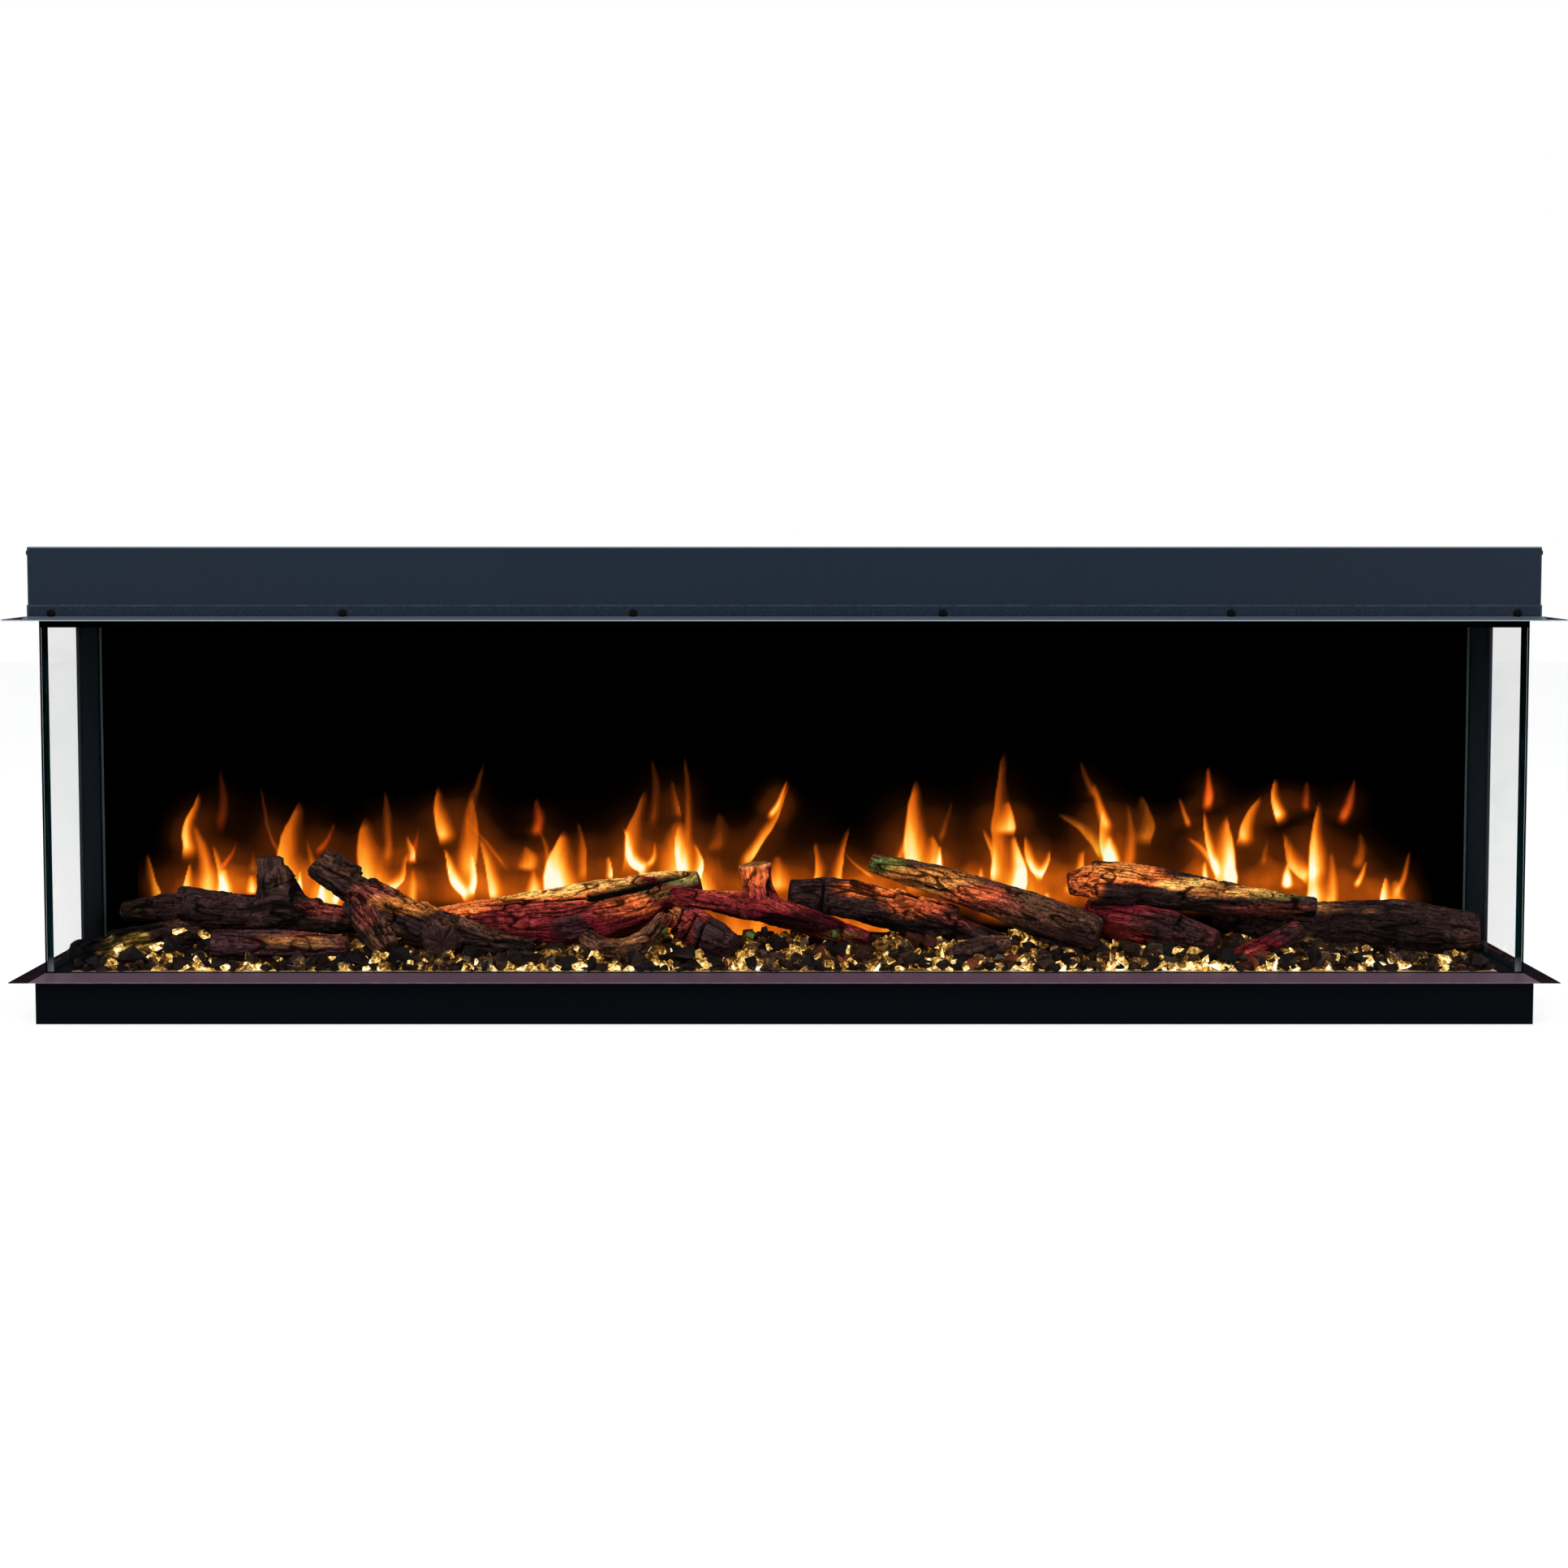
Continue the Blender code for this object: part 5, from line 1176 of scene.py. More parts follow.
@dataclass
class Fixings:
    """The pan-head screws of the front flange, and the smaller ones that hold the end caps and the back."""

    head_radius: float = 0.0036
    head_height: float = 0.0034
    front_height: float = 0.0028
    sides: int = 24
    seat: float = 0.0001
    rows: tuple[float, ...] = (0.5756, 0.5068)
    depths: tuple[float, ...] = (0.0085, 0.182, 0.345)
    back_rows: tuple[float, ...] = (0.5735, 0.4830, 0.0680)
    back_count: int = 9
    margin: float = 0.012
    profile: tuple = ((1.0, 0.0), (1.0, 0.42), (0.93, 0.72), (0.78, 0.91), (0.52, 1.0))
    recess: float = 0.40
    recess_foot: float = 0.45

    front_screws = tuple(f"front_screw_{number}" for number in range(1, 7))

    def build(self) -> None:
        """Turns each screw in its place."""
        for node in self.front_screws:
            low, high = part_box(node)
            middle = Vector(((low.x + high.x) / 2, low.y + self.front_height, (low.z + high.z) / 2))
            head = self._screw(
                f"{node}_head", middle, Vector((0, -1, 0)), (high.x - low.x) / 2, self.front_height)
            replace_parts(head, node)
        for side, label in SIDES:
            low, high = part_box(f"{label}_end_cap")
            face = (high.x if side > 0 else low.x) + side * self.seat
            for row, height in enumerate(self.rows):
                for column, depth in enumerate(self.depths):
                    place = Vector((face, FACE_Y + depth, height))
                    self._screw(f"{label}_end_cap_screw_{row}{column}", place, Vector((side, 0, 0)))
        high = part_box("back_panel")[1]
        for row, height in enumerate(self.back_rows):
            for column in range(self.back_count):
                x = (high.x - self.margin) * (2 * column / (self.back_count - 1) - 1)
                self._screw(
                    f"back_screw_{row}{column}", Vector((x, high.y + self.seat, height)), Vector((0, 1, 0)))

    def _screw(self, name: str, place: Vector, out: Vector, radius: float = 0, height: float = 0) -> Piece:
        """Makes one domed head with a hexagonal recess.

        Args:
            name: its name.
            place: the middle of its seat.
            out: the direction that it stands out in.
            radius: its radius, where it isn't a small one.
            height: its height, likewise.

        Returns:
            The head.
        """
        radius, height = radius or self.head_radius, height or self.head_height
        turns = [math.tau * k / self.sides for k in range(self.sides)]
        points = [(lift * height, share * radius, turn) for share, lift in self.profile for turn in turns]
        for lift in (height, self.recess_foot * height):
            for turn in turns:
                corner = math.cos(math.pi / 6) / math.cos((turn % (math.pi / 3)) - math.pi / 6)
                points.append((lift, self.recess * radius * corner, turn))
        rings = len(points) // self.sides
        floor = [(rings - 1) * self.sides + k for k in range(self.sides)]
        faces = Workshop.bands(self.sides, rings) + [floor, list(reversed(range(self.sides)))]
        across = UP.cross(out)
        corners = [
            place + out * lift + across * reach * math.cos(turn) + UP * reach * math.sin(turn)
            for lift, reach, turn in points
        ]
        return Workshop.piece(name, np.array(corners), faces, OXIDE)


@dataclass
class Panes:
    """The three panes and the flame screen as slabs with ground arrises."""

    arris: float = 0.0004
    screen_arris: float = 0.0012
    clear: float = 0.00003

    def build(self) -> None:
        """Makes each slab in the place of its CAD slab."""
        for name in ("front_glass", "left_glass", "right_glass"):
            piece, thin = self._slab(name, self.arris, PANE_FACE)
            piece.data.materials.append(PANE_EDGE.material())
            for face in piece.data.polygons:
                butted = thin == 0 and face.normal.y > 0.3
                face.material_index = 0 if butted or abs(face.normal[thin]) > 0.9 else 1
        self._slab("flame_screen", self.screen_arris, SCREEN)
        self._seals()

    def _seals(self) -> None:
        """Fills the joint between the front pane and each end pane."""
        front, (low, high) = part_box("front_glass")[1].y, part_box("left_glass")
        near, far = front + self.clear, low.y - self.clear
        outline = [
            (low.x, near), (high.x, near), (high.x, far), (low.x + self.arris, far),
            (low.x, far + self.arris)]
        count = len(outline)
        for side, label in SIDES:
            points = [(-side * x, y, z) for z in (low.z, high.z) for x, y in outline]
            faces = [face[::-side] for face in Workshop.bands(count)]
            faces += [list(range(count))[::side], list(range(count, 2 * count))[::-side]]
            Workshop.piece(f"{label}_corner_seal", np.array(points), faces, PANE_EDGE)

    @staticmethod
    def _slab(name: str, arris: float, finish: Finish) -> tuple[Piece, int]:
        """Makes a slab for a CAD node.

        Args:
            name: the node's name.
            arris: the width of its ground edges.
            finish: its finish.

        Returns:
            The slab, and the number of the axis across its thickness.
        """
        low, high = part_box(name)
        size = high - low
        shape = bmesh.new()
        bmesh.ops.create_cube(shape, size=1.0)
        bmesh.ops.scale(shape, vec=size, verts=shape.verts)
        bmesh.ops.translate(shape, vec=(low + high) / 2, verts=shape.verts)
        bmesh.ops.bevel(shape, geom=shape.edges[:], offset=arris, segments=2, affect="EDGES")
        piece = Workshop.adopt(name + "_slab", Workshop.mesh(name + "_slab", shape), finish)
        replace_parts(piece, name)
        return piece, min(range(3), key=lambda axis: size[axis])


# Flames


class Edge(Enum):
    """Which side of a flame is cut crisp."""

    SOFT = 0
    LEFT = -1
    RIGHT = 1


@dataclass(frozen=True)
class Tongue:
    """One lick of flame in the photograph's pixels, from its tip to its foot."""

    tip_u: float
    tip_v: float
    foot_u: float
    foot_v: float
    span: float
    heat: float
    bow: float = 0.0
    edge: Edge = Edge.SOFT
    tinge: Colour = (1.0, 1.0, 1.0)


LEAFY = (0.78, 1.0, 1.0)
RUDDY = (1.0, 0.62, 0.9)
LEFT, RIGHT, SOFT = Edge.LEFT, Edge.RIGHT, Edge.SOFT

TONGUES = tuple(Tongue(*row) for row in (
    (180, 1050, 196, 1110, 13, 0.72, 0, RIGHT, LEAFY), (242, 973, 234, 1047, 16, 0.88, -4, LEFT),
    (244, 1007, 257, 1106, 24, 0.76, 3), (263, 1035, 275, 1102, 11, 0.86, 3, LEFT),
    (291, 1035, 276, 1066, 9, 0.52, 2, SOFT, RUDDY), (277, 1066, 277, 1110, 26, 1.1),
    (240, 1060, 217, 1114, 17, 1.08, 5, LEFT), (272, 943, 272, 1012, 15, 0.3, 2, SOFT, RUDDY),
    (316, 966, 342, 1046, 6, 0.36, -3), (365, 982, 355, 1089, 34, 0.84, -5, LEFT),
    (413, 1010, 395, 1048, 9, 0.44, 2, SOFT, RUDDY), (379, 1030, 387, 1065, 8, 0.44),
    (311, 1077, 311, 1099, 15, 0.95), (313, 1046, 313, 1072, 11, 0.4, 0, SOFT, LEAFY),
    (404, 1066, 402, 1118, 54, 0.8), (397, 1078, 394, 1112, 9, 1.1, 1, LEFT),
    (416, 1076, 412, 1110, 8, 1.08, 1, RIGHT), (371, 1072, 371, 1098, 7, 1.15),
    (451, 1003, 469, 1108, 42, 0.92, -6, LEFT), (476, 968, 476, 1056, 16, 0.46, 2),
    (503, 1029, 509, 1060, 10, 0.82, 2, RIGHT), (511, 1052, 480, 1094, 13, 0.86, 6, RIGHT),
    (516, 1018, 511, 1056, 8, 0.44, 0, SOFT, RUDDY), (510, 1068, 510, 1108, 16, 0.7),
    (541, 967, 549, 1031, 22, 0.82, -4, LEFT), (597, 932, 574, 1068, 20, 0.42, -5),
    (588, 975, 572, 1072, 26, 0.62, 4, RIGHT), (543, 1044, 573, 1102, 15, 1.22, -4, LEFT),
    (582, 1048, 580, 1097, 11, 1.12, 1, RIGHT), (591, 1027, 611, 1102, 18, 0.9, 2, LEFT),
    (567, 1002, 618, 1063, 5, 0.44, 2), (650, 1040, 648, 1070, 27, 0.72, 3),
    (663, 981, 661, 1024, 17, 0.5, 2, SOFT, RUDDY), (664, 1012, 674, 1066, 9, 0.46, 2),
    (691, 1022, 688, 1099, 45, 1.2, -3, LEFT), (710, 1008, 718, 1078, 12, 0.54, 3, RIGHT),
    (656, 1070, 657, 1100, 22, 0.9), (750, 1054, 750, 1079, 9, 1.05, 0, RIGHT),
    (790, 970, 778, 1062, 24, 0.68, -5, LEFT), (761, 1020, 793, 1070, 16, 1.22, -6, LEFT),
    (811, 1037, 801, 1065, 9, 0.78, 2), (836, 1004, 836, 1084, 56, 0.82),
    (838, 1012, 842, 1070, 17, 0.94, -3, LEFT), (853, 1036, 860, 1078, 13, 1.02, 5, RIGHT),
    (845, 925, 847, 1032, 13, 0.42, 2), (826, 960, 835, 1004, 9, 0.44, 0, RIGHT),
    (805, 928, 806, 1010, 16, 0.3, 2), (866, 1070, 864, 1100, 46, 0.84), (888, 998, 884, 1044, 28, 0.36, 3),
    (973, 961, 921, 1058, 12, 0.84, 5, RIGHT), (970, 961, 950, 1002, 9, 0.94, 2),
    (958, 1050, 958, 1094, 34, 0.68), (1008, 1038, 1008, 1086, 14, 0.7, 2, LEFT),
    (1043, 1014, 1031, 1086, 11, 0.7, -2, RIGHT), (1034, 1044, 1072, 1078, 5, 0.62, -2),
    (1118, 1015, 1106, 1066, 10, 0.62, 2), (1127, 958, 1130, 1081, 34, 1.04, -3, LEFT),
    (1151, 1024, 1147, 1082, 29, 0.88, 3, RIGHT), (1158, 1038, 1157, 1076, 7, 1.1, 0, RIGHT),
    (1174, 982, 1160, 1032, 11, 0.34), (1208, 1066, 1207, 1099, 13, 0.95),
    (1238, 921, 1232, 1076, 23, 0.64, -3, LEFT), (1240, 984, 1240, 1023, 22, 0.92, 1, RIGHT),
    (1215, 1017, 1226, 1078, 12, 0.88, 2, LEFT), (1250, 1024, 1255, 1096, 26, 1.2, 3, RIGHT),
    (1258, 1027, 1279, 1076, 14, 0.96, -2, LEFT), (1293, 1046, 1281, 1078, 10, 0.98, 1, RIGHT),
    (1256, 1062, 1256, 1128, 118, 0.8), (1290, 1098, 1289, 1124, 20, 1.15),
    (1302, 997, 1358, 1050, 17, 0.66, 4, LEFT, LEAFY), (1340, 1046, 1320, 1096, 15, 1.06, 4, RIGHT),
    (1331, 932, 1347, 978, 9, 0.36), (1345, 962, 1364, 1018, 16, 0.74, -2),
    (1357, 995, 1372, 1068, 21, 0.96, -3, LEFT), (1366, 1028, 1368, 1074, 27, 1.2, 2),
    (1390, 985, 1390, 1078, 18, 0.56, 4), (1411, 976, 1409, 1034, 26, 0.55, 4, RIGHT, LEAFY),
    (1453, 980, 1465, 1014, 9, 0.62), (1488, 942, 1487, 990, 14, 0.72, 1, SOFT, RUDDY),
    (1481, 992, 1500, 1075, 12, 1.0, -3, LEFT), (1511, 1000, 1513, 1087, 32, 1.12, -2, RIGHT),
    (1461, 1029, 1497, 1070, 13, 0.8, 3), (1483, 1058, 1483, 1096, 13, 1.25),
    (1550, 976, 1532, 1034, 20, 0.84, -4, LEFT), (1561, 1028, 1556, 1062, 9, 0.4),
    (1569, 958, 1577, 1006, 15, 0.96, -2, LEFT), (1610, 960, 1608, 996, 11, 0.44, 0, SOFT, RUDDY),
    (1627, 984, 1621, 1077, 21, 0.98, -2, LEFT), (1575, 1026, 1611, 1078, 22, 0.86, -5, LEFT),
    (1586, 1060, 1586, 1090, 14, 1.25), (1621, 1064, 1620, 1116, 32, 1.05, 1, LEFT),
    (1641, 1044, 1640, 1124, 20, 0.8, 2), (1667, 957, 1656, 1007, 14, 0.56, 1, SOFT, RUDDY),
    (1676, 1024, 1674, 1064, 16, 0.46, 2), (1685, 1058, 1673, 1088, 9, 0.9, 1),
    (1739, 1045, 1720, 1099, 11, 0.62, 2), (1706, 1076, 1706, 1122, 14, 1.22, 0, LEFT),
    (1720, 1080, 1716, 1124, 28, 0.78, 2),
))


@dataclass
class FlameScreen:
    """The picture of flames that stands on the black screen, raised a little where it is hottest."""

    behind: float = 0.0003
    relief: float = 0.0044
    step: float = 1.6
    left: float = 170.0
    right: float = 1766.0
    top: float = 905.0
    foot: float = 1162.0
    least: float = 0.035
    most: float = 1.2
    merge: float = 2.4
    u: Array = field(init=False)
    v: Array = field(init=False)

    def build(self) -> None:
        """Makes one sheet over every place that is hot enough."""
        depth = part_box("flame_screen")[0].y - FACE_Y - self.behind
        across = np.arange(self.left, self.right, self.step)
        self.u, self.v = np.meshgrid(across, np.arange(self.top, self.foot, self.step))
        heat, tinge = self._fire()
        hot = heat > self.least
        rows, columns = np.nonzero(hot[:-1, :-1] | hot[1:, :-1] | hot[:-1, 1:] | hot[1:, 1:])
        wide = len(across)
        corner = rows * wide + columns
        quads = np.stack([corner + wide, corner + wide + 1, corner + 1, corner], axis=1)
        used, index = np.unique(quads, return_inverse=True)
        heat, tinge = heat.ravel()[used], tinge.reshape(-1, 3)[used]
        lift = np.clip(heat, 0, self.most) / self.most * self.relief
        points = [
            VIEW.at(a, b, depth - c) for a, b, c in zip(self.u.ravel()[used], self.v.ravel()[used], lift)]
        mesh = Workshop.piece("flame_sheet", np.array(points), index.reshape(-1, 4).tolist(), FLAME).data
        Workshop.store(mesh, "fire", heat / self.most)
        Workshop.store(mesh, "tinge", np.c_[tinge, np.ones(len(tinge))])
        mesh.shade_smooth()

    def _cells(self, wide: float, high: float, seed: int) -> Array:
        """A smooth field over the pixels, in cells of the given size."""
        points = np.stack([self.u.ravel() / wide, self.v.ravel() / high, np.full(self.u.size, 0.5)], axis=1)
        return Grain.layers(points, seed, 2).reshape(self.u.shape)

    def _haze(self) -> Array:
        """The glow behind the tongues: ragged above, and bright where it shows between the logs.

        Returns:
            The heat at each pixel.
        """
        u, v = self.u, self.v
        lick = self._cells(46, 110, 5)
        cloud = self._cells(95, 80, 9)
        rise = np.clip((v - 945 - 40 * cloud - 34 * lick) / 160, 0, 1)
        heat = rise**1.7 * (0.33 + 0.16 * lick + 0.12 * cloud)
        base = ease(1044, 1096, v + 20 * lick) * (0.45 + 0.24 * self._cells(38, 34, 13) + 0.14 * lick)
        heat = np.maximum(heat, base)
        open_gap = ease(690, 790, u) * ease(1200, 1090, u)
        heat = heat * np.maximum(ease(1136, 1104, v), open_gap)
        heat = np.maximum(heat, ease(1108, 1130, v) * open_gap * (0.62 + 0.36 * self._cells(15, 55, 15)))
        ends = ease(180, 262, u) * ease(1762, 1672, u + 0.3 * (1060 - v))
        return np.maximum(heat, 0) * ends * ease(self.foot, self.foot - 8, v)

    def _fire(self) -> tuple[Array, Array]:
        """The haze and all tongues together.

        Returns:
            The heat at each pixel, and the tinge that the tongues give it.
        """
        u, v = self.u, self.v
        sway_u = self._cells(34, 60, 21) * 4.5 + self._cells(11, 20, 25) * 1.6
        sway_v = self._cells(30, 40, 23) * 4.0
        streak = self._cells(5, 46, 31)
        total = self._haze() ** self.merge
        glow = np.zeros(u.shape)
        tinge = np.zeros((*u.shape, 3))
        for number, tongue in enumerate(TONGUES):
            side = tongue.span * 2.4 + abs(tongue.bow) + 22
            tall = (tongue.foot_v - tongue.tip_v) * 0.4 + 8
            near = (u > min(tongue.tip_u, tongue.foot_u) - side) & (
                u < max(tongue.tip_u, tongue.foot_u) + side)
            near &= (v > tongue.tip_v - 8) & (v < tongue.foot_v + tall)
            rows, columns = np.nonzero(near)
            box = (slice(rows.min(), rows.max() + 1), slice(columns.min(), columns.max() + 1))
            own, halo = self._lick(tongue, u[box] + sway_u[box], v[box] + sway_v[box], streak[box], number)
            total[box] += own**self.merge
            glow[box] += halo
            tinge[box] += own[..., None] * (np.array(tongue.tinge) - 1)
        total += (0.62 * (1 - np.exp(-glow))) ** self.merge * ease(self.foot, self.foot - 8, v)
        heat = total ** (1 / self.merge)
        return heat, np.clip(1 + tinge / (heat[..., None] + 0.05), 0, 1)

    @staticmethod
    def _lick(
        tongue: Tongue, u: Array, v: Array, streak: Array, number: int
    ) -> tuple[Array, Array]:
        """One tongue by itself.

        Args:
            tongue: the tongue.
            u: the pixels' columns.
            v: the pixels' rows.
            streak: the fine streaks at each pixel.
            number: the tongue's number, which sets how it sways.

        Returns:
            The heat of the tongue, and of the glow round it.
        """
        along_u, along_v = tongue.tip_u - tongue.foot_u, tongue.tip_v - tongue.foot_v
        length = math.hypot(along_u, along_v)
        share = ((u - tongue.foot_u) * along_u + (v - tongue.foot_v) * along_v) / length**2
        aside = ((u - tongue.foot_u) * -along_v + (v - tongue.foot_v) * along_u) / length
        inside = np.clip(share, 0.0, 1.0)
        aside = aside - tongue.bow * np.sin(inside * math.pi * (1.3 + 0.3 * math.sin(number)))
        half = tongue.span * 0.56 * (inside + 0.45) ** 0.35 * (1.0 - inside) ** 0.8 + 0.5
        reach = aside / half
        if tongue.edge is Edge.SOFT:
            body = np.exp(-0.9 * reach**2) * ease(1.7, 0.8, np.abs(reach))
        else:
            side = reach * tongue.edge.value
            body = ease(1.15, 0.75, side) * (0.40 + 0.60 * ease(-1.4, 0.45, side)) * ease(-2.2, -0.8, side)
        fade = ease(-0.30, 0.08, share) * (1 - 0.60 * inside**1.2) * ease(1.02, 0.82, share)
        halo = np.exp(-0.5 * (aside / (tongue.span * 0.75 + 8)) ** 2)
        halo = halo * ease(-0.28, 0.12, share) * ease(1.12, 0.35, share)
        return 1.17 * tongue.heat * body * fade * (1 + 0.12 * streak), 0.50 * tongue.heat * halo


# Embers


class Kind(Enum):
    """What a piece of the ember bed is made of."""

    AMBER = "amber"
    SMOKY = "smoky"
    COAL = "coal"
    RUST = "rust"
    CHIP = "chip"


@dataclass(frozen=True)
class Lump:
    """A lump of the ember bed that stands out in the photograph: its middle and size in pixels."""

    u: float
    v: float
    wide: float
    high: float
    glow: float
    depth: float
    kind: Kind = Kind.COAL


LUMPS = tuple(Lump(*row) for row in (
    (166, 1184, 40, 32, 0.1, 0.06), (213, 1166, 23, 28, 0.1, 0.062), (270, 1187, 22, 16, 0.2, 0.054),
    (128, 1190, 28, 18, 0.2, 0.056), (356, 1190, 24, 14, 0.2, 0.053), (389, 1184, 14, 12, 0.2, 0.055),
    (442, 1186, 32, 30, 0.1, 0.058), (492, 1184, 30, 30, 0.1, 0.06), (520, 1190, 18, 12, 0.6, 0.052),
    (567, 1190, 18, 18, 0.2, 0.054), (640, 1184, 26, 20, 0.4, 0.058), (683, 1178, 22, 22, 0.8, 0.062),
    (728, 1188, 22, 18, 0.2, 0.055), (796, 1192, 22, 12, 0.2, 0.052), (836, 1176, 42, 24, 0.4, 0.062),
    (848, 1192, 34, 12, 0.5, 0.052), (885, 1188, 22, 18, 0.1, 0.056), (944, 1184, 26, 20, 0.6, 0.058),
    (966, 1160, 36, 22, 0.0, 0.09), (942, 1148, 9, 16, 0.1, 0.11), (996, 1189, 20, 20, 0.3, 0.055),
    (1037, 1170, 30, 20, 0.0, 0.075), (1092, 1166, 34, 20, 0.7, 0.085), (1140, 1188, 22, 14, 0.3, 0.054),
    (1362, 1182, 20, 24, 0.8, 0.06), (1435, 1190, 28, 16, 0.4, 0.054), (1512, 1180, 26, 28, 0.1, 0.06),
    (1588, 1192, 22, 10, 0.2, 0.052), (1618, 1176, 22, 24, 0.1, 0.064), (1665, 1190, 18, 14, 0.5, 0.054),
    (1714, 1192, 20, 11, 0.2, 0.052), (1772, 1190, 20, 12, 0.3, 0.053), (1818, 1186, 30, 18, 0.3, 0.056),
    (222, 1148, 18, 9, 1.2, 0.105, Kind.AMBER), (252, 1152, 16, 12, 1.2, 0.1, Kind.AMBER),
    (196, 1166, 20, 11, 1.4, 0.085, Kind.AMBER), (148, 1170, 14, 14, 1.5, 0.075, Kind.AMBER),
    (1122, 1160, 36, 20, 0.9, 0.1, Kind.RUST), (1146, 1158, 26, 18, 0.5, 0.104, Kind.RUST),
    (1062, 1180, 28, 16, 0.2, 0.06, Kind.RUST), (1530, 1190, 22, 14, 0.3, 0.054, Kind.RUST),
    (925, 1153, 14, 12, 0.3, 0.09, Kind.CHIP), (1028, 1150, 10, 9, 0.3, 0.1, Kind.CHIP),
    (820, 1148, 11, 9, 0.3, 0.095, Kind.CHIP),
))


@dataclass
class EmberBed:
    """Crushed glass and coals over the glowing bed."""

    seed: int = 41
    pitch: float = 0.0142
    front: float = 0.0468
    rear: float = 0.259
    half: float = 0.892
    left_end: float = 0.858
    templates: int = 28
    corners: int = 11
    columns: int = 420
    rows: int = 52
    grit: float = 0.0065
    sink: float = 0.0022
    least: float = 0.0056
    spread: float = 0.0086
    front_sizes: tuple[float, float] = (0.0070, 0.0120)
    overhang: float = 0.006
    near: float = 0.0006
    clear: float = 0.0002
    draw: random.Random = field(init=False)
    surface: BVHTree = field(init=False)
    shapes: list = field(init=False)
    batches: dict[Kind, list] = field(init=False)

    def build(self) -> None:
        """Lays the bed, then scatters the crystals and coals over it."""
        self.draw = random.Random(self.seed)
        bed = NODES["ember_bed"].data
        faces = [list(face.vertices) for face in bed.polygons]
        self.surface = BVHTree.FromPolygons([vertex.co.copy() for vertex in bed.vertices], faces)
        self.shapes = [self._shard() for _ in range(self.templates)]
        self.batches = {kind: [] for kind in Kind}
        self._gravel()
        self._scatter()
        self._front_row()
        self._lumps()
        for kind, finish in zip(Kind, (AMBER, SMOKY, COAL, RUST, CHIP)):
            self._merge(kind, finish)

    def _height(self, x: float, depth: float) -> float:
        """The bed's height under a place, or the rim's beside it."""
        hit = self.surface.ray_cast(Vector((x, FACE_Y + depth, 0.3)), -UP)[0]
        return max(hit.z, RIM_TOP) if hit else RIM_TOP

    def _shard(self) -> tuple[Array, list]:
        """Makes one faceted lump of unit size.

        Returns:
            Its corners and its faces.
        """
        shape = bmesh.new()
        for _ in range(self.corners):
            spot = Vector([self.draw.gauss(0, 1) for _ in range(3)]).normalized()
            shape.verts.new(spot * self.draw.uniform(0.78, 1.0))
        bmesh.ops.convex_hull(shape, input=shape.verts)
        loose = [vertex for vertex in shape.verts if not vertex.link_faces]
        bmesh.ops.delete(shape, geom=loose, context="VERTS")
        bmesh.ops.recalc_face_normals(shape, faces=shape.faces)
        shape.verts.index_update()
        points = np.array([vertex.co for vertex in shape.verts])
        faces = [[vertex.index for vertex in face.verts] for face in shape.faces]
        shape.free()
        return points, faces

    def _gravel(self) -> None:
        """Makes the small stuff that fills the bed between the crystals."""
        low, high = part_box("ember_bed")
        wide, deep = self.columns, self.rows
        grid = np.meshgrid(np.linspace(low.x, high.x, wide), np.linspace(low.y, high.y, deep))
        x, y = (places.ravel() for places in grid)
        flat = np.stack([x / self.grit, y / self.grit, np.zeros(x.size)], axis=1)
        rough = Grain.layers(flat, 77, 2)
        edge = np.minimum.reduce([x - low.x, high.x - x, y - low.y, high.y - y])
        z = np.array([self._height(a, b - FACE_Y) for a, b in zip(x, y)])
        z = z + rough * 0.0016 * np.clip(edge / 0.004, 0, 1) - self.sink
        points = np.stack([x, y, z], axis=1)
        steps = np.meshgrid(np.arange(deep - 1), np.arange(wide - 1), indexing="ij")
        corner = (steps[0] * wide + steps[1]).ravel()
        faces = np.stack([corner, corner + 1, corner + wide + 1, corner + wide], axis=1).tolist()
        count = wide * deep
        rim = list(range(wide)) + [k * wide + wide - 1 for k in range(1, deep)]
        rim += [count - 1 - k for k in range(1, wide)] + [k * wide for k in range(deep - 2, 0, -1)]
        sunk = points[rim].copy()
        sunk[:, 2] = low.z
        turns = [(k, (k + 1) % len(rim)) for k in range(len(rim))]
        faces += [[rim[a], count + a, count + b, rim[b]] for a, b in turns]
        faces.append([count + k for k in reversed(range(len(rim)))])
        piece = Workshop.piece("ember_gravel", np.concatenate([points, sunk]), faces, AMBER)
        forward = ease(low.y + 0.03, low.y, y)
        glow = 0.02 + 0.34 * Grain.field(flat * 0.4, 12) - 0.26 * rough + 0.22 * forward
        glow -= ease(0.01 - self.left_end, -self.left_end, x)
        Workshop.store(piece.data, "glow", np.concatenate([glow, np.full(len(rim), 0.1)]))
        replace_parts(piece, "ember_bed")

    def _add(self, kind: Kind, *item: float) -> None:
        """Adds a shard to its batch: its x, depth, height, half width, half height and glow."""
        self.batches[kind].append(item)

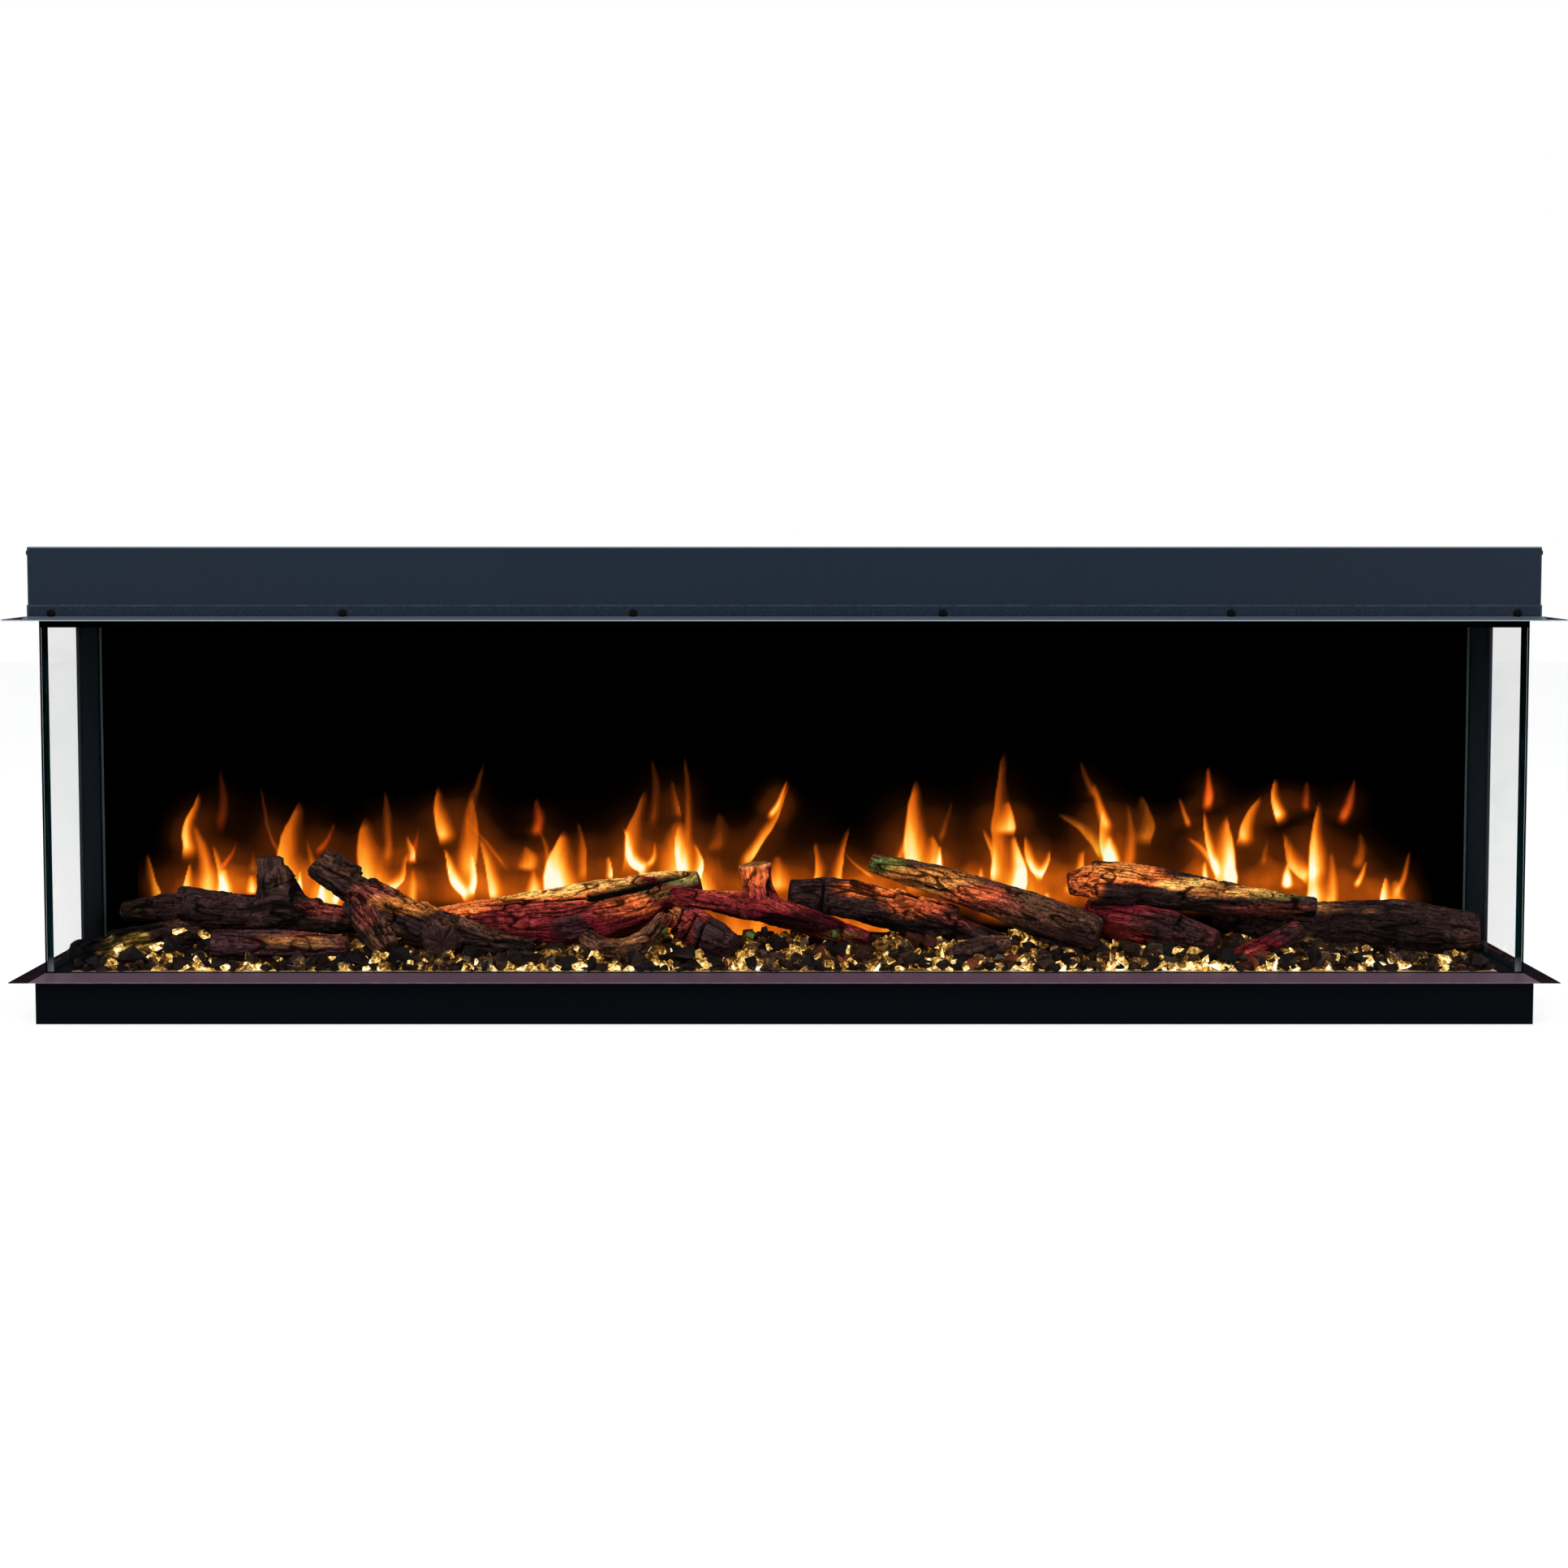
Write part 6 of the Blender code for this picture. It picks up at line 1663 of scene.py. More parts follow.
    def _scatter(self) -> None:
        """Adds a jittered carpet of crystals and coals, two deep in places."""
        for row in range(int((self.rear - self.front) / self.pitch) + 1):
            for column in range(int(2 * self.half / self.pitch) + 1):
                x = -self.half + (column + self.draw.uniform(-0.3, 1.3)) * self.pitch
                depth = self.front + (row + self.draw.uniform(0.1, 0.9)) * self.pitch
                size = self.least + self.spread * self.draw.random() ** 1.5
                sort, hot = self.draw.random(), self.draw.random()
                if abs(x) > self.half - size:
                    continue
                if x < -self.left_end:
                    sort = hot = 0.0
                depth = max(depth, self.front + size * (0.4 + 0.2 * hot))
                tier = self.draw.random() * (0.007 if row < 2 else 0.004)
                height = self._height(x, depth) + size * 0.3 + tier
                cluster = math.sin(x * 31) * math.sin(x * 13 + depth * 40)
                if sort < 0.40 + 0.12 * cluster:
                    kind = Kind.RUST if hot > 0.95 else Kind.COAL
                    self._add(kind, x, depth, height, size * 1.25, size, hot * 0.7)
                elif sort < 0.62:
                    self._add(Kind.SMOKY, x, depth, height, size * 1.1, size, 0.30 * hot)
                else:
                    warm = 0.24 + 0.52 * hot if row < 3 else 0.18 + 0.54 * hot**1.5
                    self._add(Kind.AMBER, x, depth, height, size, size * 0.9, warm)

    def _front_row(self) -> None:
        """Adds the row that lies against the rim, dark lumps and glowing ones in turn."""
        x = -self.half
        while x < self.half:
            size = self.draw.uniform(*self.front_sizes)
            x += size * self.draw.uniform(1.0, 1.7)
            dark = self.draw.random() < 0.52 or x < -self.left_end
            height = self._height(x, self.front) + size * self.draw.uniform(0.15, 0.6)
            glow = 0.2 * self.draw.random() if dark else self.draw.uniform(0.38, 0.7)
            if abs(x) < self.half - size:
                kind = Kind.COAL if dark else Kind.AMBER
                self._add(kind, x, self.front + size * 0.55, height, size * 1.1, size * 0.85, glow)

    def _lumps(self) -> None:
        """Adds the lumps that stand out in the photograph."""
        for lump in LUMPS:
            middle = VIEW.at(lump.u, lump.v, lump.depth)
            scale = (VIEW.distance + lump.depth) / VIEW.focal / 2
            wide, high = lump.wide * scale, lump.high * scale
            kind = Kind.SMOKY if lump.kind is Kind.COAL and lump.glow >= 0.6 else lump.kind
            height = max(middle.z, self._height(middle.x, lump.depth) - 0.001 + high * 0.7)
            self._add(kind, middle.x, lump.depth, height, wide * 1.3, high * 1.3, lump.glow * 0.5)

    def _merge(self, kind: Kind, finish: Finish) -> None:
        """Makes one piece from a batch of shards, each with its own shape, turn and glow.

        Args:
            kind: what they are made of.
            finish: their finish.
        """
        points, faces, glows = [], [], []
        count = 0
        for x, depth, height, wide, high, glow in self.batches[kind]:
            corners, sides = self.draw.choice(self.shapes)
            spin = Matrix.Rotation(self.draw.uniform(0, math.tau), 3, "Z")
            tip = Matrix.Rotation(self.draw.uniform(-0.9, 0.9), 3, "X")
            placed = corners @ np.array(spin @ tip).T
            placed = placed * (wide, wide * self.draw.uniform(0.75, 1.0), high)
            placed[:, 1] = np.maximum(placed[:, 1] + FACE_Y + depth, FACE_Y + self.front - self.near)
            placed[:, 0] = np.clip(placed[:, 0] + x, -self.half - self.overhang, self.half + self.overhang)
            placed[:, 2] = np.maximum(placed[:, 2] + height, RIM_TOP + self.clear)
            points.append(placed)
            for side in sides:
                a, b, c = (placed[k] for k in side[:3])
                normal = np.cross(b - a, c - a)
                # Downward facets and low ones near the rim take more glow, as light from below; on coal it is
                # painted as a warmer tone.
                facing = normal[2] / (np.linalg.norm(normal) + 1e-12)
                low_down = max(0.0, 1 - (a[2] - RIM_TOP) / 0.011) if depth < 0.075 else 0.0
                glows.append(glow * (1 - 0.25 * facing) + self.draw.uniform(-0.26, 0.2) + 0.22 * low_down)
                faces.append([count + k for k in side])
            count += len(placed)
        mesh = Workshop.piece(f"ember_{kind.value}", np.concatenate(points), faces, finish).data
        Workshop.store(mesh, "glow", np.array(glows[: len(mesh.polygons)]), "FACE")


# Logs


@dataclass(frozen=True)
class Daub:
    """A patch of paint on a log: its middle and half sizes in the photograph's pixels, and if it is sawn."""

    u: float
    v: float
    wide: float
    high: float
    tint: Tint
    weight: float = 0.9
    sawn: bool = False

    def reach(self, pixels: Array) -> Array:
        """How far pixels lie from its middle, with 1 at its outline; the squares of both sides summed."""
        return ((pixels[:, 0] - self.u) / self.wide) ** 2 + ((pixels[:, 1] - self.v) / self.high) ** 2


@dataclass(frozen=True)
class Cleft:
    """A split in a log, sunk and painted dark as shade: its ends and half width in pixels, and its depth."""

    from_u: float
    from_v: float
    to_u: float
    to_v: float
    half: float
    depth: float


@dataclass(frozen=True)
class LogShape:
    """One log, its lengths in millimetres.

    A stem's points are (x, depth, height, radius). A root is two such points, the ends of a swelling where a
    branch leaves. A bend is (x, half width, rise). Daubs and clefts are rows of their classes' values.
    """

    node: str
    finish: Finish
    ground: Tint
    rough: float
    stems: tuple
    daubs: tuple = ()
    clefts: tuple = ()
    roots: tuple = ()
    bends: tuple = ()

    def painted(self) -> list[Daub]:
        """Its daubs."""
        return [Daub(*row) for row in self.daubs]

    def split(self) -> list[Cleft]:
        """Its clefts."""
        return [Cleft(*row) for row in self.clefts]


# The bright daubs are partly painted light, the fire's and the coloured downlights' glow on the logs; the
# darkest are partly painted shade.
LOGS = (
    LogShape(
        "log_corner_left", CHARRED, CHAR, 1.0,
        stems=((
            (-881, 68, 70, 18), (-841, 111, 75, 18), (-793, 154, 82, 17), (-740, 182, 83, 13),
            (-696, 197, 79, 8),
        ),),
        daubs=(
            (152, 1158, 36, 9, OLIVE, 0.7), (168, 1156, 16, 8, GOLD, 0.8), (138, 1174, 24, 8, GOLD, 0.75),
            (178, 1166, 22, 8, GOLD, 0.6), (96, 1172, 40, 40, SOOT, 1.0), (132, 1147, 40, 9, SOOT, 0.98),
            (175, 1140, 40, 9, SOOT, 0.9), (225, 1136, 34, 8, BROWN, 0.4),
        ),
        roots=(
            ((-868, 78, 71, 20), (-893, 86, 73, 14)), ((-880, 70, 64, 20), (-845, 104, 73, 21)),
            ((-850, 100, 78, 20), (-760, 172, 84, 17)),
        ),
    ),
    LogShape(
        "log_rear_left", CHARRED, CHAR, 1.0,
        stems=(((-868, 209, 106, 14), (-819, 209, 110, 18), (-766, 205, 110, 19), (-718, 193, 112, 20)),),
        daubs=((160, 1122, 20, 8, OLIVE, 0.2), (200, 1135, 40, 10, PURPLE, 0.4),
            (155, 1120, 26, 18, SOOT, 0.6)),
    ),
    LogShape(
        "log_split_small", CHARRED, PURPLE, 0.55,
        stems=(((-718, 84, 83, 19), (-639, 84, 82, 19), (-551, 86, 79, 14)),),
        daubs=(
            (372, 1162, 52, 7, TAWNY, 0.75), (350, 1157, 50, 5, ORANGE, 0.3), (385, 1151, 40, 4, ROSE, 0.5),
            (317, 1160, 5, 5, RED, 0.6), (422, 1162, 10, 12, ROSE, 0.3),
        ),
        clefts=((262, 1178, 410, 1180, 2.0, 0.002),),
    ),
    LogShape(
        "log_stub_left", CHARRED, CHAR, 1.0,
        stems=(
            (
                (-775, 158, 114, 18), (-709, 154, 110, 20), (-647, 152, 110, 23), (-586, 154, 104, 19),
                (-542, 156, 100, 14),
            ),
            ((-654, 152, 116, 18), (-663, 152, 146, 14), (-662, 152, 176, 14)),
        ),
        daubs=(
            (262, 1114, 30, 14, PURPLE, 0.3), (402, 1118, 34, 11, RED, 0.45), (408, 1122, 30, 12, ROSE, 0.5),
            (345, 1075, 12, 22, BROWN, 0.3), (331, 1068, 12, 17, BROWN, 0.7, True),
            (300, 1108, 60, 5, PURPLE, 0.5), (232, 1114, 8, 18, SOOT, 0.6, True),
        ),
        roots=(
            ((-650, 152, 106, 44), (-660, 152, 152, 15)), ((-643, 152, 112, 36), (-657, 152, 170, 16)),
            ((-662, 152, 140, 15), (-660, 150, 184, 15)), ((-780, 158, 118, 20), (-690, 156, 116, 21)),
            ((-690, 156, 116, 21), (-600, 154, 110, 21)),
        ),
        bends=((-776, 34, 6),),
    ),
    LogShape(
        "log_fork", CHARRED, CHAR, 1.25,
        stems=(
            (
                (-608, 170, 169, 15), (-562, 156, 148, 18), (-517, 141, 124, 22), (-461, 123, 102, 25),
                (-391, 109, 86, 19), (-319, 96, 76, 11),
            ),
            ((-548, 139, 128, 17), (-521, 111, 102, 17), (-500, 88, 78, 13)),
            ((-445, 119, 97, 19), (-431, 82, 86, 22)),
        ),
        daubs=(
            (458, 1102, 30, 14, ROSE, 0.8), (470, 1112, 22, 9, ORANGE, 0.5), (450, 1128, 14, 18, ROSE, 0.6),
            (395, 1060, 18, 10, BROWN, 0.6), (425, 1078, 24, 9, BROWN, 0.5),
            (545, 1160, 25, 20, BROWN, 0.3, True), (510, 1114, 40, 14, ORANGE, 0.75),
            (575, 1138, 44, 9, BROWN, 0.8), (620, 1152, 30, 7, BROWN, 0.6),
            (475, 1158, 20, 28, BROWN, 0.95), (640, 1172, 24, 12, SOOT, 0.6),
        ),
        roots=(
            ((-540, 148, 138, 23), (-490, 128, 112, 26)), ((-470, 124, 104, 28), (-430, 112, 92, 22)),
            ((-598, 172, 178, 15), (-556, 158, 154, 19)),
        ),
    ),
    LogShape(
        "log_split_large", GLOWING, CRIMSON, 0.7,
        stems=((
            (-484, 170, 99, 14), (-384, 166, 102, 28), (-290, 162, 106, 36), (-206, 166, 119, 35),
            (-145, 170, 141, 24), (-110, 170, 151, 13),
        ),),
        daubs=(
            (640, 1103, 120, 12, CORAL, 0.95), (560, 1118, 50, 13, CORAL, 0.95),
            (620, 1100, 110, 8, PEACH, 0.6), (520, 1112, 22, 6, GREEN, 0.9),
            (730, 1088, 60, 9, PEACH, 0.8), (790, 1072, 50, 8, PEACH, 0.98),
            (838, 1084, 26, 8, GREEN, 0.6), (846, 1078, 16, 8, GOLD, 0.4), (812, 1102, 40, 9, TAWNY, 0.9),
            (768, 1116, 44, 14, CORAL, 0.75), (690, 1122, 90, 10, RED, 0.7),
            (620, 1140, 80, 12, RED, 0.35), (700, 1142, 26, 16, PURPLE, 0.95), (600, 1154, 70, 7, SOOT, 0.6),
        ),
        clefts=(
            (728, 1105, 800, 1089, 6.0, 0.009), (795, 1089, 846, 1076, 4.0, 0.01),
            (600, 1116, 728, 1107, 1.6, 0.003),
        ),
    ),
    LogShape(
        "log_hook", CHARRED, BROWN, 0.7,
        stems=((
            (-251, 100, 90, 10), (-236, 86, 81, 12), (-208, 84, 78, 12), (-178, 92, 90, 11),
            (-152, 111, 114, 10),
        ),),
        daubs=((735, 1152, 14, 8, CHAR, 0.6), (775, 1158, 34, 7, TAWNY, 0.6), (826, 1128, 16, 14, RED, 0.4)),
    ),
    LogShape(
        "log_root", GLOWING, PURPLE, 1.4,
        stems=(((-141, 135, 114, 14), (-118, 111, 100, 23), (-88, 92, 90, 25), (-65, 78, 82, 15)),),
        daubs=(
            (838, 1145, 20, 26, RED, 0.75), (862, 1128, 22, 10, RED, 0.7), (826, 1122, 16, 12, ORANGE, 0.5),
            (880, 1150, 14, 24, CHAR, 0.8),
        ),
        clefts=(
            (842, 1120, 826, 1160, 2.0, 0.004), (858, 1128, 838, 1166, 2.0, 0.005),
            (868, 1140, 856, 1172, 2.0, 0.005),
        ),
    ),
    LogShape(
        "log_red_stub", GLOWING, CRIMSON, 0.9,
        stems=(
            ((-145, 135, 138, 10), (-86, 135, 130, 14), (-27, 135, 122, 18), (34, 131, 104, 18),
            (106, 123, 84, 11)),
            ((-32, 135, 128, 16), (-36, 135, 152, 15), (-40, 135, 176, 17)),
        ),
        daubs=(
            (880, 1112, 60, 14, RED, 0.45), (925, 1062, 24, 10, PEACH, 0.8), (928, 1080, 22, 14, CORAL, 0.72),
            (905, 1098, 50, 6, CORAL, 0.3), (975, 1112, 40, 12, RED, 0.7), (870, 1126, 70, 7, SOOT, 0.8),
            (985, 1138, 60, 14, SOOT, 0.85), (1035, 1152, 26, 7, OLIVE, 0.6),
        ),
        roots=(((-30, 135, 116, 31), (-34, 135, 148, 17)), ((-34, 135, 140, 17), (-38, 135, 178, 19))),
    ),
    LogShape(
        "log_centre_dark", CHARRED, CHAR, 1.0,
        stems=(((7, 174, 127, 21), (87, 178, 118, 27), (159, 174, 105, 24), (233, 166, 87, 15),
            (282, 158, 75, 9)),),
        daubs=(
            (1128, 1110, 42, 20, CORAL, 0.7), (1150, 1118, 26, 10, RED, 0.5),
            (1075, 1096, 52, 11, CORAL, 0.85), (1000, 1106, 40, 16, CHAR, 0.8),
            (1105, 1142, 70, 9, SOOT, 0.7), (1185, 1132, 34, 12, ROSE, 0.6),
        ),
        clefts=((1015, 1090, 1012, 1122, 2.0, 0.004),),
        roots=(((142, 176, 110, 27), (222, 168, 96, 22)),),
        bends=((60, 90, 8),),
    ),
    LogShape(
        "log_chunk_front", CHARRED, BROWN, 1.2,
        stems=(((204, 80, 71, 9), (242, 82, 78, 17), (284, 84, 86, 9)),),
        daubs=((1205, 1175, 40, 18, CHAR, 0.95),),
    ),
    LogShape(
        "log_moss_long", MOSSY, BROWN, 0.8,
        stems=((
            (115, 197, 172, 14), (192, 174, 153, 18), (263, 150, 132, 22), (333, 127, 109, 26),
            (396, 107, 90, 25),
        ),),
        daubs=(
            (1145, 1086, 56, 14, ORANGE, 0.9), (1158, 1094, 50, 10, PEACH, 0.3),
            (1092, 1066, 26, 10, MOSS, 0.9), (1104, 1072, 16, 6, GOLD, 0.5),
            (1086, 1062, 12, 5, GREEN, 0.5), (1130, 1078, 44, 8, ORANGE, 0.9),
            (1205, 1104, 44, 14, RED, 0.8), (1200, 1102, 38, 9, CORAL, 0.55),
            (1240, 1118, 26, 14, ROSE, 0.6), (1215, 1136, 26, 9, ORANGE, 0.8),
            (1310, 1145, 66, 26, CHAR, 0.7), (1295, 1132, 50, 12, BROWN, 0.7),
            (1290, 1160, 60, 8, PURPLE, 0.8),
        ),
        clefts=((1250, 1146, 1345, 1172, 1.8, 0.004), (1140, 1092, 1165, 1098, 1.5, 0.002)),
    ),
    LogShape(
        "log_burl", GLOWING, CRIMSON, 0.9,
        stems=(((393, 178, 111, 16), (439, 158, 101, 27), (495, 135, 93, 26), (546, 107, 81, 15)),),
        daubs=(
            (1384, 1156, 32, 26, RED, 0.7), (1345, 1128, 20, 10, CHAR, 0.3), (1420, 1138, 36, 14, CHAR, 0.8),
            (1460, 1158, 50, 34, CHAR, 0.95), (1440, 1172, 20, 10, BROWN, 0.5),
        ),
    ),
    LogShape(
        "log_red_branch", GLOWING, CRIMSON, 0.8,
        stems=(((564, 76, 69, 8), (608, 96, 81, 10), (656, 123, 95, 10)),),
        daubs=((1572, 1180, 28, 7, OLIVE, 0.7), (1540, 1172, 18, 12, RED, 0.5),
            (1612, 1152, 46, 16, CHAR, 0.95)),
    ),
    LogShape(
        "log_right_large", CHARRED, CHAR, 1.0,
        stems=((
            (564, 209, 110, 14), (652, 193, 105, 25), (740, 166, 99, 34), (828, 135, 93, 35),
            (884, 121, 94, 24),
        ),),
        daubs=(
            (1600, 1118, 54, 11, TAWNY, 0.95), (1700, 1150, 90, 24, SOOT, 0.4),
            (1560, 1114, 30, 6, ORANGE, 0.4), (1688, 1124, 10, 3, ORANGE, 0.3),
            (1812, 1158, 18, 12, BROWN, 0.4), (1606, 1165, 20, 16, OLIVE, 0.6),
            (1760, 1178, 40, 6, OLIVE, 0.35),
        ),
        bends=((655, 105, -16),),
    ),
    LogShape(
        "log_mossy_right", MOSSY, CHAR, 1.0,
        stems=((
            (368, 170, 147, 16), (419, 166, 151, 26), (493, 156, 142, 26), (589, 141, 131, 19),
            (678, 129, 123, 11),
        ),),
        daubs=(
            (1378, 1077, 56, 12, CORAL, 1.0), (1390, 1080, 40, 6, PEACH, 0.2),
            (1372, 1070, 44, 5, ORANGE, 0.8), (1425, 1086, 26, 7, CORAL, 0.85),
            (1336, 1095, 24, 16, CORAL, 0.75), (1465, 1091, 38, 8, PEACH, 0.8),
            (1500, 1099, 40, 8, ORANGE, 0.6), (1560, 1100, 60, 7, PEACH, 0.6),
            (1585, 1104, 50, 6, MOSS, 0.55), (1400, 1105, 34, 12, CHAR, 0.9), (1560, 1120, 60, 7, ROSE, 0.6),
        ),
        roots=(((398, 168, 148, 29), (452, 162, 143, 28)),),
    ),
)


@dataclass(frozen=True)
class Stem:
    """Where a log's points lie on its nearest stem.

    That is how far along it in millimetres, the direction out in the stem's own frame, the stem's direction
    and radius, how far out in radii, and how near an end in millimetres.
    """

    along: Array
    side: Array
    ahead: Array
    radius: Array
    out: Array
    end: Array


@dataclass(frozen=True)
class Surface:
    """A log's points before they are carved, their normals, and the pixels that show them."""

    number: int
    points: Array
    normals: Array
    pixels: Array


@dataclass
class LogSet:
    """The cast logs: each CAD log remeshed finely, then carved with bark, cracks and end grain."""

    voxel: float = 0.0016
    rounds: int = 6
    swell: float = 0.0012
    root_sides: int = 20
    bark_unit: float = 4.0
    fresh_wood: Colour = (0.033, 0.017, 0.020)

    def build(self) -> None:
        """Carves and paints every log."""
        for number, shape in enumerate(LOGS):
            self._log(number, shape)

    @staticmethod
    def _places(points: tuple) -> Array:
        """Places in metres from points of (x, depth, height, radius) in millimetres."""
        return np.array([(x * MM, FACE_Y + depth * MM, height * MM) for x, depth, height, _ in points])

    def _fine_mesh(self, shape: LogShape) -> Mesh:
        """Makes the CAD log's mesh anew with its branches' swollen roots, remeshed and smoothed.

        Args:
            shape: the log.

        Returns:
            The mesh.
        """
        solid = bmesh.new()
        solid.from_mesh(NODES[shape.node].data)
        for root in shape.roots:
            start, end = (Vector(place) for place in self._places(root))
            way = end - start
            turn = way.to_track_quat("Z", "Y").to_matrix().to_4x4()
            bmesh.ops.create_cone(
                solid, cap_ends=True, segments=self.root_sides,
                radius1=root[0][3] * MM, radius2=root[1][3] * MM,
                depth=way.length, matrix=Matrix.Translation(start + way / 2) @ turn,
            )
        rough = stand("carving", Workshop.mesh("carving", solid))
        remesh = rough.modifiers.new("remesh", "REMESH")
        remesh.mode, remesh.voxel_size = "VOXEL", self.voxel
        smooth = rough.modifiers.new("smooth", "SMOOTH")
        smooth.factor, smooth.iterations = 0.5, self.rounds
        ready = rough.evaluated_get(bpy.context.evaluated_depsgraph_get())
        mesh = bpy.data.meshes.new_from_object(ready)
        bpy.data.objects.remove(rough)
        mesh.materials.clear()
        return mesh

    def _follow(self, points: Array, stems: tuple) -> Stem:
        """Finds where points lie on the nearest stem.

        Args:
            points: places in metres.
            stems: the log's stems in millimetres.

        Returns:
            Each point's place.
        """
        count = len(points)
        along, radius, out = np.zeros(count), np.ones(count), np.full(count, 1e9)
        ahead, side, end = np.zeros((count, 3)), np.zeros((count, 2)), np.full(count, 1e9)
        for number, stem in enumerate(stems):
            marks = self._places(stem)
            girths = np.array([girth for *_, girth in stem], float)
            lengths = np.linalg.norm(np.diff(marks, axis=0), axis=1)
            for k, length in enumerate(lengths):
                way = (marks[k + 1] - marks[k]) / length
                share = np.clip((points - marks[k]) @ way / length, 0, 1)
                gap = points - marks[k] - np.outer(share * length, way)
                girth = girths[k] * (1 - share) + girths[k + 1] * share
                far = np.linalg.norm(gap, axis=1) / (girth * MM)
                near = far < out
                across = np.cross(way, (0.0, 0.35, 1.0))
                across /= np.linalg.norm(across)
                up = np.cross(across, way)
                place = lengths[:k].sum() + share * length
                along[near] = place[near] / MM + 300 * number
                radius[near], ahead[near] = girth[near], way
                out[near] = far[near]
                round_about = np.stack([gap @ across, gap @ up], axis=1)
                size = np.linalg.norm(round_about, axis=1, keepdims=True) + 1e-9
                side[near] = (round_about / size)[near]
                end[near] = np.minimum(place, lengths.sum() - place)[near] / MM
        return Stem(along, side, ahead, radius, out, end)

    def _log(self, number: int, shape: LogShape) -> None:
        """Makes one log from its CAD solid.

        Args:
            number: the log's number, which sets its grain.
            shape: the log.
        """
        mesh = self._fine_mesh(shape)
        points, normals = np.zeros(len(mesh.vertices) * 3), np.zeros(len(mesh.vertices) * 3)
        mesh.vertices.foreach_get("co", points)
        mesh.vertices.foreach_get("normal", normals)
        points, normals = points.reshape(-1, 3), normals.reshape(-1, 3)
        for middle, half, rise in shape.bends:
            points[:, 2] += rise * MM * np.exp(-(((points[:, 0] / MM - middle) / half) ** 2))
        log = Surface(number, points, normals, VIEW.seen(points))
        stem = self._follow(points, shape.stems)
        cut = ease(0.55, 0.85, np.abs((normals * stem.ahead).sum(axis=1))) * ease(16, 6, stem.end)
        for daub in shape.painted():
            if daub.sawn:
                cut = np.maximum(
                    cut, ease(1.05, 0.85, daub.reach(log.pixels)) * ease(0.0, -0.3, normals[:, 1]))
        bark, crack, crest = self._bark(log, stem)
        rings = np.sin(stem.out * stem.radius * 2.4 + 2 * Grain.field(points / 0.006, 60 + number))
        relief = shape.rough * bark * (1 - cut) + cut * (0.22 * rings)
        sunk, dark = self._clefts(log, shape.split())
        moved = points + normals * (relief * MM + self.swell - sunk)[:, None]
        mesh.vertices.foreach_set("co", moved.ravel())
        mesh.update()
        mesh.shade_smooth()
        spread = stem.side * (stem.radius / self.bark_unit)[:, None]
        place = np.concatenate([spread, (stem.along / self.bark_unit)[:, None]], axis=1) + number * 17.0
        Workshop.store(mesh, "bark_place", place)
        # Crest nearness and crack depth, which paint highlights and shade on the bark.
        wear = (crest - 2 * crack) * (1 - cut)
        Workshop.store(mesh, "paint", self._paint(shape, log, wear, cut, dark))
        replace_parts(Workshop.adopt(shape.node + "_bark", mesh, shape.finish), shape.node)

    @staticmethod
    def _bark(log: Surface, stem: Stem) -> tuple[Array, ...]:
        """Works out the bark's relief.

        Args:
            log: the log's points.
            stem: where they lie on its stems.

        Returns:
            The bark's height in millimetres, how deep in a crack each point lies, and how near a crest.
        """
        points, seed = log.points, 100 * log.number
        warp = Grain.field(points / 0.021, seed + 1)[:, None] * 1.1

        def stretched(width: float, length: float, own: int) -> Array:
            """A field in cells that wide around the log and that long along it, in millimetres."""
            rim = stem.side * (stem.radius / width)[:, None] + warp * 0.35
            return Grain.field(
                np.concatenate([rim, (stem.along / length)[:, None] + warp * 0.3], axis=1), seed + own)

        lumps = Grain.layers(points / 0.026, seed + 2, 2) * 1.9
        ridge = 1 - 2 * np.abs(stretched(3.4, 46, 3))
        strand = 1 - 2 * np.abs(stretched(1.9, 30, 4))
        fissure = ease(0.17, 0.02, np.abs(stretched(5.2, 62, 5)))
        split = ease(0.10, 0.02, np.abs(stretched(10.0, 90, 6)))
        across = ease(0.06, 0.01, np.abs(stretched(7.0, 11.0, 7))) * 0.35
        across *= ease(0.0, 0.3, Grain.field(points / 0.019, seed + 8))
        grit = Grain.layers(points / 0.0046, seed + 9, 2) * 0.5
        crack = np.clip(fissure * 0.8 + split + across, 0, 1)
        height = lumps + 0.85 * ridge + 0.45 * strand + 1.2 * grit - 1.9 * crack - 1.2 * split
        crest = ease(0.45, 0.95, 0.6 * ridge + 0.4 * strand + 0.3 * grit) * (1 - crack)
        return height, crack, crest

    @staticmethod
    def _clefts(log: Surface, clefts: list[Cleft]) -> tuple[Array, Array]:
        """Works out the splits and the painted shade in them.

        Args:
            log: the log's points.
            clefts: its splits.

        Returns:
            How deep each point is sunk in metres, and how much painted shade it takes.
        """
        sunk, dark = np.zeros(len(log.points)), np.zeros(len(log.points))
        facing = ease(0.15, -0.25, log.normals[:, 1])
        for cleft in clefts:
            start = np.array([cleft.from_u, cleft.from_v])
            way = np.array([cleft.to_u, cleft.to_v]) - start
            share = np.clip((log.pixels - start) @ way / np.linalg.norm(way) ** 2, 0, 1)
            gap = np.linalg.norm(log.pixels - start - share[:, None] * way, axis=1)
            inside = ease(cleft.half * 1.5, cleft.half * 0.5, gap) * facing
            sunk = np.maximum(sunk, inside * cleft.depth)
            dark = np.maximum(dark, inside)
        return sunk, dark

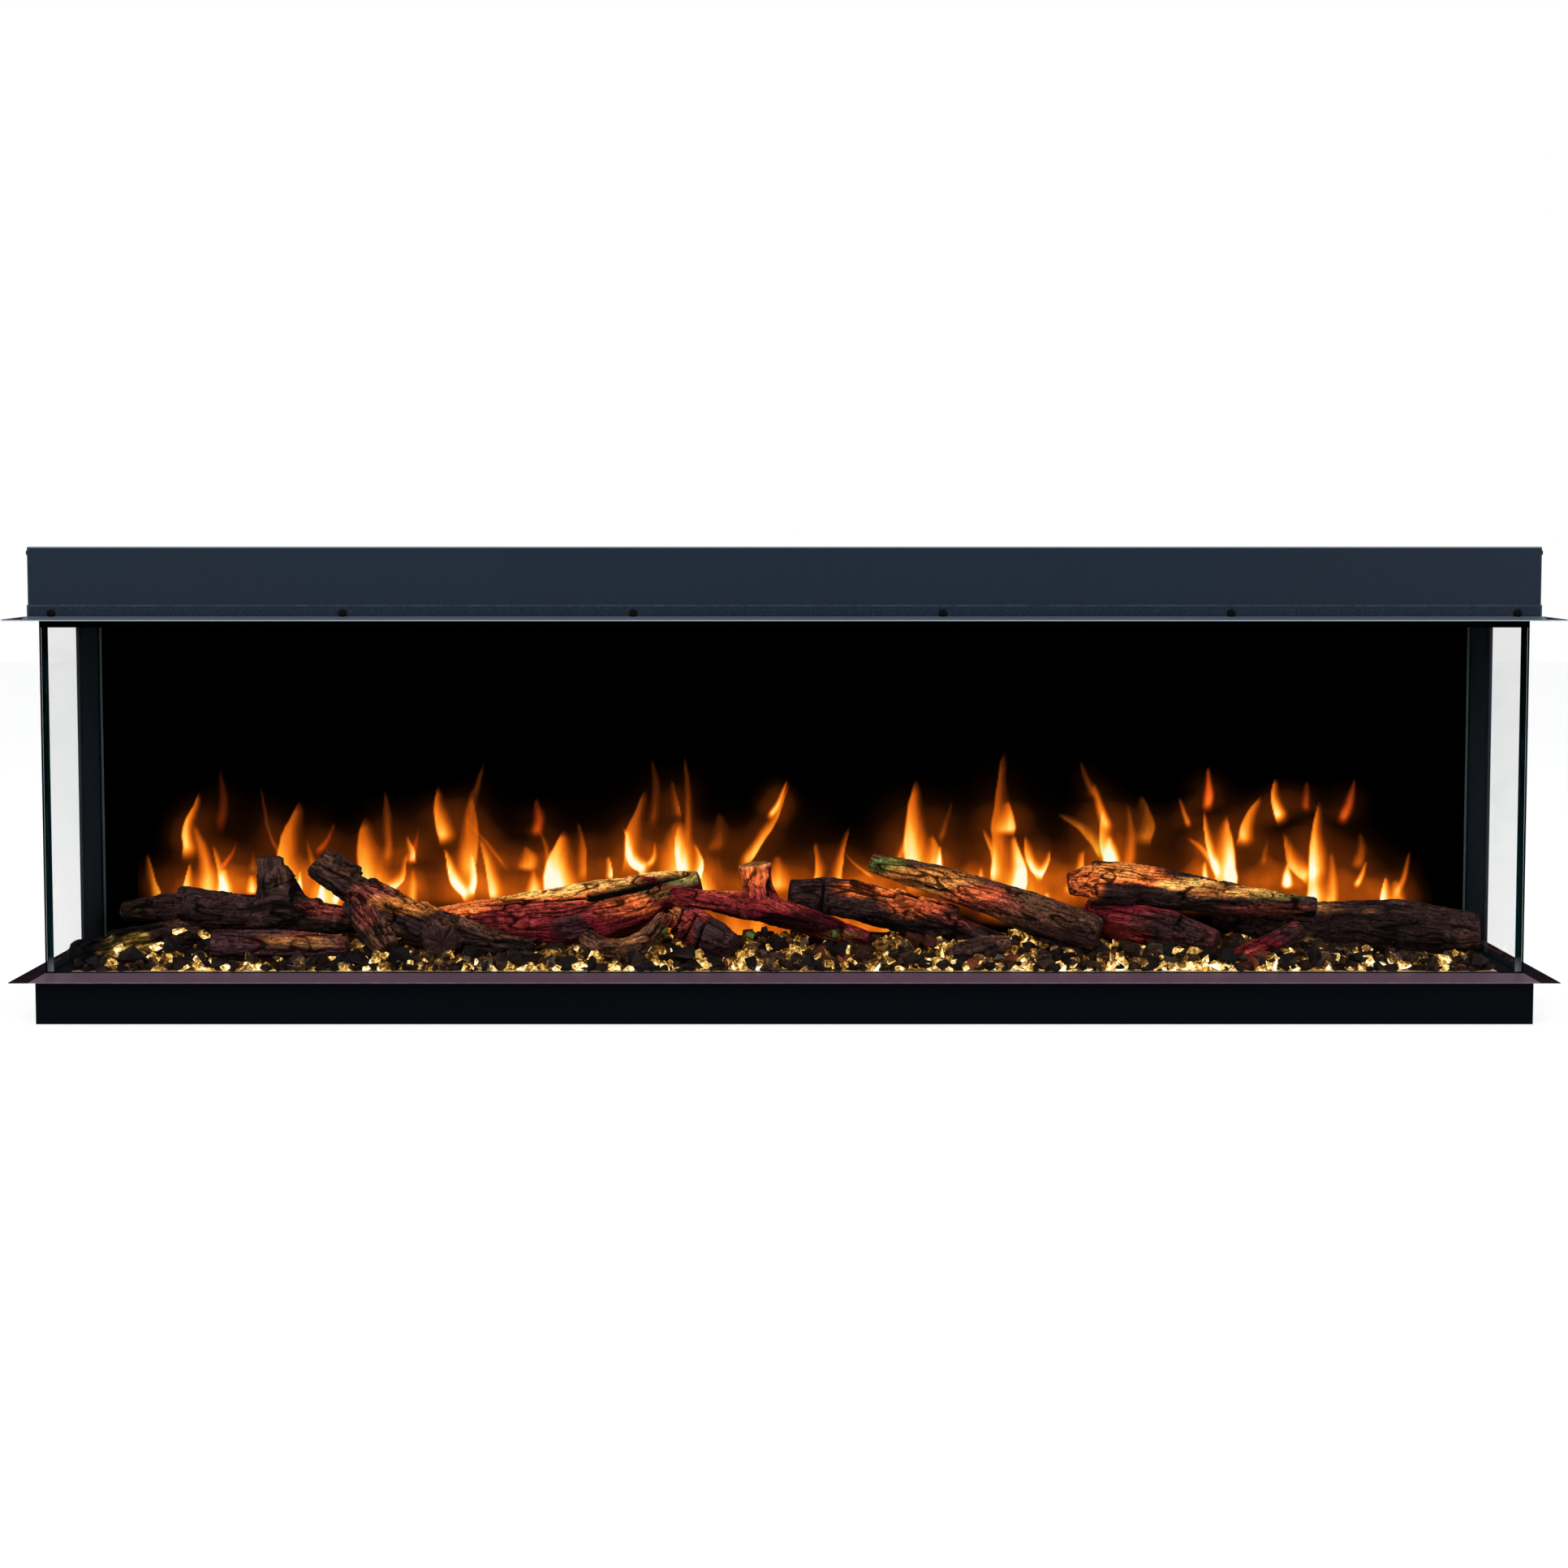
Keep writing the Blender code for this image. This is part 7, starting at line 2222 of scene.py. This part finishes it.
    def _paint(
        self, shape: LogShape, log: Surface, wear: Array, cut: Array, dark: Array
    ) -> Array:
        """Works out the paint: the log's ground, its daubs, its cut ends, and painted light and shade.

        Args:
            shape: the log.
            log: its points.
            wear: how near a crest each point lies (painted highlight), below 0 how deep in a crack (painted
                shade).
            cut: 1 where the wood is cut.
            dark: 1 in a cleft, where shade is painted.

        Returns:
            Each point's colour, with a fourth channel of 1.
        """
        colour = np.tile(np.array(shape.ground.value), (len(log.points), 1))
        patchy = Grain.layers(log.points / 0.011, 500 + log.number, 3)
        for daub in shape.painted():
            share = np.clip(
                ease(1.5, 0.35, daub.reach(log.pixels) + 0.5 * patchy) * daub.weight, 0, 1)[:, None]
            colour = colour * (1 - share) + np.array(daub.tint.value) * share
        fresh = np.clip(colour.max(axis=1, keepdims=True) / 0.02, 0, 1)
        sawn = np.array(self.fresh_wood) * fresh + colour * 0.4
        colour = colour * (1 - cut[:, None]) + sawn * cut[:, None]
        # Painted light and shade: undersides darker, tops lighter, cracks darker and crests lighter; patchy is
        # random tone.
        below, above = ease(0.1, -0.7, log.normals[:, 2]), ease(0.0, 0.9, log.normals[:, 2])
        crest, crack = np.clip(wear, 0, 1), np.clip(-wear / 2, 0, 1)
        shade = 1.12 * (1 - 0.92 * crack) * (1 + 0.40 * patchy) * (1 - 0.45 * below) * (1 + 0.30 * above)
        colour = colour * (shade * (1 + 0.7 * crest))[:, None] + 0.012 * crest[:, None]
        # Painted shade in the clefts.
        colour = np.clip(colour * (1 - dark[:, None]) + np.array(SOOT.value) * dark[:, None], 0, 1)
        return np.c_[colour, np.ones(len(colour))]


# Studio


@dataclass
class Studio:
    """Floor, light and camera; a lamp is its place, the length of its sides and its power in watts."""

    daylight: float = 0.42
    key: tuple[Triple, float, float] = ((-1.6, -2.9, 2.1), 2.4, 46.0)
    fill: tuple[Triple, float, float] = ((2.3, -2.4, 1.3), 2.2, 26.0)
    top: tuple[Triple, float, float] = ((0.2, 0.6, 2.6), 2.2, 20.0)
    floor_half: float = 9.0
    floor_lift: float = 0.80
    aim: Triple = (0, 0, 0.25)

    def build(self) -> None:
        """Sets up everything around the object."""
        self._world()
        self._floor()
        for name, lamp in (("key_lamp", self.key), ("fill_lamp", self.fill), ("top_lamp", self.top)):
            self._lamp(name, *lamp)
        VIEW.place_camera()

    @staticmethod
    def _finish(wire: Wiring, kind: str, others: object, shown: object) -> None:
        """Shows one shader to the camera, also off gloss and through glass, and another to the rest.

        Args:
            wire: the wiring.
            kind: the output node's type.
            others: the shader for all other rays.
            shown: the shader that is seen.
        """
        rays = wire.put("LightPath").outputs
        either = wire.calc("MAXIMUM", rays["Is Camera Ray"], rays["Is Glossy Ray"])
        seen = wire.calc("MAXIMUM", either, rays["Is Transmission Ray"])
        wire.put(kind, {"Surface": wire.put("MixShader", {0: seen, 1: others, 2: shown}).outputs[0]})

    def _world(self) -> None:
        """Makes the world: white where it is seen, and plain daylight for the rest."""
        world = bpy.data.worlds.new("studio_world")
        wire = Wiring.fresh(world)
        white = wire.put("Background", {"Color": (1.0, 1.0, 1.0), "Strength": 1.0}).outputs[0]
        light = wire.put("Background", {"Color": (0.95, 0.98, 1.0), "Strength": self.daylight}).outputs[0]
        self._finish(wire, "OutputWorld", light, white)
        bpy.context.scene.world = world

    def _floor(self) -> None:
        """Makes a pale floor that keeps a soft shadow."""
        mesh = bpy.data.meshes.new("studio_floor")
        half = self.floor_half
        mesh.from_pydata(
            [(-half, -half, 0), (half, -half, 0), (half, half, 0), (-half, half, 0)], [], [(0, 1, 2, 3)])
        look = bpy.data.materials.new("pale_floor")
        wire = Wiring.fresh(look)
        tone = wire.blend(wire.noise(wire.place(), 3.0), (0.78, 0.78, 0.78), (0.84, 0.84, 0.84))
        matt = wire.put("BsdfDiffuse", {"Color": tone}).outputs[0]
        dim = wire.put("BsdfDiffuse", {"Color": wire.blend(0.5, tone, UNLIT)}).outputs[0]
        lift = wire.put("Emission", {"Color": (1.0, 1.0, 1.0), "Strength": self.floor_lift}).outputs[0]
        self._finish(wire, "OutputMaterial", matt, wire.put("AddShader", {0: dim, 1: lift}).outputs[0])
        mesh.materials.append(look)
        stand("studio_floor", mesh)

    def _lamp(self, name: str, place: Triple, size: float, power: float) -> None:
        """Makes a soft square lamp that faces the firebox.

        Args:
            name: the lamp's name.
            place: where it stands.
            size: the length of its sides.
            power: its power.
        """
        data = bpy.data.lights.new(name, "AREA")
        data.size, data.energy = size, power
        lamp = stand(name, data)
        lamp.location = place
        lamp.rotation_euler = (Vector(self.aim) - Vector(place)).to_track_quat("-Z", "Y").to_euler()


def main() -> None:
    """Builds every sub-assembly in order."""
    logging.basicConfig(level=logging.INFO, format="%(name)s: %(message)s")
    bpy.context.scene.view_settings.view_transform = "Standard"
    for part in (Studio(), Cabinet(), Skirt(), Fixings(), Panes(), FlameScreen(), EmberBed(), LogSet()):
        part.build()
        LOG.info("%s done", type(part).__name__)


if __name__ == "__main__":
    main()
